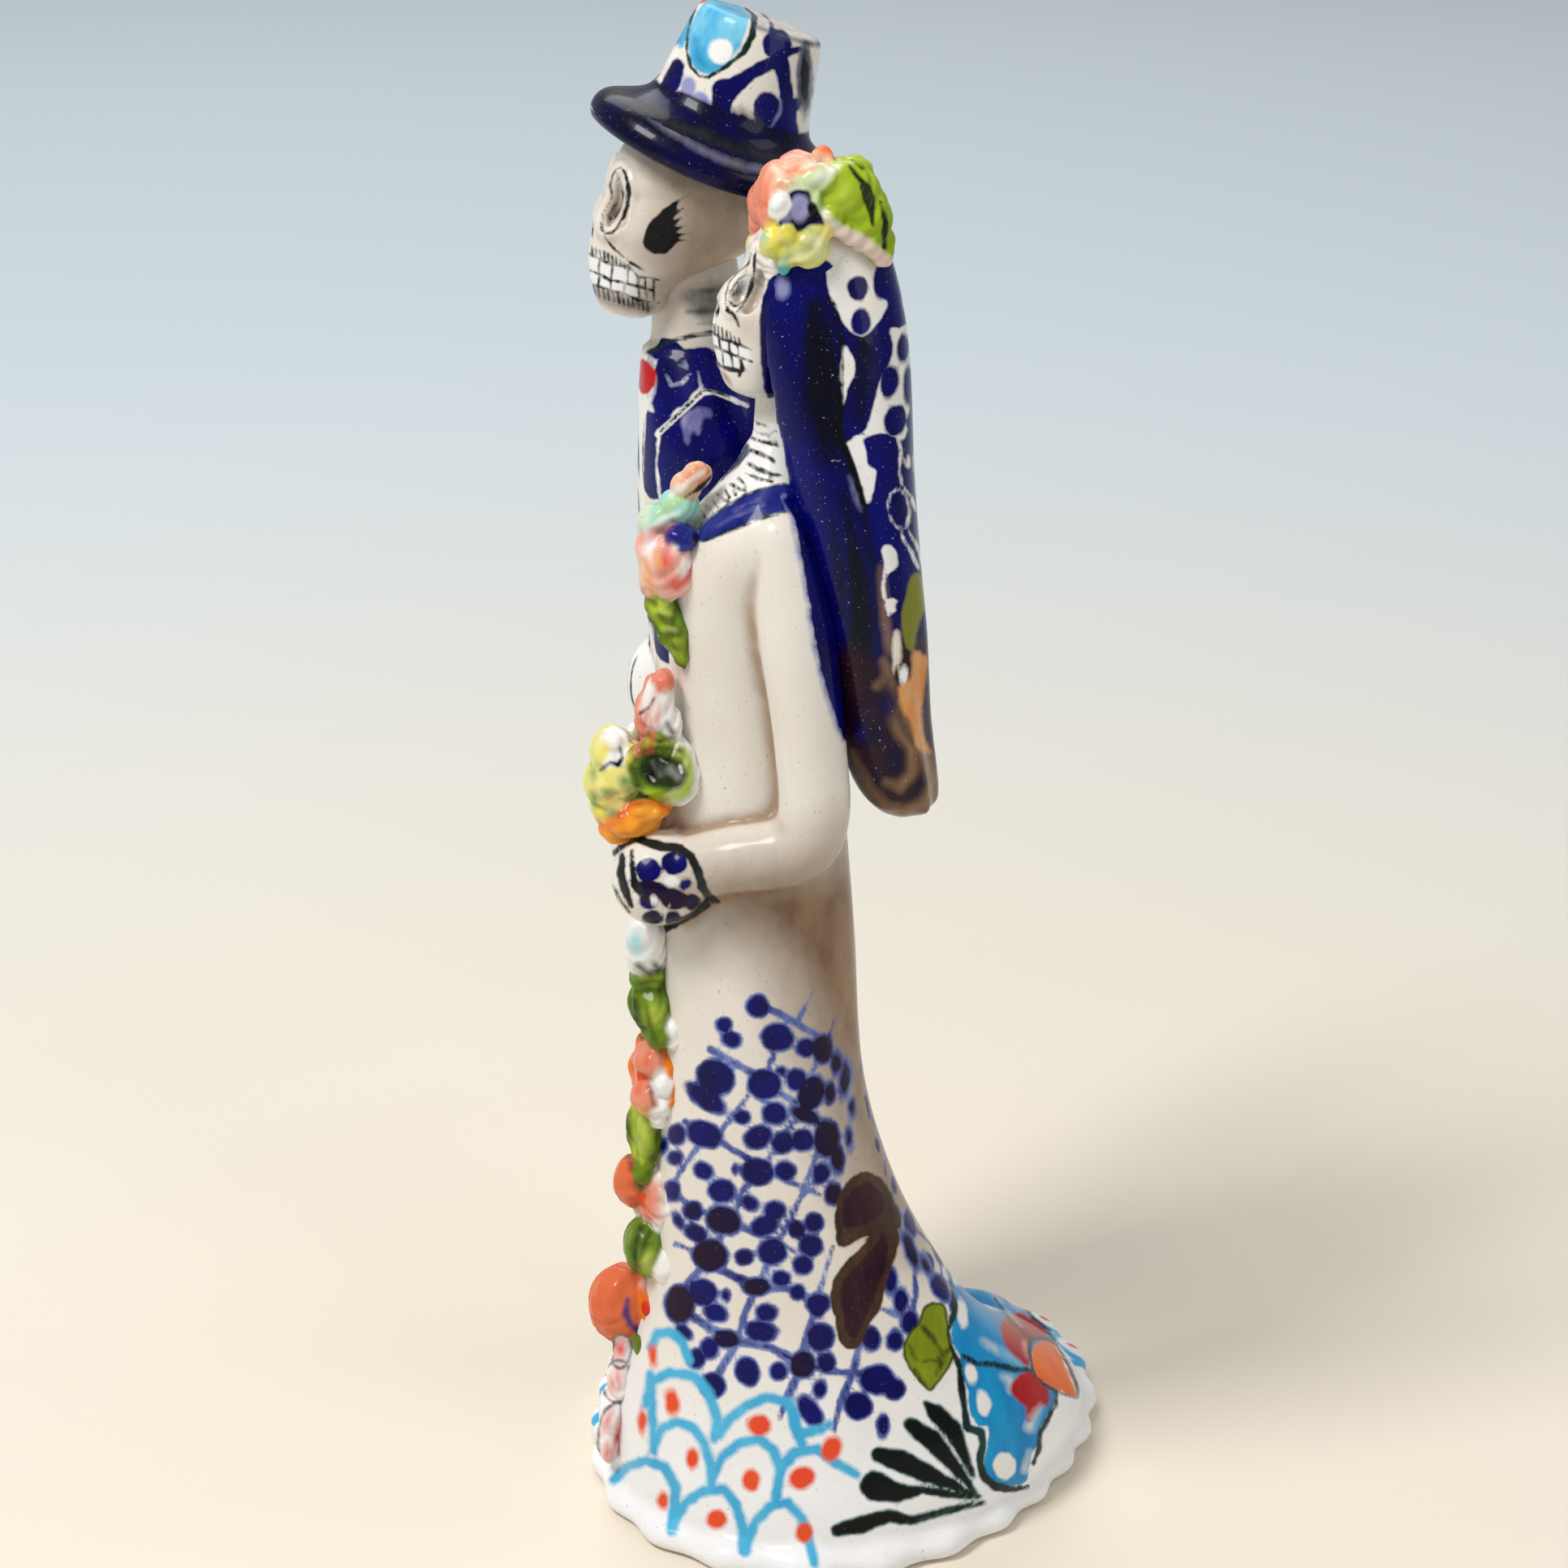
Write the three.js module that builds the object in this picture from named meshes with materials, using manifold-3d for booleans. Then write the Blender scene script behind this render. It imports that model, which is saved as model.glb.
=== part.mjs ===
// A Day of the Dead wedding couple: a skeleton bride and groom in hand painted, glazed earthenware, cast,
// dressed with hand modelled flowers and fired as one piece. It stands on the flat underside of the hem.
// Millimetres, +Z up. The origin is the middle of the underside, the couple faces -Y, and the bride is on the
// +X side. The figures keep the proportions of a 300 mm pair: at(24, -12, 251) is in shares of the height,
// 300 of them from the floor to the top of the hat.
import * as THREE from "three";
import { mergeVertices } from "three/addons/utils/BufferGeometryUtils.js";
import Module from "manifold-3d";

const wasm = await Module();
wasm.setup();

// Driving dimensions
const HEIGHT = 300;
const SHARES = 300;
const HEM_RADIUS = 56.5;
const HEM_TRAIL = 6.5;
const HEM_TRAIL_TURN = 145;
const HEM_STEP = 7;
const HEM_STEP_TURN = -125;
const HEM_EDGE = 5.5;
const SCALLOPS = 23;
const SCALLOP_DEPTH = 0.8;
const FLARE_HEIGHT = 46;
const HAT_HEIGHT = 23;
const HAT_BASE = 32;
const HAT_TOP = 24;
const HAT_TILT = 19.5;
const BRIM_WIDTH = 46;
const BRIM_LENGTH = 52;
const BRIM_THICKNESS = 7.4;
const BRIM_DROOP = 2.5;
const BRIM_SIDE_DROOP = 2.6;
const SLEEVE = 13.6;
const HAND = 20;
const GARLAND_FLOWER = 17;
const CROWN_FLOWER = 21;
const PETALS = 5;
const LEAF_THICKNESS = 5.4;

// Fineness of the facets
const GOWN_SIDES = 24;
const GOWN_RINGS = 15;
const VEIL_SIDES = 20;
const VEIL_RINGS = 9;
const HOLLOW_SIDES = 10;
const HOLLOW_RINGS = 5;
const JACKET_SIDES = 16;
const JACKET_RINGS = 9;
const TAIL_SIDES = 10;
const TAIL_RINGS = 4;
const LEG_SIDES = 14;
const LEG_RINGS = 3;
const SKULL_SIDES = 14;
const SKULL_RINGS = 10;
const HAT_SIDES = 20;
const LIMB_SIDES = 8;
const LIMB_RINGS = 8;
const STUMP_RINGS = 4;
const LUMP_SIDES = 7;
const LUMP_ROWS = 5;
const ROUND_SIDES = 10;
const ROUND_ROWS = 7;
const PETAL_POINTS = 3;
const SCALLOP_POINTS = 3;
const LEAF_SIDES = 6;
const LEAF_RINGS = 4;

// The middle planes of the two figures
const BRIDE_X = 24;
const GROOM_X = -26;

const UP = new THREE.Vector3(0, 0, 1);
const share = HEIGHT / SHARES;
const at = (x, y, z) => new THREE.Vector3(x, y, z).multiplyScalar(share);
const turn = (degrees) => THREE.MathUtils.degToRad(degrees);
const smooth = (points) => new THREE.CatmullRomCurve3(points, false, "catmullrom", 0.5);

// Turns a closed geometry into a solid that can be joined and cut.
function solid(geometry) {
  geometry.deleteAttribute("normal");
  geometry.deleteAttribute("uv");
  const merged = mergeVertices(geometry, 1e-4);
  const corners = merged.index.array;
  const kept = [];
  for (let i = 0; i < corners.length; i += 3) {
    const [a, b, c] = [corners[i], corners[i + 1], corners[i + 2]];
    if (a !== b && b !== c && c !== a) kept.push(a, b, c);
  }
  return new wasm.Manifold(
    new wasm.Mesh({
      numProp: 3,
      vertProperties: merged.attributes.position.array,
      triVerts: new Uint32Array(kept),
    }),
  );
}

// Skins a row of rings, each a list of as many points, and closes both ends.
function skin(rings) {
  const sides = rings[0].length;
  const points = rings.flat();
  const faces = [];
  for (let r = 0; r + 1 < rings.length; r++) {
    for (let s = 0; s < sides; s++) {
      const a = r * sides + s;
      const b = r * sides + ((s + 1) % sides);
      faces.push(a, b, b + sides, a, b + sides, a + sides);
    }
  }
  const middle = (ring) => ring.reduce((sum, p) => sum.add(p), new THREE.Vector3()).divideScalar(sides);
  const foot = points.push(middle(rings[0])) - 1;
  const head = points.push(middle(rings[rings.length - 1])) - 1;
  const last = (rings.length - 1) * sides;
  for (let s = 0; s < sides; s++) {
    const next = (s + 1) % sides;
    faces.push(foot, next, s, head, last + s, last + next);
  }
  const geometry = new THREE.BufferGeometry().setFromPoints(points);
  geometry.setIndex(faces);
  return solid(geometry);
}

// The points of a ring: spot(angle) for each of its sides.
const ringOf = (sides, spot) => Array.from({ length: sides }, (_, s) => spot((s / sides) * 2 * Math.PI));

// Lofts level ovals through stations [height, one side, other side, front, back]. Fullness under 1 squares
// the ovals off, and shape(point, angle) may move their points.
function loft(stations, ringCount, sides, fullness = 1, shape = (point) => point) {
  const across = smooth(stations.map(([z, one, other]) => new THREE.Vector3(one, other, z)));
  const along = smooth(stations.map(([z, , , front, back]) => new THREE.Vector3(front, back, z)));
  const swell = (value) => Math.sign(value) * Math.abs(value) ** fullness;
  const rings = [];
  for (let r = 0; r < ringCount; r++) {
    const side = across.getPoint(r / (ringCount - 1));
    const depth = along.getPoint(r / (ringCount - 1));
    rings.push(
      ringOf(sides, (angle) =>
        shape(
          at(
            (side.x + side.y) / 2 + ((side.x - side.y) / 2) * swell(Math.cos(angle)),
            (depth.x + depth.y) / 2 + ((depth.y - depth.x) / 2) * swell(Math.sin(angle)),
            side.z,
          ),
          angle,
        ),
      ),
    );
  }
  return skin(rings);
}

// A round limb through joints, each [x, y, z, radius], with rounded ends.
function limb(joints, ringCount = LIMB_RINGS, sides = LIMB_SIDES) {
  const line = smooth(joints.map(([x, y, z]) => at(x, y, z)));
  const girth = smooth(joints.map(([, , , radius]) => new THREE.Vector3(radius * share, 0, 0)));
  const ring = (t, lean) => {
    const heading = line.getTangent(t);
    const radius = girth.getPoint(t).x;
    const middle = line.getPoint(t).addScaledVector(heading, radius * Math.sin(turn(lean)));
    const side = new THREE.Vector3().crossVectors(heading, new THREE.Vector3(1, 0, 0)).normalize();
    const other = new THREE.Vector3().crossVectors(side, heading).normalize();
    return ringOf(sides, (angle) =>
      middle
        .clone()
        .addScaledVector(other, radius * Math.cos(turn(lean)) * Math.cos(angle))
        .addScaledVector(side, radius * Math.cos(turn(lean)) * Math.sin(angle)),
    );
  };
  const rings = [ring(0, -80), ring(0, -45)];
  for (let r = 0; r < ringCount; r++) rings.push(ring(r / (ringCount - 1), 0));
  return skin([...rings, ring(1, 45), ring(1, 80)]);
}

// A round lump with a radius along each axis, turned about X, Y and Z in degrees.
function lump(middle, radii, tilt = [0, 0, 0], sides = LUMP_SIDES, rows = LUMP_ROWS) {
  const geometry = new THREE.SphereGeometry(1, sides, rows);
  geometry.scale(...radii.map((r) => r * share));
  geometry.applyMatrix4(new THREE.Matrix4().makeRotationFromEuler(new THREE.Euler(...tilt.map(turn))));
  geometry.translate(middle.x, middle.y, middle.z);
  return solid(geometry);
}

const join = (solids) => solids.reduce((whole, next) => whole.add(next));

// Keeps the outer skin only, without the tiny hollows shut in between lumps that touch all round.
const larger = (one, other) => (other.volume() > one.volume() ? other : one);
const filled = (whole) => whole.decompose().reduce(larger);

// The rings of a modelled flower, from its back over the petals to the heart, in shares of its radius:
// [radius, height, depth of the clefts between the petals]
const ROSETTE = [
  [0.7, -0.34, 0.16],
  [1, 0, 0.24],
  [0.84, 0.28, 0.2],
  [0.42, 0.16, 0.08],
  [0.28, 0.36, 0],
];

// A flower of rounded petals about a dimpled heart, set at middle and facing outward.
function flower(middle, outward, width, roll = 0, petals = PETALS) {
  const facing = new THREE.Quaternion().setFromUnitVectors(UP, new THREE.Vector3(...outward).normalize());
  return skin(
    ROSETTE.map(([radius, height, cleft]) =>
      ringOf(petals * PETAL_POINTS, (angle) => {
        const reach = radius - cleft * (1 - Math.abs(Math.sin((petals * angle) / 2)));
        const point = new THREE.Vector3(reach * Math.cos(angle), reach * Math.sin(angle), height);
        point.multiplyScalar(width / 2).applyAxisAngle(UP, turn(roll));
        return point.applyQuaternion(facing).add(middle);
      }),
    ),
  );
}

// A pointed leaf from stem to tip, rounded in section with a furrow along its rib, facing outward.
function leaf(stem, tip, width, outward, thickness = LEAF_THICKNESS) {
  const heading = tip.clone().sub(stem).normalize();
  const across = new THREE.Vector3().crossVectors(new THREE.Vector3(...outward), heading).normalize();
  const face = new THREE.Vector3().crossVectors(heading, across).normalize();
  const rings = [];
  for (let r = 0; r < LEAF_RINGS; r++) {
    const t = 0.04 + (0.92 * r) / (LEAF_RINGS - 1);
    const breadth = (width / 2) * Math.sin(Math.PI * t ** 0.8) ** 0.75;
    rings.push(
      ringOf(LEAF_SIDES, (angle) => {
        const furrow = 1 - 0.4 * Math.max(0, Math.sin(angle)) ** 6;
        return stem
          .clone()
          .lerp(tip, t)
          .addScaledVector(across, breadth * Math.cos(angle))
          .addScaledVector(face, (thickness / width) * breadth * Math.sin(angle) * furrow);
      }),
    );
  }
  return skin(rings);
}

// Stations of the bodies: [height, side away from the partner, side towards it, front, back]
const GOWN = [
  [2, 53.5, -30, -53.5, 52],
  [10, 53, -23, -53, 48],
  [20, 50.5, -14, -51.5, 38],
  [33, 48, -7, -48.5, 27.5],
  [50, 44.8, -2, -44.8, 16.5],
  [70, 42, 2, -42.6, 6.5],
  [95, 40.4, 4, -41.6, -0.5],
  [125, 39.5, 5, -40.6, -2.5],
  [150, 37.5, 8, -39, -4.5],
  [172, 36.5, 10, -38, -7],
  [194, 39, 8.5, -38.6, -8],
  [206, 41.6, 6.5, -36.4, -8.5],
  [213, 40, 8, -31, -9.5],
  [219, 35, 13, -26, -11],
  [224, 30.5, 17.5, -23.5, -12.5],
];
const LEG = [
  [4, -0.5, 0.5, -37.5, -9],
  [50, -0.2, 0.2, -37.5, -10.5],
  [120, 0, 0, -38, -10],
];
const JACKET = [
  [98, -5.5, -46.5, -39.5, -6.5],
  [112, -6, -46.5, -39.8, -6.5],
  [140, -8, -44.5, -39, -7.5],
  [165, -9, -43.5, -38.5, -8],
  [190, -7, -45.5, -40.5, -7.5],
  [206, -6.5, -46, -40.8, -8],
  [216, -7.5, -44.5, -40.4, -11],
  [224, -11.5, -40.5, -40.2, -14],
  [231.5, -16.5, -35.5, -39.6, -19],
];
const TAIL = [
  [58, 2.6, -2.6, -13, -6],
  [64, 5.4, -5.4, -16, -4],
  [90, 7.6, -7.6, -18, -4.2],
  [120, 8.6, -8.6, -20, -5.4],
];
const VEIL = [
  [151.5, 31, 17, 3, 9.4],
  [154.5, 37.6, 10.4, -0.8, 11.9],
  [160, 42.2, 5.8, -4.4, 11.8],
  [174, 45, 3, -9, 10.3],
  [192, 45.4, 2.6, -12.6, 9.6],
  [217, 43.6, 4.4, -18, 7.4],
  [242, 40.2, 7.8, -22.6, 6.2],
  [257, 37.4, 10.6, -22.4, 3.4],
  [267, 33, 15, -17, -1],
];
const VEIL_HOLLOW = [
  [140, 36.5, 11.5, -30, -4],
  [170, 37.5, 10.5, -34, -4],
  [200, 37.5, 10.5, -38, -6],
  [225, 36.5, 11.5, -42, -8],
  [243, 34.5, 13.5, -44, -10],
  [262, 32, 16, -42, -12],
];
const VEIL_FULLNESS = 0.72;

// Stations of a skull about its own middle: [height, half width, front, back]
const SKULL = [
  [-22, 6, -14, -7],
  [-20, 8.9, -18.2, -4],
  [-16, 10, -19.2, -1],
  [-11.5, 10.6, -19.2, 9.5],
  [-7, 12.4, -18.9, 17.4],
  [-1, 14.4, -18.6, 20.6],
  [5, 15.2, -16.8, 21],
  [10, 14, -13.6, 19],
  [15, 10, -8, 14],
  [17.5, 4.4, -2, 6],
];
const SKULL_FULLNESS = 0.9;

// A skull with hollowed eyes and nose. Lean tips the crown of the head back, and depth is the share of the
// back of the head that shows.
function skull(x, y, z, size, lean, depth = 1) {
  const shift = (height) => lean * (height + 17);
  const bone = loft(
    SKULL.map(([height, half, front, back]) => [
      z + height * size,
      x + half * size,
      x - half * size,
      y + (front + shift(height)) * size,
      y + (back * depth + shift(height)) * size,
    ]),
    SKULL_RINGS,
    SKULL_SIDES,
    SKULL_FULLNESS,
  );
  const hollow = (dx, dy, dz, radii) => {
    const middle = at(x + dx * size, y + (dy + shift(dz)) * size, z + dz * size);
    return lump(
      middle,
      radii.map((r) => r * size),
    );
  };
  return bone
    .subtract(hollow(8.4, -17.6, 0.6, [4, 4.6, 5.8]))
    .subtract(hollow(-8.4, -17.6, 0.6, [4, 4.6, 5.8]))
    .subtract(hollow(0, -20, -6.4, [1.9, 2.6, 3]));
}

// The top hat: a tapering crown on a thick brim that droops at its sides, tipped back on the head.
function hat() {
  const ring = (width, length, z, droop) =>
    ringOf(HAT_SIDES, (angle) => {
      const fall = droop * (BRIM_DROOP + BRIM_SIDE_DROOP * Math.cos(angle) ** 2);
      return new THREE.Vector3((width / 2) * Math.cos(angle), (length / 2) * Math.sin(angle), z - fall);
    });
  const half = BRIM_THICKNESS / 2;
  const felt = skin([
    ring(HAT_BASE * 0.5, HAT_BASE * 0.5, -half, 0),
    ring(BRIM_WIDTH * 0.93, BRIM_LENGTH * 0.93, -half * 0.8, 0.9),
    ring(BRIM_WIDTH, BRIM_LENGTH, 0, 1),
    ring(BRIM_WIDTH * 0.93, BRIM_LENGTH * 0.93, half * 0.85, 0.9),
    ring(HAT_BASE, HAT_BASE, half * 1.5, 0.3),
    ring(HAT_TOP + 1, HAT_TOP + 1, HAT_HEIGHT - 1.6, 0),
    ring(HAT_TOP - 1.6, HAT_TOP - 1.6, HAT_HEIGHT, 0),
  ]);
  const seat = at(GROOM_X, -23.2, 272.9);
  return felt.rotate([-HAT_TILT, 0, 0]).translate([seat.x, seat.y, seat.z]);
}

// The outline of the hem at an angle about the origin: it trails behind the couple to one side, bulges in
// front of the bride on the other, and makes room for the groom's shoes.
function hemReach(angle) {
  const trail = HEM_TRAIL * Math.cos(2 * (angle - turn(HEM_TRAIL_TURN)));
  const step = HEM_STEP * Math.max(0, Math.cos(angle - turn(HEM_STEP_TURN))) ** 7;
  return HEM_RADIUS + trail + step;
}

// The scalloped foot that the gown and train spread into, with its flat underside.
function hem() {
  const profile = [
    [0, 1.6],
    [HEM_EDGE * 0.4, 0],
    [HEM_EDGE * 0.95, 1.8],
    [HEM_EDGE * 1.6, 15],
  ];
  return skin(
    profile.map(([z, inset]) =>
      ringOf(SCALLOPS * SCALLOP_POINTS, (angle) => {
        const reach = hemReach(angle) - inset - SCALLOP_DEPTH * (1 - Math.cos(SCALLOPS * angle));
        return new THREE.Vector3(reach * Math.cos(angle), reach * Math.sin(angle), z);
      }),
    ),
  );
}

// The gown: ovals that spread into the outline of the hem below the height of the flare.
function gown() {
  const inset = 4.5;
  return loft(GOWN, GOWN_RINGS, GOWN_SIDES, 1, (point, angle) => {
    const spread = Math.max(0, 1 - point.z / FLARE_HEIGHT) ** 2;
    const reach = hemReach(angle) - inset;
    point.x += (reach * Math.cos(angle) - point.x) * spread;
    point.y += (reach * Math.sin(angle) - point.y) * spread;
    return point;
  });
}

// The joints of one of the bride's arms, bent to bring the gloved hands together under the bouquet
function brideArm(side) {
  const sleeve = SLEEVE / share / 2;
  return [
    [BRIDE_X + side * 13.5, -18.5, 209, sleeve * 0.9],
    [BRIDE_X + side * 16, -16, 193, sleeve * 1.06],
    [BRIDE_X + side * 17.5, -13.6, 172, sleeve],
    [BRIDE_X + side * 17.5, -12.8, 156, sleeve],
    [BRIDE_X + side * 17, -17, 149.5, sleeve],
    [BRIDE_X + side * 15, -28, 147.2, sleeve * 0.92],
    [BRIDE_X + side * 11, -37, 144, sleeve * 0.9],
  ];
}

// The bride's arms, gloves and neck
function brideLimbs() {
  const hand = HAND / share / 2;
  const neck = [
    [BRIDE_X, -17, 208, 9],
    [BRIDE_X, -16.4, 222, 6.4],
    [BRIDE_X, -15, 238, 6.6],
  ];
  const nearGlove = [hand * 0.94, hand * 1.02, hand * 0.94];
  const farGlove = [hand * 0.85, hand * 0.92, hand * 0.88];
  return [
    limb(brideArm(1), LIMB_RINGS + 2, LIMB_SIDES + 1),
    limb(brideArm(-1)),
    lump(at(BRIDE_X + 9, -41, 141.8), nearGlove, [8, 0, 20], ROUND_SIDES, ROUND_ROWS),
    lump(at(BRIDE_X - 9, -41, 142), farGlove, [8, 0, -20]),
    limb(neck, STUMP_RINGS),
  ];
}

// One of the groom's legs, on one side of the middle plane
function groomLeg(side) {
  const apart = 8.6;
  const half = 8.9;
  const stations = LEG.map(([z, one, other, front, back]) => {
    const middle = GROOM_X + side * apart;
    return [z, middle + half + one, middle - half + other, front, back];
  });
  return loft(stations, LEG_RINGS, LEG_SIDES);
}

// The groom's arms, the hand on the waistcoat, the neck, legs and shoes
function groomLimbs() {
  const sleeve = SLEEVE / share / 2;
  const hand = HAND / share / 2;
  const bentArm = [
    [GROOM_X - 14, -21, 207, sleeve],
    [GROOM_X - 18.5, -20, 190, sleeve * 1.05],
    [GROOM_X - 20, -20, 170, sleeve],
    [GROOM_X - 17, -27, 160, sleeve],
    [GROOM_X - 9, -34, 159, sleeve * 0.9],
  ];
  const hiddenArm = [
    [GROOM_X + 14, -20, 207, sleeve],
    [GROOM_X + 17.5, -18, 188, sleeve],
    [GROOM_X + 18, -18, 164, sleeve * 0.9],
  ];
  const neck = [
    [GROOM_X, -28, 220, 9.4],
    [GROOM_X, -29.4, 232, 8.4],
    [GROOM_X, -28.4, 246, 8.4],
  ];
  const glove = [hand * 0.85, hand * 0.64, hand];
  const shoe = [6.6, 12.6, 6.2];
  return [
    groomLeg(1),
    groomLeg(-1),
    limb(bentArm),
    limb(hiddenArm, STUMP_RINGS),
    limb(neck, STUMP_RINGS),
    lump(at(GROOM_X - 2, -37, 160.5), glove, [0, 0, 0], ROUND_SIDES, ROUND_ROWS),
    lump(at(GROOM_X - 7.4, -35, 10.5), shoe, [0, 0, -4]),
    lump(at(GROOM_X + 8.6, -36, 10.5), shoe, [0, 0, 4]),
  ];
}

// The flowers, leaves and berries down the front of the gown, from the bouquet to the hem
function garland() {
  const x = BRIDE_X + 2;
  const width = GARLAND_FLOWER;
  return [
    lump(at(x - 1, -43, 125), [4.4, 4.6, 6.4], [10, 0, 10]),
    leaf(at(x - 3, -41.5, 122), at(x + 3, -42.4, 105), width * 0.6, [0.5, -1, 0]),
    leaf(at(x - 5, -41, 119), at(x - 11, -41, 108), width * 0.5, [-0.5, -1, 0]),
    flower(at(x - 0.5, -42.6, 97.5), [0.35, -1, 0.1], width, 15),
    leaf(at(x - 4, -42.4, 91), at(x - 1, -43.6, 76), width * 0.56, [0.3, -1, 0.1]),
    flower(at(x - 1.5, -43.6, 69.5), [0.3, -1, 0.1], width * 0.9, 40),
    lump(at(x - 7.5, -43, 72), [4.2, 4.4, 4.6], [0, 0, 0]),
    lump(at(x + 0.5, -43, 59), [5, 4.8, 5.2], [0, 0, 20]),
    flower(at(x + 0.5, -44.4, 47.5), [0.45, -1, 0.1], width * 0.8, 65),
    lump(at(x - 7, -48.4, 42), [6.4, 7.6, 8.6], [0, 0, 0], ROUND_SIDES, ROUND_ROWS),
    leaf(at(x - 10, -46, 33), at(x - 9, -50, 20), width * 0.7, [0, -1, 0.3]),
  ];
}

// The bouquet in the bride's hands and the spray on her bodice
function sprays() {
  const width = GARLAND_FLOWER;
  return [
    flower(at(BRIDE_X - 1.5, -47.6, 158.2), [0.4, -1, 0.2], width * 1.12, 20),
    leaf(at(BRIDE_X + 5, -43, 160), at(BRIDE_X + 12, -36.5, 168), width * 0.62, [0.7, -1, 0.4]),
    leaf(at(BRIDE_X + 5, -42.5, 163), at(BRIDE_X + 12.5, -36, 160), width * 0.62, [0.8, -1, 0]),
    lump(at(BRIDE_X + 2.6, -44, 151.4), [7.4, 6.4, 5.2], [0, 0, 18]),
    lump(at(BRIDE_X - 8, -43, 152), [6, 5.4, 6], [0, 0, 0]),
    flower(at(BRIDE_X + 4, -38.2, 173.2), [0.5, -1, 0.2], width * 0.78, 10),
    lump(at(BRIDE_X + 4.5, -39.6, 166.5), [4.2, 3.6, 4.6], [0, 0, 30]),
    flower(at(BRIDE_X + 6.6, -38.6, 203.6), [0.7, -1, 0.15], width * 0.98, 60),
    lump(at(BRIDE_X + 1, -38.6, 206.5), [4.4, 3.4, 4.6], [0, 0, 10]),
    leaf(at(BRIDE_X + 6, -38, 198.6), at(BRIDE_X + 10.5, -35.6, 183.4), width * 0.52, [0.6, -1, 0]),
    leaf(at(BRIDE_X + 4, -36.6, 208), at(BRIDE_X - 4, -33.6, 214), width * 0.6, [0.2, -1, 0.8]),
    lump(at(BRIDE_X - 3.5, -32.4, 214.6), [4.6, 3.8, 4], [0, 0, 0]),
  ];
}

// The flowers and leaves crowning the bride's veil
function crown() {
  const width = CROWN_FLOWER;
  return [
    flower(at(BRIDE_X + 10.5, -14.6, 267), [1, -0.5, 0.2], width, 15),
    flower(at(BRIDE_X + 1, -13.6, 272), [0.1, -0.5, 1], width * 0.95, 40),
    flower(at(BRIDE_X - 10.5, -14.2, 266), [-1, -0.6, 0.3], width, 70),
    leaf(at(BRIDE_X + 5, -12, 276), at(BRIDE_X + 10, -3.4, 256), width * 0.62, [0.9, 0.6, 0.5], 8),
    leaf(at(BRIDE_X - 5, -12, 276), at(BRIDE_X - 10, -3.4, 256), width * 0.62, [-0.9, 0.6, 0.5], 8),
    lump(at(BRIDE_X, -6.6, 268), [10.6, 7.4, 8.4], [-24, 0, 0], ROUND_SIDES, ROUND_ROWS),
    lump(at(BRIDE_X - 1, -8.4, 275.6), [3.2, 3.2, 2.6]),
  ];
}

// One of the tails of the groom's coat, hung beside the middle plane
function coatTail(side) {
  const middle = GROOM_X + side * 8;
  const stations = TAIL.map(([z, one, other, ...depth]) => [z, middle + one, middle + other, ...depth]);
  return loft(stations, TAIL_RINGS, TAIL_SIDES);
}

const couple = join([
  hem(),
  gown(),
  loft(JACKET, JACKET_RINGS, JACKET_SIDES),
  coatTail(1),
  coatTail(-1),
  loft(VEIL, VEIL_RINGS, VEIL_SIDES, VEIL_FULLNESS).subtract(loft(VEIL_HOLLOW, HOLLOW_RINGS, HOLLOW_SIDES)),
  skull(BRIDE_X, -13.4, 254, 0.86, 0.18, 0.5),
  skull(GROOM_X, -30.5, 260.5, 1, 0),
  hat(),
  ...brideLimbs(),
  ...groomLimbs(),
  ...garland(),
  ...sprays(),
  ...crown(),
]);

// Turns a joined solid back into a geometry.
function geometryOf(whole) {
  const { vertProperties, triVerts } = whole.getMesh();
  const geometry = new THREE.BufferGeometry();
  geometry.setAttribute("position", new THREE.BufferAttribute(new Float32Array(vertProperties), 3));
  geometry.setIndex(new THREE.BufferAttribute(new Uint32Array(triVerts), 1));
  geometry.computeVertexNormals();
  return geometry;
}

const glaze = new THREE.MeshStandardMaterial({ color: 0xe9e2d8, roughness: 0.18, metalness: 0 });
const figure = new THREE.Mesh(geometryOf(filled(couple)), glaze);
figure.name = "glazed_couple";

const group = new THREE.Group();
group.add(figure);
export default group;
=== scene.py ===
"""The looks of the Day of the Dead wedding couple: hand modelled, hand painted and glazed earthenware.

Millimetres until a mesh is made, +Z up, the couple faces -Y and the bride is on the +X side. Each piece is
a set of closed clay forms that are fused into one skin, softened as glaze softens clay, and then painted.
Paint is kept as the distance in millimetres from each point of the skin to the edge of a painted shape,
below zero inside it, so that the material can draw the edge of the brush mark as sharp as the real one.
"""

import math

import bpy
import numpy as np
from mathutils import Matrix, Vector
from mathutils.bvhtree import BVHTree


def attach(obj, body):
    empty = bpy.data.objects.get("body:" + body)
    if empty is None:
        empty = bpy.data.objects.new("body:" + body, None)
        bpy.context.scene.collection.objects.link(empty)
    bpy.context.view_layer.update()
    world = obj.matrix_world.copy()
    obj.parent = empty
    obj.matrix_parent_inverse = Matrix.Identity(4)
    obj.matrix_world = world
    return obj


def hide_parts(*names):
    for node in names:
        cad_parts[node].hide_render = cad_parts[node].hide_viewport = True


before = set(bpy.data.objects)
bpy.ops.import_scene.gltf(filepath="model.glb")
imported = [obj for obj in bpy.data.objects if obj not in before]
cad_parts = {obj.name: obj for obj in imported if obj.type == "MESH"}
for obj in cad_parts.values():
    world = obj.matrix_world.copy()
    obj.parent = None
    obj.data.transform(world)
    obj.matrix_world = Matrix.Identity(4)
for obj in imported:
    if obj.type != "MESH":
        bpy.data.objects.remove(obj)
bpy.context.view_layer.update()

MM = 0.001
NODE = "glazed_couple"
TAU = 2 * math.pi

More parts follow.
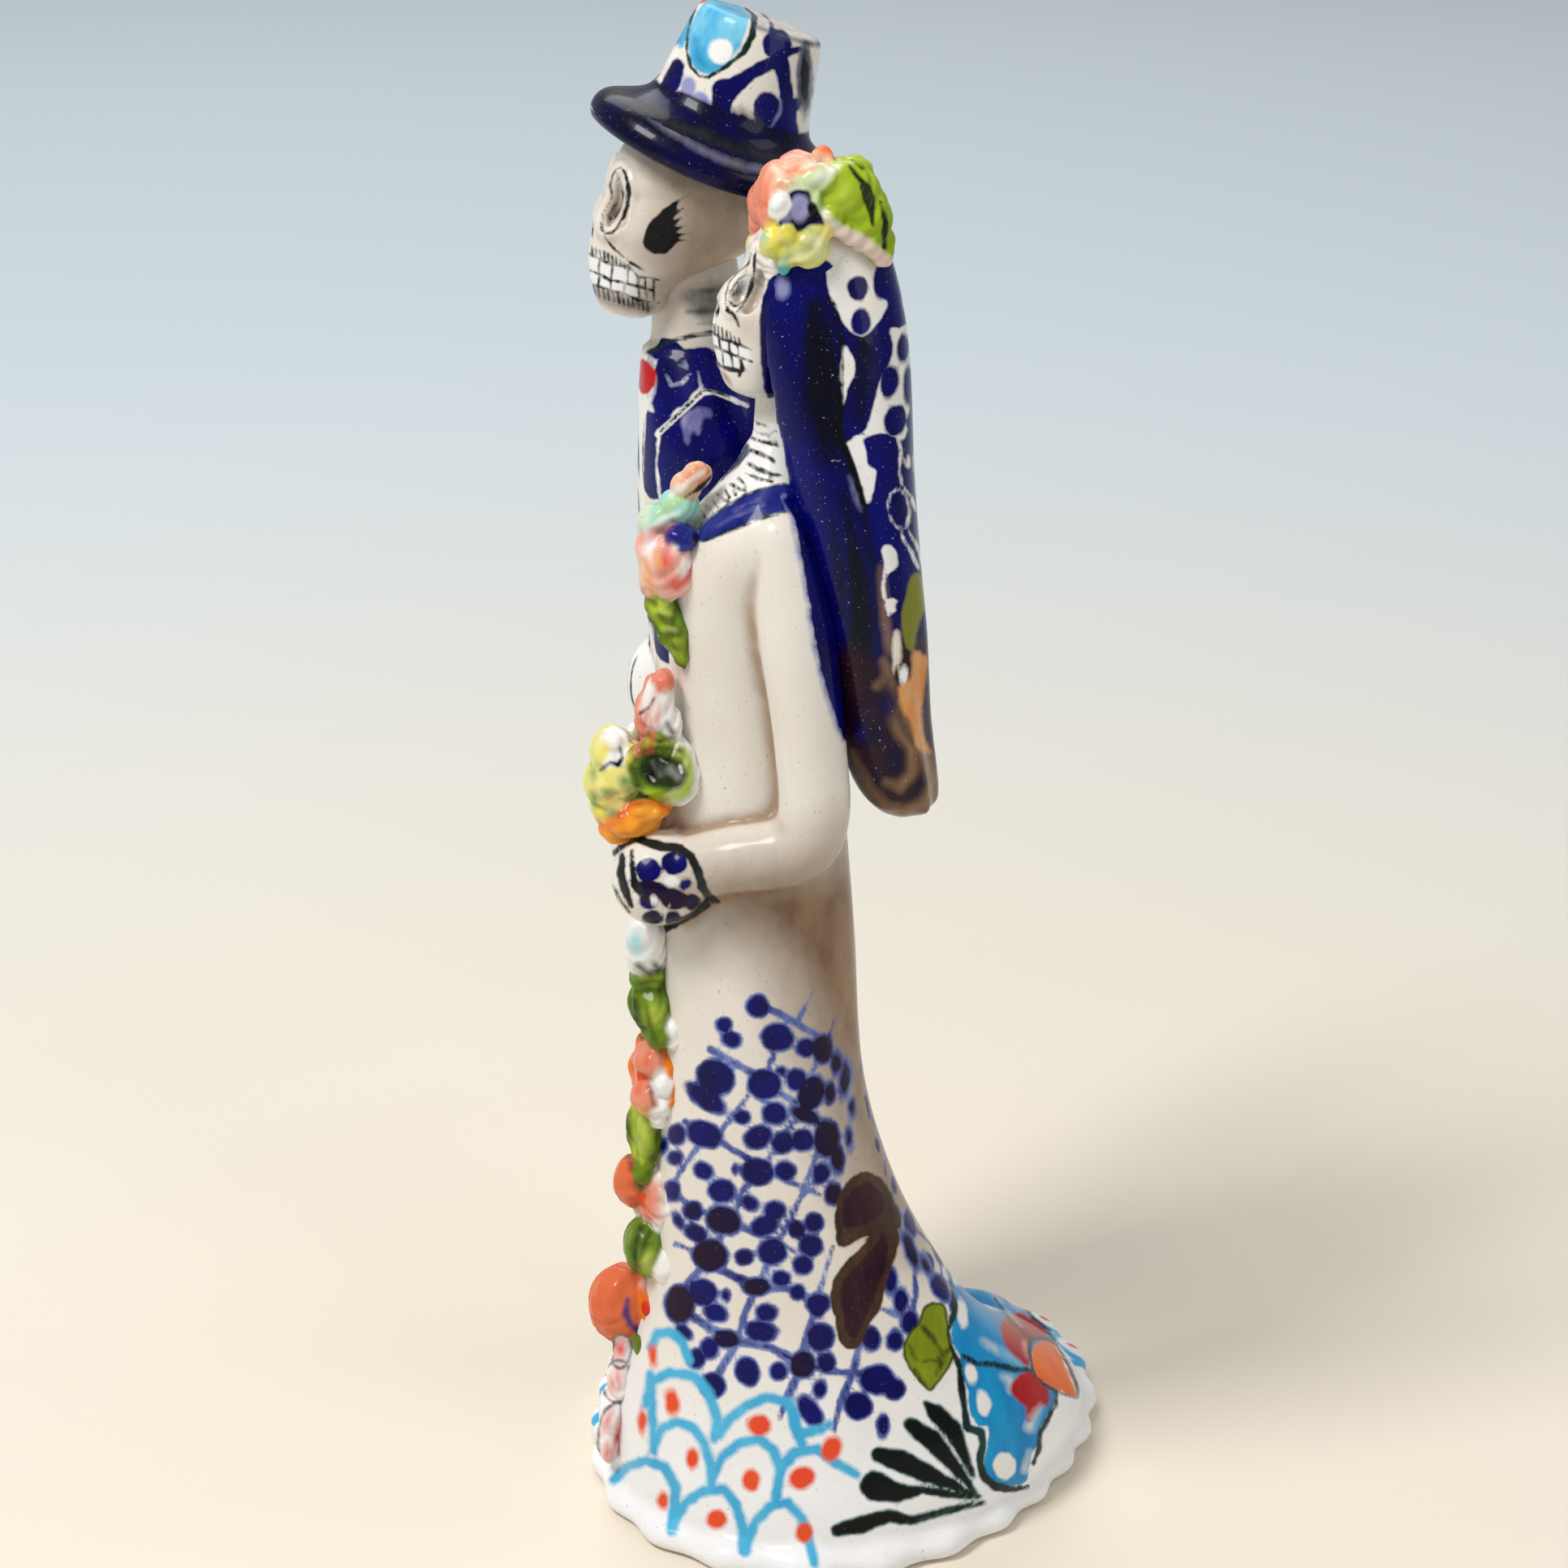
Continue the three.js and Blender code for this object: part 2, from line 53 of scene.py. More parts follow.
# The camera that stands where the photograph was taken from, with its lengths in millimetres
SIGHT_TURN, SIGHT_RISE = math.radians(84), math.radians(20)
SIGHT_REACH = 680.07
SIGHT_TARGET = np.array([0, -14.0, 147.79])
SENSOR = 36.0
# The photograph's side and focal length in its pixels, and the millimetres of clay that a pixel shows
PHOTO_SIDE = 1932
PHOTO_FOCAL = 4200.0
PX = 1 / 6.4
# Windows of the photograph that marks were placed in: left and top in its pixels, and the enlargement
WHOLE = (0, 0, 1.0)
HEADS = (770, 0, 3.015)
CHESTS = (700, 430, 3.136)
GLOVES = (700, 860, 4.61)
SKIRT = (700, 1180, 2.085)
HEM_FLOWER = (1090, 1520, 4.125)

# How far outside a mark a point counts as when the mark isn't to be painted there, in millimetres
AWAY = 9.0
# The radius of the pale floor, in metres
FLOOR_REACH = 6.0

# Middles of the figures and of their heads
BRIDE_X, GROOM_X = 24.0, -26.0
BRIDE_HEAD, BRIDE_SIZE, BRIDE_LEAN = np.array([24, -13.4, 254]), 0.86, 0.18
GROOM_HEAD = np.array([-26, -30.5, 260.5])
# How much lower the far half of the bride's crown sits
FAR_SINK = 5.0
HAT_SEAT, HAT_TILT = np.array([-26, -23.2, 272.9]), math.radians(19.5)

# Heights where the groom's clothes end, and how far forward his chest begins
SHOE_TOP, JACKET_HEM, COLLAR_TOP = 15.5, 104, 228.5
CHEST_Y = -24
GROOM_HAND, HAND_RADII = np.array([-28.0, -37.6, 160.5]), np.array([9.3, 8.0, 10.8])

# The foot: how many scallops it has, and its mean radius
SCALLOPS = 23
HEM_RADIUS = 56.5
# The spacing of the painted net and the width of a painted scale, where the photograph doesn't show them
NET_SPACING = 11.9
SCALE_WIDTH = 12.8

# Glaze and pigments
IVORY = (0.80, 0.75, 0.675)
WHITE = (0.86, 0.85, 0.82)
BRIGHT_WHITE = (0.90, 0.915, 0.935)
UMBER = (0.30, 0.17, 0.085)
COBALT = (0.0015, 0.0025, 0.145)
NAVY = (0.002, 0.001, 0.048)
AUBERGINE = (0.014, 0.002, 0.014)
BLUE = (0.030, 0.042, 0.25)
SKY = (0.20, 0.27, 0.56)
INK = (0.002, 0.0025, 0.003)
SOOT = (0.030, 0.034, 0.036)
CERULEAN = (0.004, 0.20, 0.44)
AQUA = (0.045, 0.38, 0.68)
TURQUOISE = (0.030, 0.38, 0.40)
TEAL = (0.008, 0.050, 0.048)
ORANGE = (0.80, 0.19, 0.012)
RUST = (0.70, 0.15, 0.055)
RED = (0.60, 0.020, 0.012)
SCARLET = (0.80, 0.065, 0.022)
SALMON = (0.76, 0.26, 0.17)
PINK = (0.78, 0.42, 0.36)
YELLOW = (0.78, 0.60, 0.16)
LEMON = (0.78, 0.70, 0.33)
LIME = (0.40, 0.52, 0.03)
LEAF = (0.13, 0.23, 0.014)
OLIVE = (0.16, 0.22, 0.010)
MOSS = (0.035, 0.060, 0.006)
PLUM = (0.060, 0.010, 0.034)
LILAC = (0.34, 0.32, 0.52)
# Mixed shades, in order of how much red they hold
NIGHT = (0.001, 0.001, 0.016)
PETAL_BLUE = (0.004, 0.22, 0.52)
PETAL_SKY = (0.01, 0.34, 0.66)
BLUE_BLACK = (0.02, 0.03, 0.07)
OXBLOOD = (0.03, 0.01, 0.01)
DARK_BROWN = (0.03, 0.013, 0.008)
EMERALD = (0.03, 0.22, 0.13)
PINE = (0.05, 0.15, 0.13)
MAROON = (0.06, 0.012, 0.012)
CHARCOAL = (0.06, 0.07, 0.06)
SLATE = (0.08, 0.11, 0.20)
BROWN = (0.09, 0.045, 0.022)
COCOA = (0.10, 0.06, 0.05)
SLATE_BLUE = (0.10, 0.12, 0.22)
BRIGHT_AQUA = (0.10, 0.50, 0.76)
ASH = (0.14, 0.16, 0.14)
DUSK = (0.16, 0.10, 0.10)
DRAB = (0.16, 0.15, 0.12)
LEAD = (0.16, 0.18, 0.17)
SHADOW_BROWN = (0.17, 0.088, 0.038)
DEEP_OLIVE = (0.17, 0.22, 0.006)
PEWTER = (0.22, 0.24, 0.22)
STEEL = (0.22, 0.24, 0.25)
DUSTY_BLUE = (0.22, 0.24, 0.44)
DEEP_LIME = (0.24, 0.38, 0.008)
PALE_AQUA = (0.25, 0.62, 0.78)
KHAKI = (0.26, 0.21, 0.02)
OLIVE_GREEN = (0.26, 0.33, 0.012)
THIN_SHADOW_BROWN = (0.30, 0.18, 0.095)
GREY = (0.30, 0.32, 0.33)
PALE_LEAD = (0.34, 0.38, 0.36)
MINT = (0.35, 0.62, 0.50)
PALE_TURQUOISE = (0.35, 0.62, 0.62)
JADE = (0.35, 0.68, 0.55)
BLOOD_RED = (0.36, 0.001, 0.004)
FRESH_LIME = (0.38, 0.50, 0.02)
CARMINE = (0.42, 0.008, 0.008)
SIENNA = (0.42, 0.24, 0.12)
CLAY_BROWN = (0.42, 0.26, 0.20)
THIN_UMBER = (0.42, 0.28, 0.19)
PALE_LILAC = (0.45, 0.45, 0.55)
SPRING_GREEN = (0.46, 0.60, 0.03)
CHERRY = (0.50, 0.01, 0.01)
FAWN = (0.50, 0.34, 0.24)
PALE_LIME = (0.50, 0.56, 0.12)
TAN = (0.55, 0.40, 0.28)
PALE_LEAF = (0.55, 0.72, 0.40)
FROST = (0.55, 0.75, 0.72)
SAGE = (0.58, 0.70, 0.36)
PALE_MOSS = (0.60, 0.68, 0.36)
CELADON = (0.60, 0.72, 0.55)
BISCUIT = (0.62, 0.48, 0.34)
CHARTREUSE = (0.62, 0.66, 0.10)
LIGHT_LIME = (0.62, 0.70, 0.20)
BURNT_ORANGE = (0.66, 0.22, 0.02)
DUSTY_ROSE = (0.66, 0.48, 0.38)
AMBER = (0.70, 0.38, 0.17)
MUSTARD = (0.70, 0.68, 0.20)
STRAW = (0.70, 0.70, 0.36)
POPPY = (0.72, 0.04, 0.03)
BLUSH = (0.72, 0.55, 0.46)
PALE_ROSE = (0.74, 0.62, 0.52)
PALE_STRAW = (0.74, 0.76, 0.50)
APRICOT = (0.76, 0.50, 0.32)
VERMILION = (0.78, 0.10, 0.02)
PRIMROSE = (0.78, 0.74, 0.25)
MARIGOLD = (0.80, 0.36, 0.04)
FLAME = (0.82, 0.11, 0.00)
CORAL = (0.84, 0.30, 0.14)
ROSE = (0.85, 0.50, 0.42)
MILK = (0.86, 0.88, 0.90)
TANGERINE = (0.88, 0.33, 0.03)
GOLD = (0.88, 0.72, 0.02)
SUN_YELLOW = (0.88, 0.76, 0.01)
BRIGHT_FLAME = (0.90, 0.17, 0.00)
PEACH = (0.92, 0.60, 0.42)
PALE_PEACH = (0.94, 0.76, 0.60)

# What the glaze does to the colours below it, and the brown of the painted shade in the flowers' creases
CLOUD_SHADE = (0.80, 0.70, 0.60)
CREASE_SHADE = (0.30, 0.22, 0.18)
IRON_SPECK = (0.20, 0.12, 0.07)
PALE_DOT = (0.42, 0.45, 0.62)
GLAZE_ROUGHNESS = 0.2
SPECKLE = 0.5

# The floor
PAPER_BEIGE = (0.83, 0.755, 0.63)
PAPER_BLUE = (0.73, 0.82, 0.86)
PAPER_GREY = (0.78, 0.76, 0.72)


# Clay forms

def spline(points, count):
    """Points along a smooth line through the given ones."""
    p = np.asarray(points, float)
    p = np.vstack([2 * p[0] - p[1], p, 2 * p[-1] - p[-2]])
    place = np.linspace(0, len(p) - 3, count)
    leg = np.minimum(place.astype(int), len(p) - 4)
    f = (place - leg)[:, None]
    a, b, c, d = p[leg], p[leg + 1], p[leg + 2], p[leg + 3]
    return b + 0.5 * f * (c - a + f * (2 * a - 5 * b + 4 * c - d + f * (3 * (b - c) + d - a)))


def circle(sides):
    return np.arange(sides) * TAU / sides


def skin(rings):
    """A closed form over a stack of rings: its corners and its triangles."""
    count, sides, _ = rings.shape
    grid = np.arange(count * sides).reshape(count, sides)
    a, b = grid[:-1], np.roll(grid, -1, 1)[:-1]
    c, d = np.roll(grid, -1, 1)[1:], grid[1:]
    foot, head = np.full(sides, count * sides), np.full(sides, count * sides + 1)
    ends = ((foot, np.roll(grid[0], -1), grid[0]), (head, grid[-1], np.roll(grid[-1], -1)))
    faces = [np.stack(corners, -1).reshape(-1, 3) for corners in ((a, b, c), (a, c, d), *ends)]
    return np.vstack([rings.reshape(-1, 3), rings[0].mean(0), rings[-1].mean(0)]), np.vstack(faces)


def swell(value, fullness):
    return np.sign(value) * np.abs(value) ** fullness


def loft(stations, ring_count, sides, fullness=1.0, shape=None):
    """Level ovals through stations [height, one side, other side, front, back]."""
    z, one, other, front, back = (column[:, None] for column in spline(stations, ring_count).T)
    angle = circle(sides)[None, :]
    x = (one + other) / 2 + (one - other) / 2 * swell(np.cos(angle), fullness)
    y = (front + back) / 2 + (back - front) / 2 * swell(np.sin(angle), fullness)
    rings = np.stack([x, y, np.broadcast_to(z, x.shape)], -1)
    return skin(shape(rings, angle) if shape else rings)


def limb(joints, ring_count=48, sides=36):
    """A round limb through joints [x, y, z, radius], with rounded ends."""
    line = spline(joints, ring_count)
    heading = np.gradient(line[:, :3], axis=0)
    heading /= np.linalg.norm(heading, axis=1)[:, None]
    bends = np.radians([-85, -70, -50, -25])
    middles, radii, ways = [], [], []
    for place, lean in ([(0, bend) for bend in bends] + [(i, 0) for i in range(ring_count)]
                        + [(-1, -bend) for bend in bends[::-1]]):
        radius = line[place, 3]
        middles.append(line[place, :3] + heading[place] * radius * math.sin(lean))
        radii.append(radius * math.cos(lean))
        ways.append(heading[place])
    ways = np.array(ways)
    side = np.cross(ways, (1.0, 0, 0))
    side /= np.linalg.norm(side, axis=1)[:, None]
    other = np.cross(side, ways)
    angle = circle(sides)[None, :, None]
    spread = other[:, None] * np.cos(angle) + side[:, None] * np.sin(angle)
    return skin(np.array(middles)[:, None] + spread * np.array(radii)[:, None, None])


def turned(degrees):
    """The rotation about X, then Y, then Z that the CAD part's lumps use."""
    x, y, z = np.radians(degrees)
    about_x = np.array([[1, 0, 0], [0, math.cos(x), -math.sin(x)], [0, math.sin(x), math.cos(x)]])
    about_y = np.array([[math.cos(y), 0, math.sin(y)], [0, 1, 0], [-math.sin(y), 0, math.cos(y)]])
    about_z = np.array([[math.cos(z), -math.sin(z), 0], [math.sin(z), math.cos(z), 0], [0, 0, 1]])
    return about_x @ about_y @ about_z


def unit_ball(sides=40, rows=26):
    """Rings of a ball of radius 1 about Z, from its foot to its head."""
    rise = np.linspace(-math.pi / 2 + 0.03, math.pi / 2 - 0.03, rows)[:, None]
    angle = circle(sides)[None, :]
    return np.stack([np.cos(rise) * np.cos(angle), np.cos(rise) * np.sin(angle),
                     np.broadcast_to(np.sin(rise), (rows, sides))], -1)


def lump(middle, radii, tilt=(0, 0, 0)):
    points, faces = skin(unit_ball())
    return points * radii @ turned(tilt).T + middle, faces


def fuse(name, forms, voxel, rounds, cut=()):
    """One softened skin over closed forms that overlap, with the cut forms taken out of them."""
    def gathered(label, group):
        starts = np.cumsum([0] + [len(points) for points, _ in group])
        mesh = bpy.data.meshes.new(label)
        mesh.from_pydata((np.vstack([points for points, _ in group]) * MM).tolist(), [],
                         np.vstack([faces + start for (_, faces), start in zip(group, starts)]).tolist())
        made = bpy.data.objects.new(label, mesh)
        bpy.context.scene.collection.objects.link(made)
        return made

    piece = gathered(name, forms)
    cutter = None
    if cut:
        cutter = gathered(name + "_cut", cut)
        cutting = piece.modifiers.new("cut", "BOOLEAN")
        cutting.operation, cutting.solver, cutting.object = "DIFFERENCE", "EXACT", cutter
        cutting.use_self = True
    fusing = piece.modifiers.new("fused", "REMESH")
    fusing.mode, fusing.voxel_size = "VOXEL", voxel * MM * 1
    evaluated = piece.evaluated_get(bpy.context.evaluated_depsgraph_get())
    fused = bpy.data.meshes.new_from_object(evaluated)
    piece.modifiers.clear()
    piece.data = fused
    if cutter:
        bpy.data.objects.remove(cutter)
    soften(fused, rounds)
    fused.polygons.foreach_set("use_smooth", np.ones(len(fused.polygons), bool))
    fused.update()
    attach(piece, "root")
    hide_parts(NODE)
    return piece


def corners_of(mesh):
    points = np.zeros(len(mesh.vertices) * 3)
    mesh.vertices.foreach_get("co", points)
    return points.reshape(-1, 3) / MM


def edges_of(mesh):
    ends = np.zeros(len(mesh.edges) * 2, int)
    mesh.edges.foreach_get("vertices", ends)
    return ends.reshape(-1, 2)


def averaged(values, ends):
    """Each point's mean over its neighbours, for values of one or more columns."""
    one, other = ends.T
    count = len(values)
    share = np.bincount(one, minlength=count) + np.bincount(other, minlength=count)
    sums = np.stack([np.bincount(one, column[other], count) + np.bincount(other, column[one], count)
                     for column in values.reshape(count, -1).T], -1)
    return (sums / np.maximum(share, 1)[:, None]).reshape(values.shape)


def soften(mesh, rounds):
    points, ends = corners_of(mesh), edges_of(mesh)
    for _ in range(rounds):
        points += 0.6 * (averaged(points, ends) - points)
    mesh.vertices.foreach_set("co", (points * MM).ravel())


# The couple's clay

def hem_reach(angle):
    """The outline of the hem at an angle about the origin."""
    trail = 6.5 * np.cos(2 * (angle - math.radians(145)))
    step = 7 * np.maximum(0, np.cos(angle + math.radians(125))) ** 7
    return HEM_RADIUS + trail + step


GOWN = [(2, 53.5, -30, -53.5, 52), (10, 53, -23, -53, 48), (20, 50.5, -14, -51.5, 38),
        (33, 48, -7, -48.5, 27.5), (50, 44.8, -2, -44.8, 16.5), (70, 42, 2, -42.6, 6.5),
        (95, 40.4, 4, -41.6, -0.5), (125, 39.5, 5, -40.6, -2.5), (150, 37.5, 8, -39, -4.5),
        (172, 36.5, 10, -38, -7), (194, 39, 8.5, -38.6, -8), (206, 41.6, 6.5, -36.4, -8.5),
        (213, 40, 8, -31, -9.5), (219, 35, 13, -26, -11), (224, 30.5, 17.5, -23.5, -12.5)]
JACKET = [
    (98, -5.5, -46.5, -39.5, -6.5), (112, -6, -46.5, -39.8, -6.5), (140, -8, -44.5, -39, -7.5),
    (165, -9, -43.5, -38.5, -8), (190, -7, -45.5, -40.5, -7.5), (206, -6.5, -46, -40.8, -8),
    (216, -7.5, -44.5, -40.4, -11), (224, -11.5, -40.5, -40.2, -14), (231.5, -16.5, -35.5, -39.6, -19)]
LEG = [(4, 8.4, -8.4, -37.5, -9), (50, 8.7, -8.7, -37.5, -10.5), (120, 8.9, -8.9, -38, -10)]
TAIL = [(58, 2.6, -2.6, -13, -6), (64, 5.4, -5.4, -16, -4), (90, 7.6, -7.6, -18, -4.2),
        (120, 8.6, -8.6, -20, -5.4)]
VEIL = [(151.5, 31, 17, 3, 9.4), (154.5, 37.6, 10.4, -0.8, 11.9), (160, 42.2, 5.8, -4.4, 11.8),
        (174, 45, 3, -9, 10.3), (192, 45.4, 2.6, -12.6, 9.6), (217, 43.6, 4.4, -18, 7.4),
        (242, 40.2, 7.8, -22.6, 6.2), (257, 37.4, 10.6, -22.4, 3.4), (267, 33, 15, -17, -1)]
VEIL_HOLLOW = [(140, 36.5, 11.5, -30, -4), (170, 37.5, 10.5, -34, -4), (200, 37.5, 10.5, -38, -6),
               (225, 36.5, 11.5, -42, -8), (243, 34.5, 13.5, -44, -10), (262, 32, 16, -42, -12)]
SKULL = [(-22.3, 6, -13.4, -11.4, -7), (-20.5, 8.9, -17.1, -15.6, -4), (-16, 10.2, -18.8, -18.3, -1),
         (-11.5, 10.8, -19.2, -19.9, 9.5), (-7, 12.4, -18.8, -20.4, 17.4), (-3, 13.7, -17.6, -19.1, 19.8),
         (0, 14.5, -16.4, -17.9, 20.8), (2.6, 14.9, -14.9, -15.6, 21), (5, 15.2, -14.5, -14.9, 21),
         (10, 14, -12.2, -14, 19), (15, 10, -7.6, -9, 14), (17.5, 4.4, -2, -2, 6)]
HAT = [(16, 16, -3.7, 0), (30, 32, -3.5, 0.4), (42.8, 48.4, -2.96, 0.9), (46, 52, 0, 1),
       (42.8, 48.4, 3.15, 0.9), (35, 36, 4.6, 0.5), (31.2, 31.2, 6.6, 0.2), (28, 28, 14, 0),
       (25.2, 25.2, 21.2, 0), (22.4, 22.4, 23, 0), (12, 12, 23.2, 0)]


def shifted(stations, x):
    return [(z, one + x, other + x, front, back) for z, one, other, front, back in stations]


def hem():
    angle = circle(SCALLOPS * 14)
    profile = [(0, 2.2), (0.7, 0.7), (2.2, 0), (3.9, 0.4), (5.3, 1.8), (6.9, 5), (8.2, 10), (8.8, 15)]
    rings = []
    for z, inset in profile:
        reach = hem_reach(angle) - inset - 0.8 * (1 - np.cos(SCALLOPS * angle))
        rings.append(np.stack([reach * np.cos(angle), reach * np.sin(angle), np.full(angle.shape, z)], -1))
    return skin(np.array(rings))


def gown():
    def flared(rings, angle):
        spread = np.maximum(0, 1 - rings[..., 2] / 46) ** 2
        reach = hem_reach(angle) - 4.5
        rings[..., 0] += (reach * np.cos(angle) - rings[..., 0]) * spread
        rings[..., 1] += (reach * np.sin(angle) - rings[..., 1]) * spread
        return rings
    return loft(GOWN, 127, 120, 1, flared)


def bride_arm(side):
    joints = [(13.5, -18.5, 209, 6.12), (16, -16, 193, 7.2), (17.5, -13.6, 172, 6.8),
              (17.5, -12.8, 156, 6.8), (17, -17, 149.5, 6.8), (15, -28, 147.2, 6.25), (11, -37, 144, 6.1)]
    return limb([(BRIDE_X + side * x, y, z, radius) for x, y, z, radius in joints], 90)


def make_gown():
    near, far = (33, -41, 141.8), (15, -41, 142)
    forms = [hem(), gown(), bride_arm(1), bride_arm(-1),
             lump(near, (9.2, 9.6, 9.2), (8, 0, 20)), lump(far, (8.4, 8.8, 8.6), (8, 0, -20)),
             limb([(24, -17, 208, 9), (24, -16.4, 222, 6.4), (24, -15, 238, 6.6)])]
    return fuse("gown", forms, 0.86, 4)


def make_groom():
    x = GROOM_X
    forms = [loft(JACKET, 90, 72), *(loft(shifted(TAIL, x + 8 * side), 40, 40) for side in (-1, 1)),
             *(loft(shifted(LEG, x + 8.6 * side), 60, 48) for side in (-1, 1)),
             limb([(x - 14, -21, 207, 6.8), (x - 18.5, -20, 190, 7.1), (x - 20, -20, 170, 6.8),
                   (x - 17, -27, 160, 6.8), (x - 9, -34, 159, 6.1)], 70),
             limb([(x + 14, -20, 207, 6.8), (x + 17.5, -18, 188, 6.8), (x + 18, -18, 164, 6.1)]),
             limb([(x, -28, 220, 9.4), (x, -29.4, 232, 8.4), (x, -28.4, 246, 8.4)]),
             lump((x - 2, -37, 160.5), (8.5, 6.4, 10)),
             lump((x - 7.4, -35, 10.5), (6.6, 12.6, 6.2), (0, 0, -4)),
             lump((x + 8.6, -36, 10.5), (6.6, 12.6, 6.2), (0, 0, 4)),
             lump((x + 3.2, -37.4, 226), (4.2, 2.0, 3.6), (0, 0, 12)),
             lump((x - 3.2, -37.4, 226), (4.2, 2.0, 3.6), (0, 0, -12)),
             lump((x, -38.2, 226), (1.7, 1.7, 2.0))]
    return fuse("groom_suit", forms, 0.82, 4)


def make_veil():
    def folded(rings, angle):
        low = np.clip((215 - rings[..., 2]) / 60, 0, 1)
        back = np.clip((np.sin(angle) + 0.7) / 1.2, 0, 1)
        wave = 0.75 * low * back * np.sin(9 * angle + 0.06 * rings[..., 2])
        rings[..., 0] += wave * np.cos(angle)
        rings[..., 1] += wave * np.sin(angle)
        return rings
    return fuse("veil", [loft(VEIL, 100, 160, 0.72, folded)], 0.8, 4, [loft(VEIL_HOLLOW, 50, 60)])


def make_skull(name, middle, size, lean, depth, profile, drop=0.0):
    """A skull whose face follows one of the two profiles; a chin that hangs lower has a drop."""
    x, y, z = middle

    def spot(dx, dy, dz):
        return np.array([x + dx * size, y + (dy + lean * (dz + 17)) * size, z + dz * size])

    stations = []
    for h, half, *fronts, back in SKULL:
        slant = lean * (h + 17)
        stations.append((z + (h - drop * max(0, -16 - h)) * size, x + half * size, x - half * size,
                         y + (fronts[profile] + slant) * size, y + (back * depth + slant) * size))
    cuts = [lump(spot(side * 8.4, -15.4, 0.2), np.array([4, 4.6, 5.4]) * size) for side in (-1, 1)]
    cuts += [lump(spot(side * 1.0, -19.9, -6.2), np.array([1.5, 2.4, 2.8]) * size, (0, side * 12, 0))
             for side in (-1, 1)]
    return fuse(name, [loft(stations, 90, 90, 0.9)], 0.42, 5, cuts)


def make_hat():
    width, length, z, droop = (column[:, None] for column in spline(HAT, 90).T)
    angle = circle(110)[None, :]
    fall = droop * (2.5 + 2.6 * np.cos(angle) ** 2)
    rings = np.stack([width / 2 * np.cos(angle), length / 2 * np.sin(angle), z - fall], -1)
    cosine, sine = math.cos(HAT_TILT), math.sin(HAT_TILT)
    tipped = np.stack([rings[..., 0], rings[..., 1] * cosine + rings[..., 2] * sine,
                       rings[..., 2] * cosine - rings[..., 1] * sine], -1)
    return fuse("top_hat", [skin(tipped + HAT_SEAT)], 0.5, 3)


# Flowers, leaves and buds

def facing(outward, roll=0.0):
    """Rows: two directions across a flower, turned by roll, and the way it faces."""
    out = np.array(outward, float) / np.linalg.norm(outward)
    side = np.cross((0.0, 0.0, 1.0) if abs(out[2]) < 0.9 else (0.0, -1.0, 0.0), out)
    side /= np.linalg.norm(side)
    up = np.cross(out, side)
    turn = math.radians(roll)
    return np.array([side * math.cos(turn) + up * math.sin(turn),
                     up * math.cos(turn) - side * math.sin(turn), out])


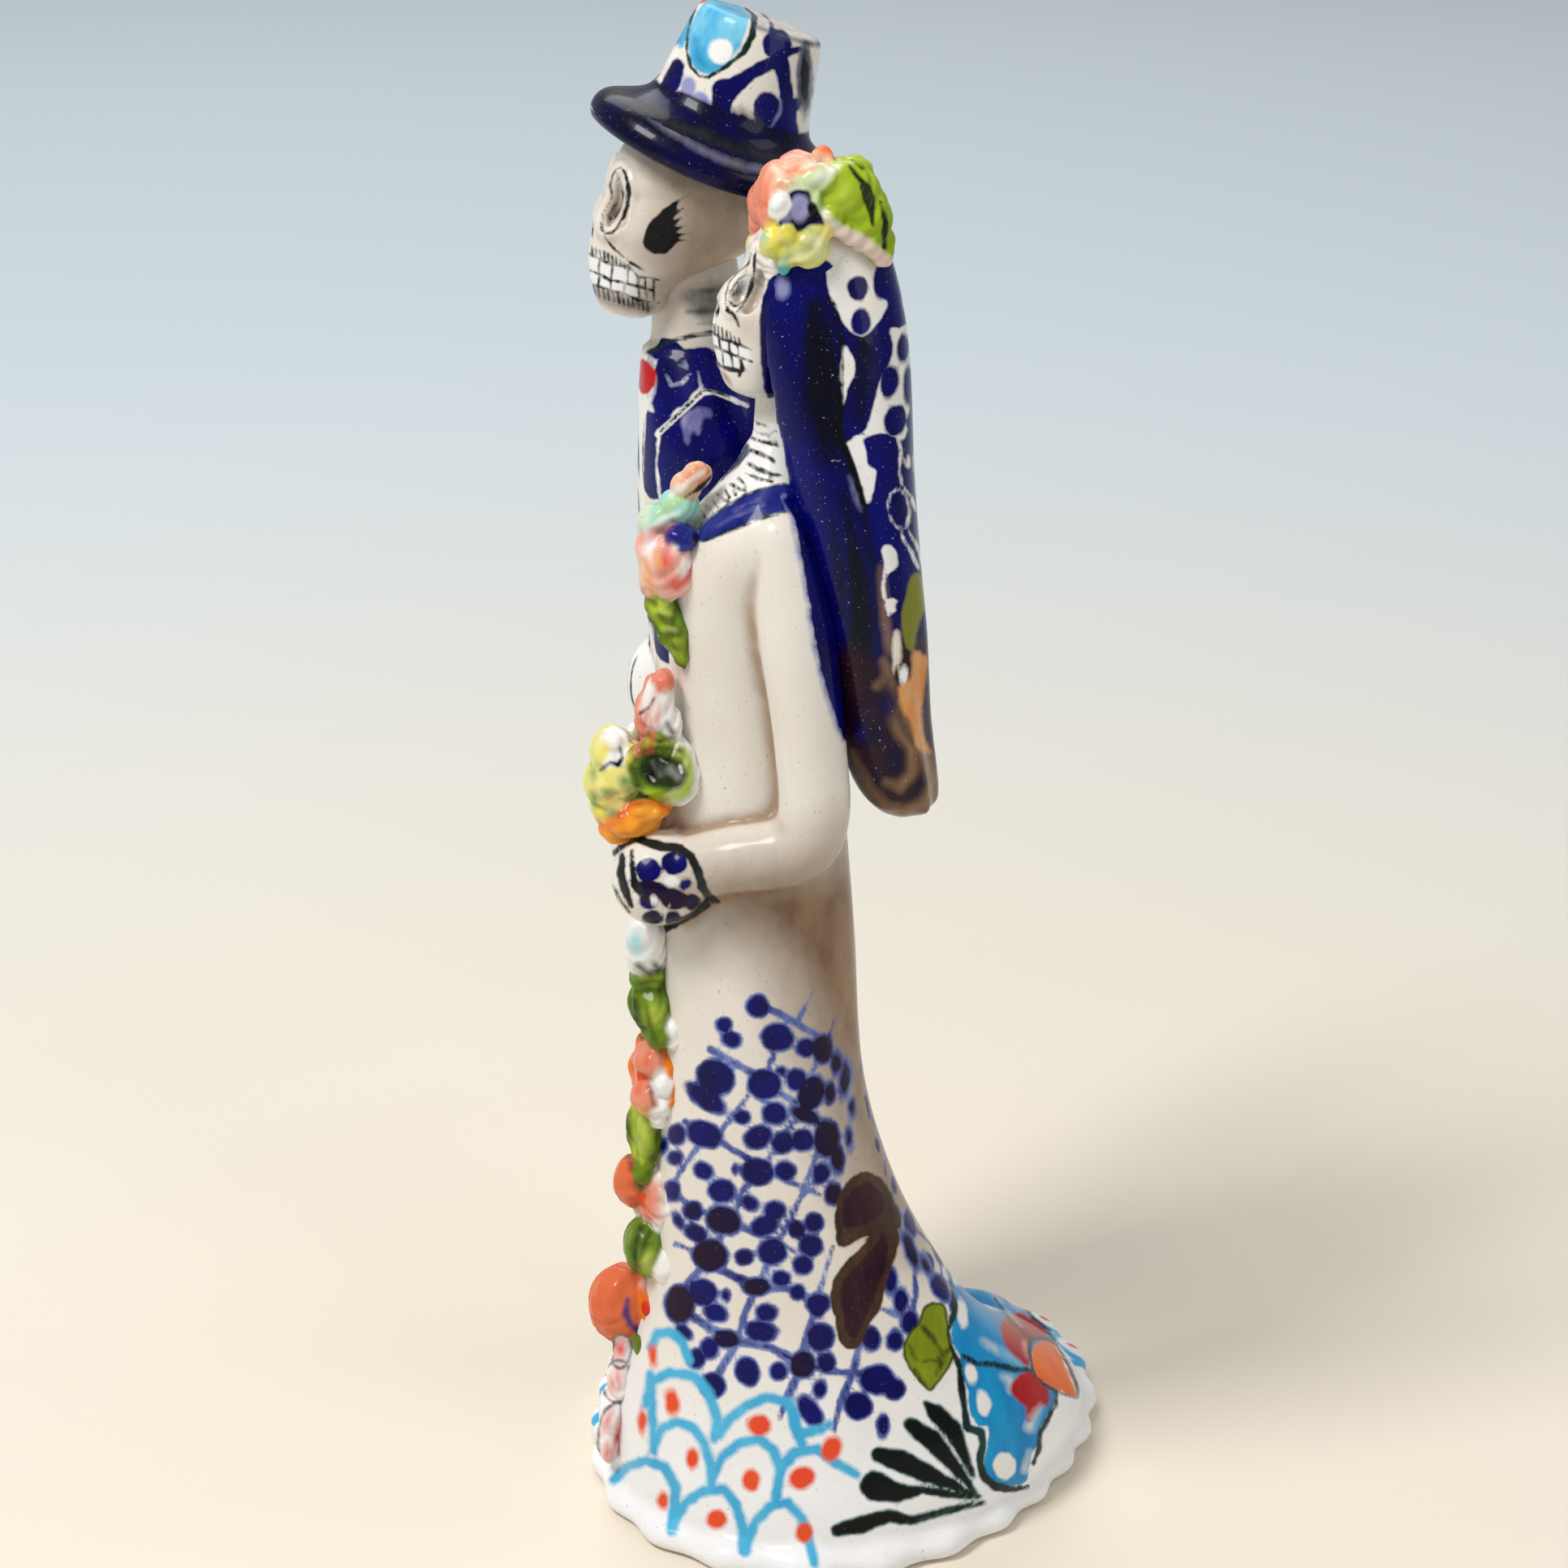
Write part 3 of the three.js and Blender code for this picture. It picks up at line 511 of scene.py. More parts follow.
class Posy:
    """Clay flowers, leaves and buds that share one piece. Each form keeps its own unit-ball coordinates,
    which tell the brush how far along and across the petal or leaf a point lies."""

    def __init__(self):
        self.forms, self.spots, self.brushes = [], [], []

    def add(self, middle, axes, radii, brush, shape=None):
        points, faces = skin(unit_ball(44, 30))
        local = points.copy()
        if shape:
            points = shape(points.copy())
        self.forms.append((points * radii @ np.asarray(axes) + middle, faces))
        self.spots.append(local)
        self.brushes.append(brush)

    def bud(self, middle, radii, brush, tilt=(0, 0, 0)):
        self.add(middle, turned(tilt).T, radii, brush)

    def cluster(self, brush, *lumps, mirror=None):
        """Pinched lumps of clay [x, y, z, radius along X, along Y, along Z], on both sides of a mirror X.
        The ones on the far side sit lower by FAR_SINK."""
        for x, y, z, *radii in lumps:
            self.bud((x, y, z), radii, brush)
            if mirror is not None and abs(x - mirror) > 0.5:
                self.bud((2 * mirror - x, y, z - FAR_SINK), radii, brush)

    def cup(self, middle, outward, radii, brush, depth):
        """A round of clay pressed in at its outward face."""
        def pressed(p):
            hollow = depth * np.exp(-(p[:, 0] ** 2 + p[:, 1] ** 2) / 0.30) * (p[:, 2] > 0)
            return np.stack([p[:, 0], p[:, 1], p[:, 2] * (1 - hollow)], -1)
        self.add(middle, facing(outward), radii, brush, pressed)

    def leaf(self, stem, tip, width, outward, brush, thickness=5.4, bend=0.0):
        """A pointed leaf from its stem to its tip."""
        stem, tip = np.array(stem, float), np.array(tip, float)
        heading = (tip - stem) / np.linalg.norm(tip - stem)
        across = np.cross(outward, heading)
        across /= np.linalg.norm(across)
        face = np.cross(heading, across)

        def bladed(p):
            # a pointed blade with a sunken rib and lobed sides, bowed sideways by bend
            t = (p[:, 2] + 1) / 2
            blade = np.maximum(0.02, np.sin(math.pi * np.clip(t, 0, 1) ** 0.8)) ** 0.75
            taper = blade / np.maximum(0.25, np.sqrt(np.maximum(0, 1 - p[:, 2] ** 2)))
            ripple = 1 + 0.10 * np.cos(7 * math.pi * t) * np.abs(p[:, 0])
            furrow = 1 - 0.42 * np.exp(-(p[:, 0] / 0.22) ** 2) * (p[:, 1] > 0)
            bow = bend * (p[:, 2] ** 2 - 0.5)
            return np.stack([p[:, 0] * taper * ripple + bow, p[:, 1] * taper * furrow, p[:, 2]], -1)

        length = np.linalg.norm(tip - stem)
        self.add((stem + tip) / 2, (across, face, heading), (width / 2, thickness / 2, length / 2), brush,
                 bladed)

    def flower(self, middle, outward, width, roll, petal_brush, heart_brush, seed, petals=5):
        """Cupped petals round a heart, no two quite alike."""
        side, up, out = facing(outward, roll)
        middle = np.array(middle, float)
        reach = width / 2
        chance = np.random.default_rng(seed)
        for number in range(petals):
            turn = TAU * (number + 0.5 + chance.uniform(-0.12, 0.12)) / petals
            away = side * math.cos(turn) + up * math.sin(turn)
            across = np.cross(out, away)
            lift = out + chance.uniform(0.1, 0.6) * away
            lift /= np.linalg.norm(lift)
            along = np.cross(across, lift)

            def cupped(p):
                # dished towards the heart, with a rolled rim
                r2 = p[:, 0] ** 2 + p[:, 1] ** 2
                dish = -0.5 * np.exp(-r2 / 0.34) * (p[:, 2] > 0)
                return np.stack([p[:, 0], p[:, 1], p[:, 2] * (1 + dish)], -1)

            size = chance.uniform(0.40, 0.52)
            self.add(middle + away * reach * 0.57 - out * reach * 0.10, (across, -along, lift),
                     (reach * size, reach * 0.47, reach * 0.29), petal_brush, cupped)
        self.add(middle - out * reach * 0.12, (side, up, out), (reach * 0.6, reach * 0.6, reach * 0.26),
                 petal_brush)
        self.add(middle + out * reach * 0.10, (side, up, out), (reach * 0.25, reach * 0.25, reach * 0.22),
                 heart_brush)

    def fuse(self, name):
        """The piece, with each point painted by the brush of the form that it lies on."""
        piece = fuse(name, self.forms, 0.42, 3)
        surface = Surface(piece)
        starts = np.cumsum([0] + [len(points) for points, _ in self.forms])
        points = np.vstack([points for points, _ in self.forms])
        faces = np.vstack([faces + start for (_, faces), start in zip(self.forms, starts)])
        locals_ = np.vstack(self.spots)
        owner = np.repeat(np.arange(len(self.forms)), [len(faces) for _, faces in self.forms])
        tree = BVHTree.FromPolygons(points.tolist(), faces.tolist())
        found = [tree.find_nearest(point) for point in surface.points.tolist()]
        index = np.array([hit[2] for hit in found])
        at = np.array([hit[0] for hit in found])
        a, b, c = (points[faces[index, k]] for k in range(3))
        whole = np.maximum(1e-9, np.linalg.norm(np.cross(b - a, c - a), axis=1))
        wa = np.linalg.norm(np.cross(b - at, c - at), axis=1) / whole
        wb = np.linalg.norm(np.cross(c - at, a - at), axis=1) / whole
        spot = sum(w[:, None] * locals_[faces[index, k]] for k, w in enumerate((wa, wb, 1 - wa - wb)))
        for number, brush in enumerate(self.brushes):
            mine = owner[index] == number
            if mine.any():
                surface.tint[mine] = brush(spot[mine])
        # the glaze colours run a little into each other
        ends = edges_of(surface.mesh)
        for _ in range(2):
            surface.tint = 0.4 * surface.tint + 0.6 * averaged(surface.tint, ends)
        surface.press(thumb_marks(surface.points))
        # painted shade: the flowers are darker and browner in the creases between their lumps
        crease_shade = np.clip(surface.hollow(6) * 2.4, 0, 0.6)[:, None]
        surface.tint = surface.tint * (1 - crease_shade) + surface.tint * CREASE_SHADE * crease_shade
        return surface


def thumb_marks(points):
    """Low dents and swellings a few millimetres apart, in millimetres."""
    x, y, z = points.T
    broad = 0.22 * np.sin(1.3 * x + 0.7 * z) * np.sin(1.1 * y - 0.9 * z + 1)
    return broad + 0.14 * np.sin(2.3 * x - 1.7 * y + 1.9 * z)


def blended(one, other, share):
    """A colour on the way from one to the other, with its share at each point."""
    share = np.clip(share, 0, 1)[:, None]
    return np.asarray(one) * (1 - share) + np.asarray(other) * share


def petal_brush(body, edge, heart, rim):
    """A petal's paint: its body, a second colour to the tip, a third at the heart, and a dark rim."""
    def brush(p):
        colour = blended(body, edge, (-p[:, 1] + 0.15) * 1.4)
        colour = blended(colour, heart, (p[:, 1] + 0.1) * 1.6)
        return blended(colour, rim, np.clip(1.6 - np.abs(p[:, 2] + 0.12) * 8, 0, 1) * 0.85)
    return brush


def bud_brush(body):
    """A bud's paint, all in one colour."""
    def brush(p):
        return np.tile(np.asarray(body, float), (len(p), 1))
    return brush


def leaf_brush(body, light, dark=MOSS):
    """A leaf's paint: a painted highlight down the middle, darker at the edges, with dark strokes and a
    dark rib.
    """
    def brush(p):
        colour = blended(light, body, np.abs(p[:, 0]) * 1.5 - 0.2 + 0.35 * np.sin(5 * p[:, 2] + 2))
        veins = np.clip(np.sin((p[:, 2] * 2.6 + np.abs(p[:, 0]) * 1.5) * math.pi) * 2.2 - 1.3, 0, 1) * 0.75
        rib = np.clip(1 - np.abs(p[:, 0]) * 8, 0, 1) * (p[:, 1] > 0) * 0.8
        edge = np.clip(1.2 - np.abs(p[:, 1]) * 5, 0, 1) * 0.7
        return blended(colour, dark, np.maximum.reduce([veins, rib, edge]))
    return brush


# Paint

class Surface:
    """The skin of a piece while it is painted."""

    def __init__(self, piece):
        self.piece, self.mesh = piece, piece.data
        self.points = corners_of(self.mesh)
        normals = np.zeros(len(self.points) * 3)
        self.mesh.vertices.foreach_get("normal", normals)
        self.normals = normals.reshape(-1, 3)
        self.tint = np.tile(np.array(IVORY), (len(self.points), 1))
        self.layers = []

    def hollow(self, rounds=12):
        """How deep in a crease each point lies, in millimetres."""
        ends = edges_of(self.mesh)
        level = self.points
        for _ in range(rounds):
            level = level + 0.5 * (averaged(level, ends) - level)
        return ((level - self.points) * self.normals).sum(1)

    def press(self, height):
        """Raises the skin along its own normals, in millimetres."""
        self.points = self.points + self.normals * height[:, None]
        self.mesh.vertices.foreach_set("co", (self.points * MM).ravel())
        self.mesh.update()

    def lay(self, deep, thin, outside, soft=0.35, cover=1.0):
        """Paints where outside, in millimetres, is below zero."""
        name = f"mark_{len(self.layers)}"
        attribute = self.mesh.attributes.new(name, "FLOAT", "POINT")
        attribute.data.foreach_set("value", np.clip(outside, -4, 4).astype(np.float32))
        self.layers.append((name, deep, thin, soft, cover))

    def finish(self, name, stars=0.0):
        """Stores the tint and gives the piece its painted glaze."""
        colour = self.mesh.attributes.new("tint", "FLOAT_COLOR", "POINT")
        colour.data.foreach_set("color", np.hstack([self.tint, np.ones((len(self.tint), 1))]).ravel())
        self.mesh.materials.clear()
        self.mesh.materials.append(glaze(name, self.layers, stars))
        self.mesh.update()


class Easel:
    """A window of the photograph's view laid over a surface, so that a mark goes where the photograph shows
    it, on the skin that faces its camera. With a middle, the marks are mirrored about that X to the far
    side. u and v are each point's place in the window, and off is zero where the point can be painted."""

    def __init__(self, surface, window, facing=0.04, middle=None):
        left, top, zoom = window
        back = sight_back()
        right = np.array([math.cos(SIGHT_TURN), math.sin(SIGHT_TURN), 0])
        points, normals = surface.points, surface.normals
        if middle is not None:
            # the far side of the figure is painted as the near side is
            points, normals = points.copy(), normals.copy()
            far = points[:, 0] < middle
            points[far, 0], normals[far, 0] = 2 * middle - points[far, 0], -normals[far, 0]
        away = points - SIGHT_TARGET - back * SIGHT_REACH
        depth = -away @ back
        self.u = (PHOTO_SIDE / 2 + PHOTO_FOCAL * (away @ right) / depth - left) * zoom
        self.v = (PHOTO_SIDE / 2 - PHOTO_FOCAL * (away @ np.cross(back, right)) / depth - top) * zoom
        self.step = zoom / PX
        self.turned = -(away * normals).sum(1) / np.linalg.norm(away, axis=1)
        self.off = only(self.turned > facing)

    def ovals(self, *rows):
        """Painted ovals [x, y, radius across, radius down, turn in degrees]."""
        return np.minimum.reduce([oval(self.u, self.v, *row) for row in rows]) / self.step + self.off

    def strokes(self, *lines):
        """Brush strokes, each a line of [x, y, half width]."""
        return np.minimum.reduce([stroke(self.u, self.v, line) for line in lines]) / self.step + self.off

    def patch(self, *points):
        """A painted area inside a smooth closed line of [x, y]."""
        return patch(self.u, self.v, points) / self.step + self.off


def only(where):
    """Zero where a mark may be painted, and far outside it elsewhere."""
    return np.where(where, 0.0, AWAY)


def oval(u, v, x, y, across, down=None, turn=0):
    """How far outside a painted oval each point is."""
    down = down or across
    cosine, sine = math.cos(math.radians(turn)), math.sin(math.radians(turn))
    du, dv = u - x, v - y
    reach = np.hypot((du * cosine + dv * sine) / across, (dv * cosine - du * sine) / down)
    return (reach - 1) * min(across, down)


def stroke(u, v, line):
    """How far outside a brush stroke through [x, y, half width] each point is."""
    nearest = np.full(len(u), 1e9)
    line = [row if len(row) > 2 else (*row, line[0][2]) for row in line]
    for (x, y, width), (next_x, next_y, next_width) in zip(line, line[1:]):
        along_x, along_y = next_x - x, next_y - y
        length = max(1e-9, along_x ** 2 + along_y ** 2)
        t = np.clip(((u - x) * along_x + (v - y) * along_y) / length, 0, 1)
        away = np.hypot(u - x - t * along_x, v - y - t * along_y) - width - (next_width - width) * t
        nearest = np.minimum(nearest, away)
    return nearest


def patch(u, v, points):
    """How far outside a closed painted area each point is, below zero inside it."""
    points = np.asarray(points, float)
    ring = spline(np.vstack([points[-1:], points, points[:2]]), (len(points) + 2) * 5 + 1)[5:-5]
    inside = np.zeros(len(u), bool)
    nearest = np.full(len(u), 1e18)
    for (x, y), (next_x, next_y) in zip(ring, ring[1:]):
        along_x, along_y = next_x - x, next_y - y
        t = np.clip(((u - x) * along_x + (v - y) * along_y) / max(1e-9, along_x ** 2 + along_y ** 2), 0, 1)
        nearest = np.minimum(nearest, (u - x - t * along_x) ** 2 + (v - y - t * along_y) ** 2)
        crossed = (y > v) != (next_y > v)
        if abs(along_y) > 1e-9:
            inside ^= crossed & (u < x + (v - y) * along_x / along_y)
    return np.sqrt(nearest) * np.where(inside, -1, 1)


# Materials

class Tone:
    """A socket of a material, so that sums of sockets are written as sums."""

    def __init__(self, recipe, socket):
        self.recipe, self.socket = recipe, socket

    def _sum(self, operation, one, other, clamp=False):
        settings = {"operation": operation, "use_clamp": clamp}
        return self.recipe.node("ShaderNodeMath", settings, {0: one, 1: other})

    def __add__(self, other):
        return self._sum("ADD", self, other)

    def __sub__(self, other):
        return self._sum("SUBTRACT", self, other)

    def __rsub__(self, other):
        return self._sum("SUBTRACT", other, self)

    def __mul__(self, other):
        return self._sum("MULTIPLY", self, other)

    __radd__, __rmul__ = __add__, __mul__

    def held(self):
        """The value kept between 0 and 1."""
        return self._sum("ADD", self, 0.0, True)


class Recipe:
    """The nodes of one material."""

    def __init__(self, name):
        self.material = bpy.data.materials.new(name)
        self.material.use_nodes = True
        self.tree = self.material.node_tree
        self.tree.nodes.clear()

    def node(self, kind, settings=None, sockets=None, out=0):
        made = self.tree.nodes.new(kind)
        for key, value in (settings or {}).items():
            setattr(made, key, value)
        for key, value in (sockets or {}).items():
            if isinstance(value, Tone):
                self.tree.links.new(value.socket, made.inputs[key])
            else:
                made.inputs[key].default_value = value
        return Tone(self, made.outputs[out]) if len(made.outputs) else None

    def mixed(self, share, one, other, blend="MIX"):
        # sockets 6 and 7 and output 2 are the ones that carry a colour
        one, other = (c if isinstance(c, Tone) else (*c, 1.0) for c in (one, other))
        settings = {"data_type": "RGBA", "blend_type": blend}
        return self.node("ShaderNodeMix", settings, {0: share, 6: one, 7: other}, 2)

    def noise(self, scale, detail=2.0, roughness=0.5, stretch=None):
        # output 3 is the place on the object
        place = self.node("ShaderNodeTexCoord", out=3)
        if stretch:
            place = self.node("ShaderNodeVectorMath", {"operation": "MULTIPLY"}, {0: place, 1: stretch})
        return self.node("ShaderNodeTexNoise", {}, {
            "Vector": place, "Scale": scale, "Detail": detail, "Roughness": roughness})


def glaze(name, layers, stars):
    """Glossy tin glaze over the tint, with a brushed layer of pigment for each mark and, where stars is
    above zero, pale dots in the pigment."""
    recipe = Recipe(name)
    colour = recipe.node("ShaderNodeAttribute", {"attribute_name": "tint"}, out=0)
    cloud = recipe.noise(60, 4)
    grain = recipe.noise(420, 3)
    streak = recipe.noise(170, 3, 0.6, (1.0, 1.0, 0.45))
    wobble = (grain - 0.5) * 0.9
    shaded = recipe.mixed(1.0, colour, CLOUD_SHADE, "MULTIPLY")
    colour = recipe.mixed((cloud * 1.6 - 0.65).held() * 0.35, colour, shaded)
    covered = None
    for mark, deep, thin, soft, cover in layers:
        outside = recipe.node("ShaderNodeAttribute", {"attribute_name": mark}, out=2)
        mask = (0.5 - (outside + wobble) * (1 / soft)).held()
        pigment = recipe.mixed((streak * 2.6 - 0.85).held(), deep, thin)
        colour = recipe.mixed(mask * cover, colour, pigment)
        if covered is None:
            covered = mask
        else:
            covered = recipe.node("ShaderNodeMath", {"operation": "MAXIMUM"}, {0: covered, 1: mask})
    specks = ((recipe.noise(1500, 1) - 0.70) * 9.0).held() * SPECKLE
    colour = recipe.mixed(specks, colour, IRON_SPECK)
    if stars:
        dots = ((recipe.noise(1700, 1) - 0.73) * 14.0).held() * stars
        colour = recipe.mixed(dots * covered, colour, PALE_DOT)
    wave = recipe.noise(110, 2) + grain * 0.12
    bump = recipe.node("ShaderNodeBump", {}, {"Strength": 0.16, "Distance": 0.0012, "Height": wave})
    shader = recipe.node("ShaderNodeBsdfPrincipled", {}, {
        "Base Color": colour, "Roughness": cloud * 0.12 + GLAZE_ROUGHNESS, "Normal": bump, "IOR": 1.5,
        "Coat Weight": 0.17, "Coat Roughness": 0.04, "Coat IOR": 1.5, "Specular IOR Level": 0.09})
    recipe.node("ShaderNodeOutputMaterial", {}, {"Surface": shader})
    return recipe.material


# Painting the pieces

def ground(surface, shade=1.0):
    """Warm ivory, with painted shade: browner and darker in creases."""
    depth = np.clip(surface.hollow() * 3.0 * shade, 0, 0.78)[:, None]
    surface.tint = surface.tint * (1 - depth) + np.asarray(UMBER) * depth


def skirt_window(surface):
    """The window on the skirt's side, closed where a mark would go through to the groom's side."""
    look = Easel(surface, SKIRT)
    look.off = look.off + only(surface.points[:, 0] > 4)
    return look


def paint_skirt(surface):
    """The blotted blue net on the side of the skirt, with its aubergine flower."""
    look = skirt_window(surface)
    net_strokes = [
        [(510, 128, 8), (580, 165, 9), (640, 200, 7), (668, 245, 5)], [(632, 84, 1), (592, 158, 6)],
        [(683, 165, 1), (664, 218, 6)], [(365, 236, 10), (470, 295, 9), (505, 326, 7)],
        [(540, 225, 7), (510, 292, 5)], [(640, 268, 4), (600, 345, 5)],
        [(505, 326, 8), (600, 380, 9), (660, 442, 9)], [(466, 350, 5), (395, 442, 6)],
        [(605, 385, 7), (540, 480, 6), (505, 528, 5)],
        [(300, 420, 6), (350, 452, 8), (400, 480, 7), (488, 530, 8), (560, 572, 6), (642, 606, 6)],
        [(330, 490, 6), (292, 545, 6), (262, 592, 5)],
        [(663, 470, 7), (635, 512, 6), (606, 600, 7), (562, 690, 6), (528, 752, 8)],
        [(265, 598, 8), (320, 640, 7), (400, 675, 9), (500, 716, 7), (548, 735, 6), (600, 768, 5)],
        [(488, 560, 8), (445, 600, 6), (430, 660, 6), (400, 700, 8)],
        [(276, 735, 6), (312, 750, 5), (365, 768, 8)],
        [(400, 700, 9), (366, 770, 9), (312, 830, 9), (282, 892, 9)],
        [(681, 740, 2), (655, 830, 6), (640, 890, 9), (610, 980, 9), (602, 1046, 12), (562, 1130, 9),
         (545, 1182, 6)],
        [(525, 756, 9), (490, 840, 8), (460, 900, 8), (432, 990, 9), (372, 1096, 11)],
        [(365, 790, 9), (485, 845, 12), (560, 850, 9), (642, 888, 9)],
        [(286, 902, 13), (350, 940, 10), (405, 980, 12), (520, 1002, 10), (603, 1046, 14), (700, 1066, 8),
         (784, 1066, 9)],
        [(752, 960, 6), (735, 1060, 9), (700, 1140, 9), (682, 1214, 5)],
        [(802, 900, 6), (850, 920, 7), (875, 935, 8), (894, 870, 5), (890, 790, 4)],
        [(900, 772, 5), (962, 862, 6)], [(720, 440, 3), (735, 488, 2)]]
    lines = look.strokes(*net_strokes)
    net_dots = [
        (487, 125, 29), (400, 173, 20), (420, 210, 26, 20, 15), (537, 205, 42, 36), (612, 232, 24),
        (378, 308, 50, 44, 25), (505, 326, 42, 39), (546, 293, 12), (587, 314, 27), (355, 362, 56, 26, 34),
        (446, 410, 21, 18), (530, 400, 32, 29), (488, 462, 37, 28, -20), (552, 475, 27, 28),
        (602, 470, 31, 28), (350, 454, 48, 33, 22), (280, 455, 22, 26), (275, 515, 20, 18),
        (245, 482, 10, 18), (348, 548, 27, 20, 35), (395, 600, 34, 29, 20), (488, 550, 42, 34),
        (557, 547, 26, 24), (650, 555, 21, 29, 30), (268, 598, 19, 26), (468, 630, 23, 19, 20),
        (530, 650, 28, 25), (505, 688, 36, 26, -22), (320, 650, 25, 23), (282, 675, 11, 22, -30),
        (328, 708, 29, 21, 32), (588, 698, 20, 22), (632, 682, 23, 25), (623, 740, 29, 28),
        (525, 755, 36, 34), (452, 770, 23, 19), (603, 790, 24, 26), (545, 825, 24, 21), (590, 860, 20),
        (345, 860, 38, 34, 35), (405, 868, 11, 14), (380, 912, 31, 23, 12), (510, 912, 27, 22),
        (495, 960, 42, 26, 8), (648, 975, 34, 37), (642, 888, 31, 26), (298, 962, 23, 15, 50),
        (330, 1030, 22, 25), (365, 1003, 24, 27), (460, 1063, 30, 37, -25), (541, 1063, 22),
        (663, 1040, 23, 27), (372, 1100, 32, 32), (647, 1108, 16, 24), (622, 1166, 25, 46, -35),
        (778, 980, 24, 31), (840, 982, 20, 27), (795, 1085, 46, 38), (838, 1108, 27), (745, 1152, 35),
        (808, 1203, 15, 26), (855, 882, 19, 32), (827, 830, 17, 34), (955, 848, 20, 36, -28),
        (876, 937, 22, 30), (430, 544, 8, 12), (640, 905, 20)]
    dots = look.ovals(*net_dots)
    dark_dots = [
        (652, 235, 26, 37), (690, 270, 13, 29), (625, 348, 34, 48, 22), (671, 348, 15, 27),
        (712, 312, 15, 46, 6), (610, 405, 44, 19, 22), (663, 465, 33, 48), (692, 518, 17, 37),
        (728, 385, 9, 23), (680, 605, 21, 31), (400, 675, 47, 37, 20), (365, 765, 45, 42),
        (485, 845, 36, 24), (286, 890, 39, 48), (405, 980, 36, 24), (603, 1046, 34, 36),
        (880, 752, 15, 50, -20), (722, 465, 8, 24), (920, 790, 10, 30, -25)]
    dark = look.ovals(*dark_dots)
    blots = np.minimum(dots, dark)
    surface.lay(BLUE, SKY, np.minimum(blots - 0.35, lines - 0.12), 0.5)
    surface.lay(NAVY, COBALT, np.minimum(dots, lines + 0.5) + 0.08, 0.5)
    surface.lay(AUBERGINE, NAVY, dark + 0.1, 0.5)

    upper_petal = [
        (766, 552), (812, 580), (842, 640), (850, 690), (800, 712), (755, 716), (702, 742), (690, 700),
        (694, 630), (722, 575)]
    upper = look.patch(*upper_petal)
    lower_petal = [
        (838, 690), (846, 740), (820, 820), (800, 900), (770, 940), (752, 985), (728, 1004), (700, 985),
        (690, 930), (676, 880), (688, 822), (720, 778), (762, 738), (800, 700)]
    lower = look.patch(*lower_petal)
    surface.lay(DARK_BROWN, BROWN, np.minimum(upper, lower) - 0.25, 0.45)
    upper_heart = [
        (768, 578), (802, 600), (812, 640), (790, 672), (745, 690), (712, 690), (704, 640), (730, 596)]
    lower_heart = [
        (812, 705), (820, 760), (795, 850), (768, 915), (740, 975), (712, 960), (704, 900), (700, 850),
        (730, 800), (778, 752)]
    surface.lay(AUBERGINE, MAROON, np.minimum(look.patch(*upper_heart), look.patch(*lower_heart)), 0.5)


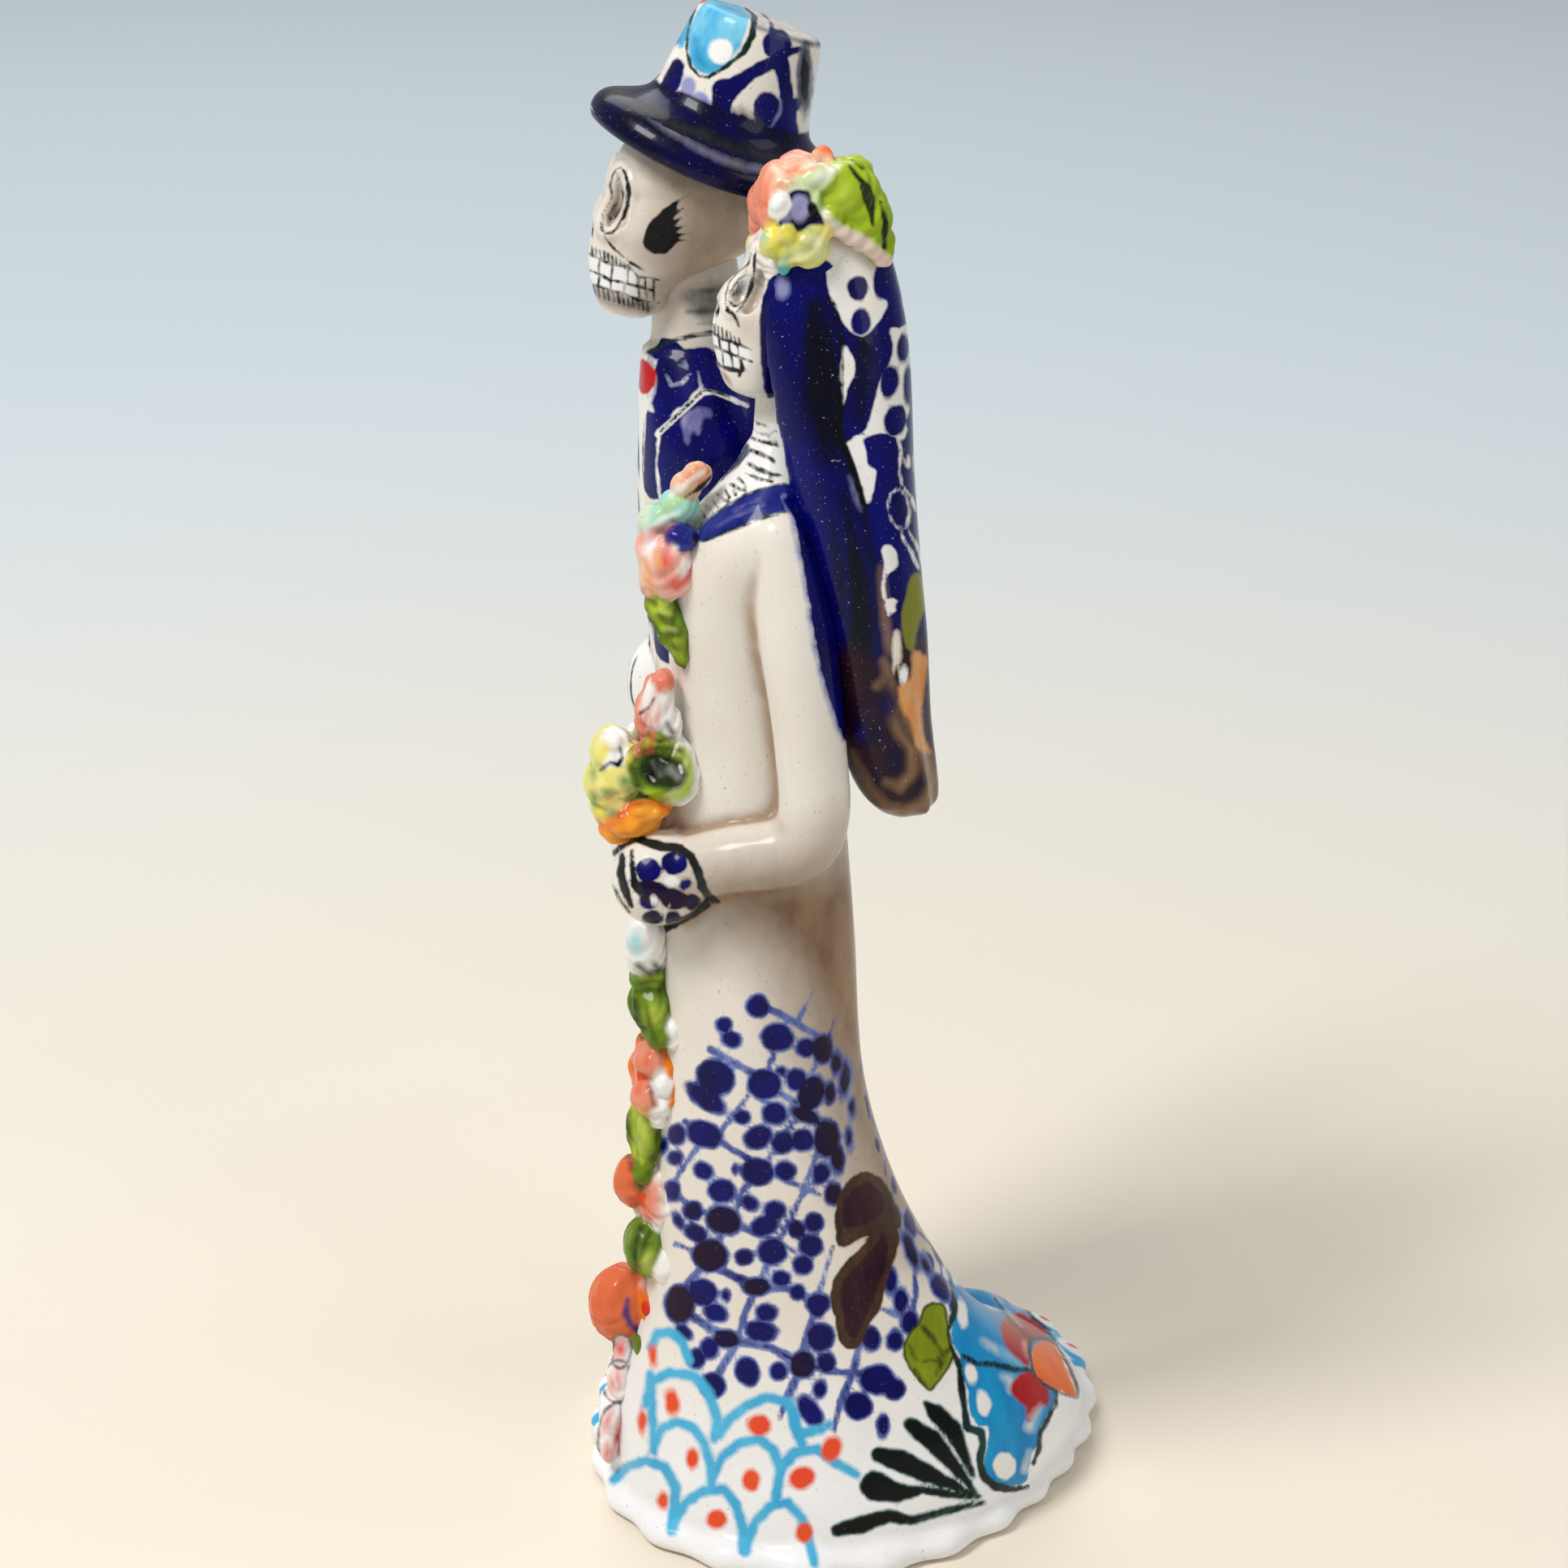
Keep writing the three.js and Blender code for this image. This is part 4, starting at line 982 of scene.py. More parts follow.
def paint_hem(surface):
    """Scales, red berries, a fan of black strokes and a turquoise flower on the foot of the gown."""
    look = skirt_window(surface)
    scale_strokes = [
        [(214, 1000, 5), (228, 966, 7), (262, 962, 8), (296, 990, 8), (310, 1035, 6)],
        [(200, 1150, 6), (212, 1090, 8), (262, 1066, 9), (322, 1074, 9), (362, 1120, 9), (384, 1190, 9),
         (376, 1236, 7)],
        [(386, 1228, 8), (416, 1184, 8), (458, 1150, 8), (510, 1130, 8), (562, 1142, 8)],
        [(212, 1070, 7), (216, 1180, 7), (220, 1270, 6)],
        [(216, 1268, 6), (236, 1214, 7), (276, 1192, 7), (320, 1206, 8), (350, 1250, 8), (370, 1320, 8),
         (366, 1370, 7)],
        [(372, 1332, 8), (396, 1282, 8), (440, 1248, 8), (490, 1236, 8), (526, 1262, 8), (546, 1312, 9),
         (534, 1392, 9)],
        [(118, 1342, 8), (150, 1308, 8), (200, 1292, 8), (250, 1310, 8), (276, 1360, 9), (268, 1470, 11)],
        [(268, 1455, 11), (300, 1402, 8), (346, 1370, 8), (400, 1366, 8), (430, 1402, 8), (450, 1470, 9),
         (454, 1522, 12)],
        [(454, 1515, 11), (480, 1452, 8), (520, 1408, 8), (565, 1400, 8), (600, 1440, 8), (620, 1500, 8),
         (632, 1556, 8)],
        [(546, 1312, 10), (580, 1272, 10), (640, 1262, 8), (690, 1300, 8), (742, 1328, 6)],
        [(572, 1150, 9), (584, 1200, 12), (600, 1250, 9)],
        [(600, 1222, 10), (650, 1212, 8), (672, 1196, 5)]]
    scales = look.strokes(*scale_strokes)
    surface.lay(AQUA, BRIGHT_AQUA, scales - 0.4, 0.9)
    berry_spots = [
        (267, 1142, 17, 34, -12), (190, 1192, 11, 26), (320, 1287, 16, 24), (490, 1201, 30, 26),
        (677, 1262, 24, 32, 20), (600, 1337, 34, 27, -20), (470, 1343, 22, 27), (243, 1395, 14, 20),
        (382, 1443, 25), (607, 1477, 21, 24), (218, 1024, 10, 24)]
    berries = look.ovals(*berry_spots)
    surface.lay(SCARLET, VERMILION, berries - 0.1, 0.9)

    fan_strokes = [
        [(916, 1142, 3), (942, 1168, 20), (985, 1208, 22), (1010, 1262, 15), (1040, 1330, 4)],
        [(882, 1202, 18), (930, 1236, 24), (985, 1296, 17), (1048, 1376, 3)],
        [(798, 1278, 18), (856, 1294, 27), (930, 1330, 20), (1040, 1378, 4)],
        [(790, 1358, 38), (842, 1374, 24), (910, 1368, 8), (960, 1376, 9), (1056, 1386, 4)],
        [(690, 1470, 14), (756, 1456, 20), (820, 1434, 16), (880, 1446, 10), (960, 1424, 7),
         (1064, 1400, 4)]]
    fan = look.strokes(*fan_strokes)
    surface.lay(TEAL, PINE, fan - 0.25, 0.6)
    surface.lay(INK, INK, fan + 0.12, 0.4)

    near = Easel(surface, HEM_FLOWER, 0.03)
    leaf_edge = [
        (245, 350), (300, 375), (318, 450), (330, 560), (352, 620), (310, 700), (250, 780), (222, 792),
        (180, 750), (140, 700), (108, 640), (96, 570), (130, 505), (170, 460), (205, 380)]
    leaf = near.patch(*leaf_edge)
    surface.lay(INK, MOSS, leaf - 0.25, 0.5)
    surface.lay(DEEP_OLIVE, OLIVE_GREEN, leaf + 0.2, 0.5)
    leaf_veins = [
        [(185, 470, 8), (245, 530, 12), (290, 600, 6)], [(330, 590, 10), (270, 640, 9), (200, 650, 6)],
        [(150, 690, 6), (205, 770, 9)], [(300, 640, 6), (262, 720, 8)], [(118, 560, 4), (160, 640, 4)]]
    surface.lay(INK, MOSS, np.maximum(near.strokes(*leaf_veins), leaf), 0.9)
    flower_edge = [
        (318, 130), (420, 170), (560, 235), (660, 270), (712, 330), (742, 420), (800, 455), (850, 520),
        (860, 560), (780, 560), (740, 640), (745, 690), (800, 740), (868, 790), (872, 850), (830, 930),
        (795, 985), (790, 1060), (752, 1110), (732, 1200), (720, 1262), (620, 1290), (545, 1262),
        (505, 1180), (520, 1080), (525, 985), (470, 972), (430, 900), (425, 800), (392, 720), (385, 640),
        (335, 520), (352, 440), (368, 360), (345, 290), (322, 220)]
    petals = near.patch(*flower_edge)
    surface.lay(PETAL_BLUE, PETAL_SKY, petals, 0.4)
    flower_lights = [
        [(580, 262, 22), (660, 300, 42), (700, 400, 28), (735, 440, 10)],
        [(470, 220, 6), (570, 330, 9), (650, 430, 5)],
        [(500, 545, 12), (570, 590, 20), (660, 640, 16), (720, 680, 5)],
        [(600, 725, 10), (650, 742, 22), (640, 800, 10)], [(740, 980, 26), (770, 920, 16), (800, 870, 8)],
        [(735, 1110, 8), (715, 1200, 14)]]
    surface.lay(WHITE, AQUA, np.maximum(near.strokes(*flower_lights), petals + 0.3), 1.6, 0.85)
    upper_red = [
        (592, 455), (680, 400), (760, 440), (812, 480), (835, 540), (770, 540), (735, 580), (735, 670),
        (690, 650), (640, 600), (600, 530)]
    heart = near.patch(*upper_red)
    lower_red = [
        (690, 715), (750, 705), (810, 760), (835, 800), (830, 870), (790, 880), (730, 960), (712, 880),
        (655, 830), (640, 780)]
    heart_low = near.patch(*lower_red)
    surface.lay(BLOOD_RED, CHERRY, np.minimum(heart, heart_low), 0.8)
    red_lights = [
        [(620, 390, 7), (690, 470, 3)], [(745, 930, 10), (790, 870, 4)], [(712, 560, 8), (725, 620, 3)]]
    surface.lay(WHITE, PINK, near.strokes(*red_lights), 1.4, 0.7)
    white_spots = [
        (365, 215, 24, 50, -15), (393, 405, 27, 75, -8), (440, 715, 28, 55, -10), (503, 862, 37, 66, -8),
        (610, 1180, 58, 68, -5)]
    surface.lay(WHITE, WHITE, near.ovals(*white_spots), 0.5)
    flower_outline = [
        [(330, 240, 3), (345, 300, 5), (362, 370, 9), (345, 430, 14), (325, 500, 6), (345, 590, 6),
         (375, 660, 12), (392, 790, 15), (408, 900, 14), (420, 985, 18), (490, 1010, 20), (500, 1080, 16),
         (482, 1160, 16), (505, 1235, 18), (560, 1285, 20), (640, 1300, 14), (730, 1285, 5)],
        [(395, 620, 10), (470, 660, 11), (560, 665, 12), (660, 690, 12), (750, 692, 7)],
        [(560, 330, 3), (640, 440, 4), (740, 530, 4)],
        [(700, 300, 4), (722, 380, 7), (745, 420, 5), (835, 490, 5), (860, 555, 7)],
        [(875, 810, 6), (868, 870, 9), (825, 945, 11), (792, 1010, 9), (785, 1090, 11), (755, 1170, 6)],
        [(735, 600, 8), (740, 540, 9), (800, 528, 6), (870, 560, 6), (925, 650, 6), (975, 760, 6),
         (980, 832, 5), (900, 812, 5), (820, 770, 6), (760, 700, 8), (735, 600, 8)]]
    surface.lay(INK, TEAL, near.strokes(*flower_outline) - 0.12, 0.5)
    orange_petal = [
        (752, 600), (780, 552), (840, 550), (885, 600), (920, 680), (975, 820), (900, 800), (800, 745),
        (758, 680)]
    surface.lay(FLAME, BRIGHT_FLAME, near.patch(*orange_petal), 0.4)


def paint_hem_petals(surface):
    """White petals with red hearts, the last of the garland."""
    look = Easel(surface, WHOLE, -0.05)
    upper_petal = [(756, 1650), (768, 1645), (777, 1652), (776, 1672), (766, 1686), (755, 1678)]
    middle_petal = [
        (748, 1684), (762, 1676), (774, 1684), (776, 1712), (764, 1728), (748, 1722), (742, 1702)]
    lower_petal = [
        (746, 1738), (760, 1728), (774, 1732), (776, 1760), (768, 1790), (756, 1808), (744, 1806),
        (737, 1784), (738, 1758)]
    petals = [look.patch(*upper_petal), look.patch(*middle_petal), look.patch(*lower_petal)]
    surface.lay(BRIGHT_WHITE, WHITE, np.minimum.reduce(petals), 0.5)
    petal_hearts = [
        (764, 1662, 7, 11, 15), (758, 1702, 6, 14, 15), (762, 1768, 7, 20, 12), (750, 1790, 7, 12, 10),
        (748, 1752, 4, 10, 20)]
    surface.lay(POPPY, SALMON, look.ovals(*petal_hearts), 1.8, 0.95)
    petal_lights = [
        [(756, 1690, 1), (760, 1712, 1)], [(756, 1752, 1.2), (754, 1776, 1.2), (750, 1796, 0.8)],
        [(767, 1744, 1), (766, 1762, 1)]]
    surface.lay(MILK, WHITE, look.strokes(*petal_lights), 0.8, 0.8)
    surface.lay(DUSK, SOOT, np.minimum.reduce([np.abs(petal) for petal in petals]) - 0.28, 0.5, 0.9)


def hem_place(points):
    """Millimetres along the hem, from +X towards +Y, and up its slope from the edge."""
    angle = np.arctan2(points[:, 1], points[:, 0])
    return angle * 56, np.hypot(points[:, 2], hem_reach(angle) - np.hypot(points[:, 0], points[:, 1]))


def paint_hidden_skirt(surface):
    """The plainer finish of the sides that the photograph doesn't show."""
    s, t = hem_place(surface.points)
    x, y, z = surface.points.T
    turn = np.degrees(np.arctan2(y, x))
    unseen = only((turn > 100) | (turn < -88))
    low = np.maximum(t - 38, 0)
    arcs, berries = np.full(len(s), AWAY), np.full(len(s), AWAY)
    half = SCALE_WIDTH / 2
    for row in range(4):
        level = 4.0 + 8.4 * row
        a = (s + half * (row % 2)) % SCALE_WIDTH - half
        arc = np.abs(np.hypot(a, (t - level) * 0.82) - 5.9) - 0.85 + np.maximum(level - t, 0) * 3
        arcs = np.minimum(arcs, arc)
        berries = np.minimum(berries, np.hypot(a / 0.8, t - level - 2.2) - 1.5)
    surface.lay(AQUA, BRIGHT_AQUA, arcs - 0.3 + unseen + low, 0.9)
    surface.lay(SCARLET, VERMILION, berries + unseen + low, 0.8)

    # the net goes on round the back of the bride's skirt
    turn = np.arctan2(y + 19, x - 23)
    u, v = turn * (20 + 16 * np.maximum(0, 1 - z / 80) ** 2), z
    behind = only((np.degrees(turn) > 74) & (x > -2)) + np.maximum(z - 104, 0) + np.maximum(42 - t, 0) * 0.6
    p, q = (u * 0.83 + v * 0.56) / NET_SPACING, (v * 0.83 - u * 0.56) / NET_SPACING
    mesh_lines = np.minimum(np.abs(p - np.round(p)), np.abs(q - np.round(q))) * NET_SPACING - 0.55
    knots = np.hypot(p - np.round(p), q - np.round(q)) * NET_SPACING - 2.5
    berries = np.minimum(*(np.hypot(p - np.floor(p) - right, q - np.floor(q) - up) * NET_SPACING - radius
                           for right, up, radius in ((0.38, 0.6, 1.6), (0.68, 0.36, 1.3))))
    blots = np.minimum(knots, berries)
    surface.lay(BLUE, SKY, np.minimum(blots - 0.35, mesh_lines) + behind, 0.5)
    surface.lay(NAVY, COBALT, blots + 0.1 + behind, 0.55)


def paint_gloves(surface):
    look = Easel(surface, GLOVES, -0.1)
    glove_edge = [
        (270, 880), (330, 840), (420, 820), (520, 850), (600, 880), (680, 920), (725, 1000), (780, 1100),
        (750, 1180), (640, 1260), (540, 1300), (440, 1310), (380, 1280), (300, 1190), (250, 1050),
        (240, 940)]
    inner = look.patch(*glove_edge)
    blue_spots = [(455, 980, 72), (605, 935, 72), (460, 1150, 60, 50), (665, 1060, 30, 45, 40)]
    surface.lay(COBALT, NAVY, look.ovals(*blue_spots), 0.5)
    dark_spots = [
        (480, 1090, 100, 55, 15), (600, 1140, 90, 60, 10), (705, 1160, 52, 52), (480, 1250, 62, 42),
        (595, 1250, 52, 38)]
    surface.lay(AUBERGINE, NAVY, np.maximum(look.ovals(*dark_spots), inner), 0.5)
    white_spots = [(590, 1040, 40, 30), (490, 1150, 24, 34, -15), (545, 1250, 5, 40, 20)]
    surface.lay(WHITE, WHITE, look.ovals(*white_spots), 0.6)
    finger_lines = [
        [(306, 895, 16), (300, 990, 26), (320, 1080, 26), (358, 1180, 16)],
        [(362, 870, 12), (366, 960, 18), (380, 1060, 26), (440, 1140, 20), (465, 1165, 8)],
        [(250, 1060, 8), (300, 1150, 9), (350, 1215, 6)], [(228, 860, 6), (240, 900, 5)]]
    surface.lay(INK, SOOT, look.strokes(*finger_lines), 0.45)
    cuff_lines = [
        [(262, 880, 14), (320, 826, 22), (390, 800, 24), (480, 830, 28), (560, 850, 28), (640, 856, 26),
         (700, 900, 24), (735, 980, 26), (765, 1080, 26), (800, 1130, 26), (850, 1158, 14)],
        [(790, 1170, 26), (720, 1225, 20), (650, 1265, 20), (560, 1310, 22), (470, 1322, 18),
         (420, 1300, 10)]]
    surface.lay(INK, SOOT, look.strokes(*cuff_lines), 0.45)


def paint_bodice(surface):
    look = Easel(surface, CHESTS)
    breast_edge = [
        (712, 280), (760, 290), (830, 300), (850, 480), (820, 520), (700, 560), (600, 620), (520, 690),
        (470, 670), (540, 560), (640, 470), (690, 380)]
    wedge = look.patch(*breast_edge)
    surface.lay(WHITE, WHITE, wedge, 0.5)
    rib_strokes = [
        [(722, 282, 4), (760, 300, 5), (806, 318, 4)], [(716, 306, 4), (756, 330, 5), (808, 352, 4)],
        [(708, 342, 5), (750, 358, 7), (810, 372, 6)],
        [(704, 390, 6), (740, 404, 10), (784, 424, 8), (800, 440, 5)],
        [(690, 440, 5), (730, 462, 9), (790, 486, 9), (824, 488, 5)],
        [(682, 476, 4), (730, 500, 7), (790, 512, 6)], [(660, 500, 5), (690, 530, 4)],
        [(626, 520, 5), (660, 540, 6), (690, 548, 3)], [(640, 534, 3), (650, 566, 5)],
        [(608, 546, 5), (622, 574, 5), (618, 592, 3)], [(578, 560, 4), (604, 590, 5)],
        [(556, 584, 4), (580, 612, 5)], [(534, 606, 4), (560, 634, 4)], [(516, 630, 4), (530, 656, 4)],
        [(600, 480, 3), (640, 440, 5), (664, 420, 3)]]
    ribs = look.strokes(*rib_strokes)
    surface.lay(INK, SOOT, ribs, 0.45)
    near_edge = [
        (500, 700), (540, 660), (600, 618), (680, 566), (760, 536), (850, 520), (900, 560), (860, 625),
        (780, 640), (680, 680), (590, 720), (510, 745)]
    near_band = look.patch(*near_edge)
    surface.lay(COBALT, BLUE, near_band, 0.5)
    band_lights = [[(560, 690, 3), (660, 640, 4), (760, 600, 4)], [(640, 624, 3), (740, 578, 4)]]
    surface.lay(LILAC, BLUE, look.strokes(*band_lights), 0.8, 0.6)
    band_outline = [
        [(512, 680, 4), (560, 640, 5), (620, 600, 5), (700, 556, 5), (780, 532, 5), (840, 520, 4)],
        [(520, 744, 4), (590, 716, 7), (660, 690, 7), (740, 656, 5), (830, 630, 7), (856, 636, 4)]]
    surface.lay(INK, TEAL, look.strokes(*band_outline), 0.5)
    far_edge = [
        (690, 362), (700, 400), (660, 450), (600, 500), (540, 560), (490, 600), (480, 560), (540, 490),
        (600, 430), (650, 390)]
    far_band = look.patch(*far_edge)
    surface.lay(SOOT, SLATE_BLUE, far_band, 0.5)
    far_strokes = [[(600, 490, 3), (630, 452, 9), (660, 424, 4)], [(540, 470, 3), (600, 400, 4)]]
    surface.lay(INK, INK, look.strokes(*far_strokes), 0.5)
    whole = Easel(surface, WHOLE, -0.3)
    edge = [(966, 612), (976, 640), (986, 690), (994, 740), (1004, 800), (1016, 850), (1030, 892),
            (1040, 912)]
    surface.lay(LILAC, SKY, whole.strokes([(x, y, 2.4) for x, y in edge]), 0.9)
    bodice_side = [*((x + 2, y) for x, y in edge), (1075, 905), (1070, 760), (1045, 620)]
    surface.lay(COBALT, NAVY, whole.patch(*bodice_side), 0.6)


def paint_chest_front(surface):
    """Ribs and a blue neckline on the front of the bodice, beyond what the photograph shows."""
    x, y, z = surface.points.T
    across = np.abs(x - BRIDE_X)
    front = only((y < -14) & (z > 196) & (z < 217) & (x < BRIDE_X + 4))
    neckline = z - 203 - 0.9 * across
    surface.lay(COBALT, BLUE, np.abs(neckline) - 2.6 + front, 0.5)
    surface.lay(INK, TEAL, np.minimum(np.abs(neckline - 2.9), np.abs(neckline + 2.9)) - 0.4 + front, 0.4)
    ribs = np.abs((z - 0.35 * across) % 4.2 - 2.1) - 0.75
    rib_ends = np.maximum(across - 11, 1.4 - across)
    surface.lay(INK, SOOT, np.maximum(np.maximum(ribs, 4.6 - neckline), rib_ends) + front, 0.4)


def paint_gown():
    surface = Surface(make_gown())
    # painted light: the gown is painted whiter towards its foot, as the foot catches more light
    foot_light = np.clip((52 - surface.points[:, 2]) / 36, 0, 1)[:, None]
    surface.tint = surface.tint * (1 - foot_light) + np.asarray(BRIGHT_WHITE) * foot_light
    ground(surface, np.clip((surface.points[:, 2] - 10) / 24, 0.12, 1))
    # painted shade: a brown shadow under the arm, and browner where the skin turns away from the camera,
    # down the back of the gown
    look = Easel(surface, WHOLE, -1.1)
    arm_shadow = [(884, 1098), (940, 1085), (1010, 1075), (1075, 1060), (1090, 1200), (1110, 1380), (1130, 1500),
            (1096, 1480), (1066, 1420), (1034, 1330), (1010, 1260), (984, 1200), (950, 1156), (910, 1130)]
    shade = np.maximum(0, 0.1 - look.turned) * 12 + look.patch(*arm_shadow) * 0.4 - 1.6
    surface.lay(SHADOW_BROWN, THIN_SHADOW_BROWN, shade, 7.5, 0.95)
    paint_hidden_skirt(surface)
    paint_skirt(surface)
    paint_hem(surface)
    paint_chest_front(surface)
    paint_bodice(surface)
    paint_gloves(surface)
    surface.finish("gown_glaze")


def cells(points, seeds):
    """Distances to the nearest and the next nearest of the seeds."""
    near, second = np.full(len(points), 1e9), np.full(len(points), 1e9)
    for seed in seeds:
        away = np.linalg.norm(points - seed, axis=1)
        second = np.minimum(second, np.maximum(near, away))
        near = np.minimum(near, away)
    return near, second


def scattered(surface, spacing, where):
    """Points spread over part of a skin at least spacing millimetres apart, the same ones every time."""
    choice = surface.points[where]
    order = np.random.default_rng(7).permutation(len(choice))
    kept = []
    for point in choice[order[:2600]]:
        if all(np.dot(point - other, point - other) > spacing ** 2 for other in kept):
            kept.append(point)
    return kept


def paint_blots(surface, spacing, outside):
    """Cobalt blots that crowd together and leave white seams."""
    near, second = cells(surface.points, scattered(surface, spacing, outside < 1))
    return np.maximum(0.75 - (second - near) / 2, near - spacing * 0.78) + outside


def paint_groom():
    surface = Surface(make_groom())
    ground(surface)
    x, y, z = surface.points.T
    across = np.abs(x - GROOM_X)
    head = np.maximum(z - COLLAR_TOP + 0.25 * (y + 30), 0)
    shirt = np.where(y < CHEST_Y, across - 4.6 - 0.03 * np.maximum(z - 150, 0), AWAY)
    hand = np.linalg.norm((surface.points - GROOM_HAND) / HAND_RADII, axis=1) * 9 - 9

    # trousers: cobalt blots on white, over black shoes
    trousers = np.maximum(np.maximum(z - JACKET_HEM, 0), np.maximum(SHOE_TOP + 3.5 - z, 0))
    surface.lay(COBALT, NAVY, paint_blots(surface, 9.0, trousers), 0.5)
    surface.lay(INK, SOOT, np.maximum(z - SHOE_TOP, -6.0) + only(y < -20), 0.5)
    jacket = np.maximum(np.maximum(JACKET_HEM - z, 0), head)
    cloth = np.maximum(np.maximum(jacket, np.maximum(-shirt, 0) * 2), np.maximum(1.6 - hand, 0) * 2)
    surface.lay(COBALT, NAVY, paint_blots(surface, 13.0, cloth), 0.5)

    look = Easel(surface, CHESTS, 0.02, GROOM_X)
    heads = Easel(surface, HEADS, 0.02, GROOM_X)
    neck = Easel(surface, WHOLE, 0.0, GROOM_X)
    collar_patch = [
        (330, 60), (370, 5), (440, 0), (560, 0), (590, 110), (640, 150), (700, 190), (690, 222),
        (560, 160), (520, 140), (430, 220), (350, 290), (325, 200)]
    sleeve_patch = [
        (352, 345), (430, 262), (520, 185), (560, 178), (692, 232), (720, 300), (690, 400), (600, 520),
        (520, 600), (400, 660), (370, 560), (350, 440)]
    surface.lay(COBALT, NAVY, np.minimum.reduce([
        look.patch(*collar_patch),
        look.patch(*sleeve_patch)]), 0.5)
    collar_lights = [
        [(380, 100, 2), (400, 140, 4), (440, 130, 5), (470, 100, 3)], [(500, 90, 2), (515, 150, 4)],
        [(440, 20, 2), (460, 70, 3), (430, 60, 2)], [(330, 110, 12), (322, 170, 14), (305, 220, 8)]]
    surface.lay(WHITE, SKY, look.strokes(*collar_lights), 0.7)
    # painted highlight: a pale lilac sheen on the jacket's cobalt
    lilac_highlight = [
        (440, 262), (500, 228), (545, 232), (552, 262), (520, 270), (505, 330), (478, 318), (462, 372),
        (445, 320)]
    surface.lay(LILAC, BLUE, look.patch(*lilac_highlight), 0.8)
    seam_strokes = [
        [(345, 330, 11), (430, 250, 12), (518, 168, 12), (560, 166, 8), (690, 218, 8)],
        [(352, 340, 6), (340, 440, 4), (352, 560, 5), (372, 640, 5)]]
    surface.lay(WHITE, WHITE, look.strokes(*seam_strokes), 0.4)
    seam_shadows = [
        [(358, 318, 5), (430, 248, 8), (516, 166, 6)], [(532, 158, 5), (580, 168, 9), (620, 184, 5)]]
    surface.lay(INK, TEAL, look.strokes(*seam_shadows), 0.4)
    collar_line = [[(84, 1312, 10), (130, 1286, 9), (190, 1262, 8), (260, 1246, 9), (330, 1236, 9)]]
    surface.lay(INK, TEAL, heads.strokes(*collar_line), 0.5)
    # browner on the neck below the jaw
    neck_brown = [(120, 1150), (200, 1060), (330, 1000), (420, 960), (430, 1090), (300, 1110), (200, 1180)]
    surface.lay(UMBER, FAWN, heads.patch(*neck_brown) * 0.5, 5.0, 0.6)
    neck_shadow = [(842, 364), (862, 354), (888, 350), (896, 372), (890, 396), (866, 392), (850, 382)]
    surface.lay(CHARCOAL, DRAB, neck.patch(*neck_shadow), 2.6, 0.7)
    neck_hatching = [
        [(250, 1086, 4), (310, 1080, 11), (380, 1062, 5)],
        [(228, 1160, 4), (290, 1158, 15), (335, 1150, 11)], [(280, 1120, 2), (350, 1112, 6)],
        [(270, 1200, 2), (320, 1196, 6), (350, 1190, 3)]]
    surface.lay(SOOT, ASH, heads.strokes(*neck_hatching), 1.0, 0.85)

    # waistcoat front: white with black leaf strokes, a red bow, and blue spots low down
    surface.lay(WHITE, WHITE, np.maximum(shirt, np.maximum(head, 128 - z)), 0.5)
    leaves = [oval(x, z, GROOM_X + side * 1.7, 212 - 10.5 * row - side * 2.4, 1.0, 4.6, 12 * side)
              for row in range(7) for side in (-1, 1)]
    foliage = np.maximum(np.minimum.reduce(leaves), shirt + 0.6)
    surface.lay(INK, SOOT, foliage + only(y < CHEST_Y), 0.45)
    loops = [oval(x, z, GROOM_X + side * 3.4, 226, 4.8, 3.4) for side in (1, -1)]
    bow = np.minimum(*loops) + only(y < -36.8)
    surface.lay(RED, CARMINE, bow, 0.5)
    surface.lay(WHITE, WHITE, hand + 0.5, 0.5)
    off_hand = np.maximum(hand - 0.6, 0) * 9
    fingers = [oval(x, z, GROOM_X - 8.6 + 3.3 * row, 161 - row * 0.6, 0.6, 7.4, 8) for row in range(4)]
    surface.lay(INK, SOOT, np.minimum.reduce(fingers) + off_hand, 0.4)
    cuff_spots = [oval(x, z, GROOM_X - 7, 153, 2.0), oval(x, z, GROOM_X - 1, 151.6, 2.2),
                  oval(x, z, GROOM_X + 4, 154, 1.8)]
    surface.lay(COBALT, BLUE, np.minimum.reduce(cuff_spots) + off_hand, 0.5)
    surface.finish("suit_glaze", stars=0.5)


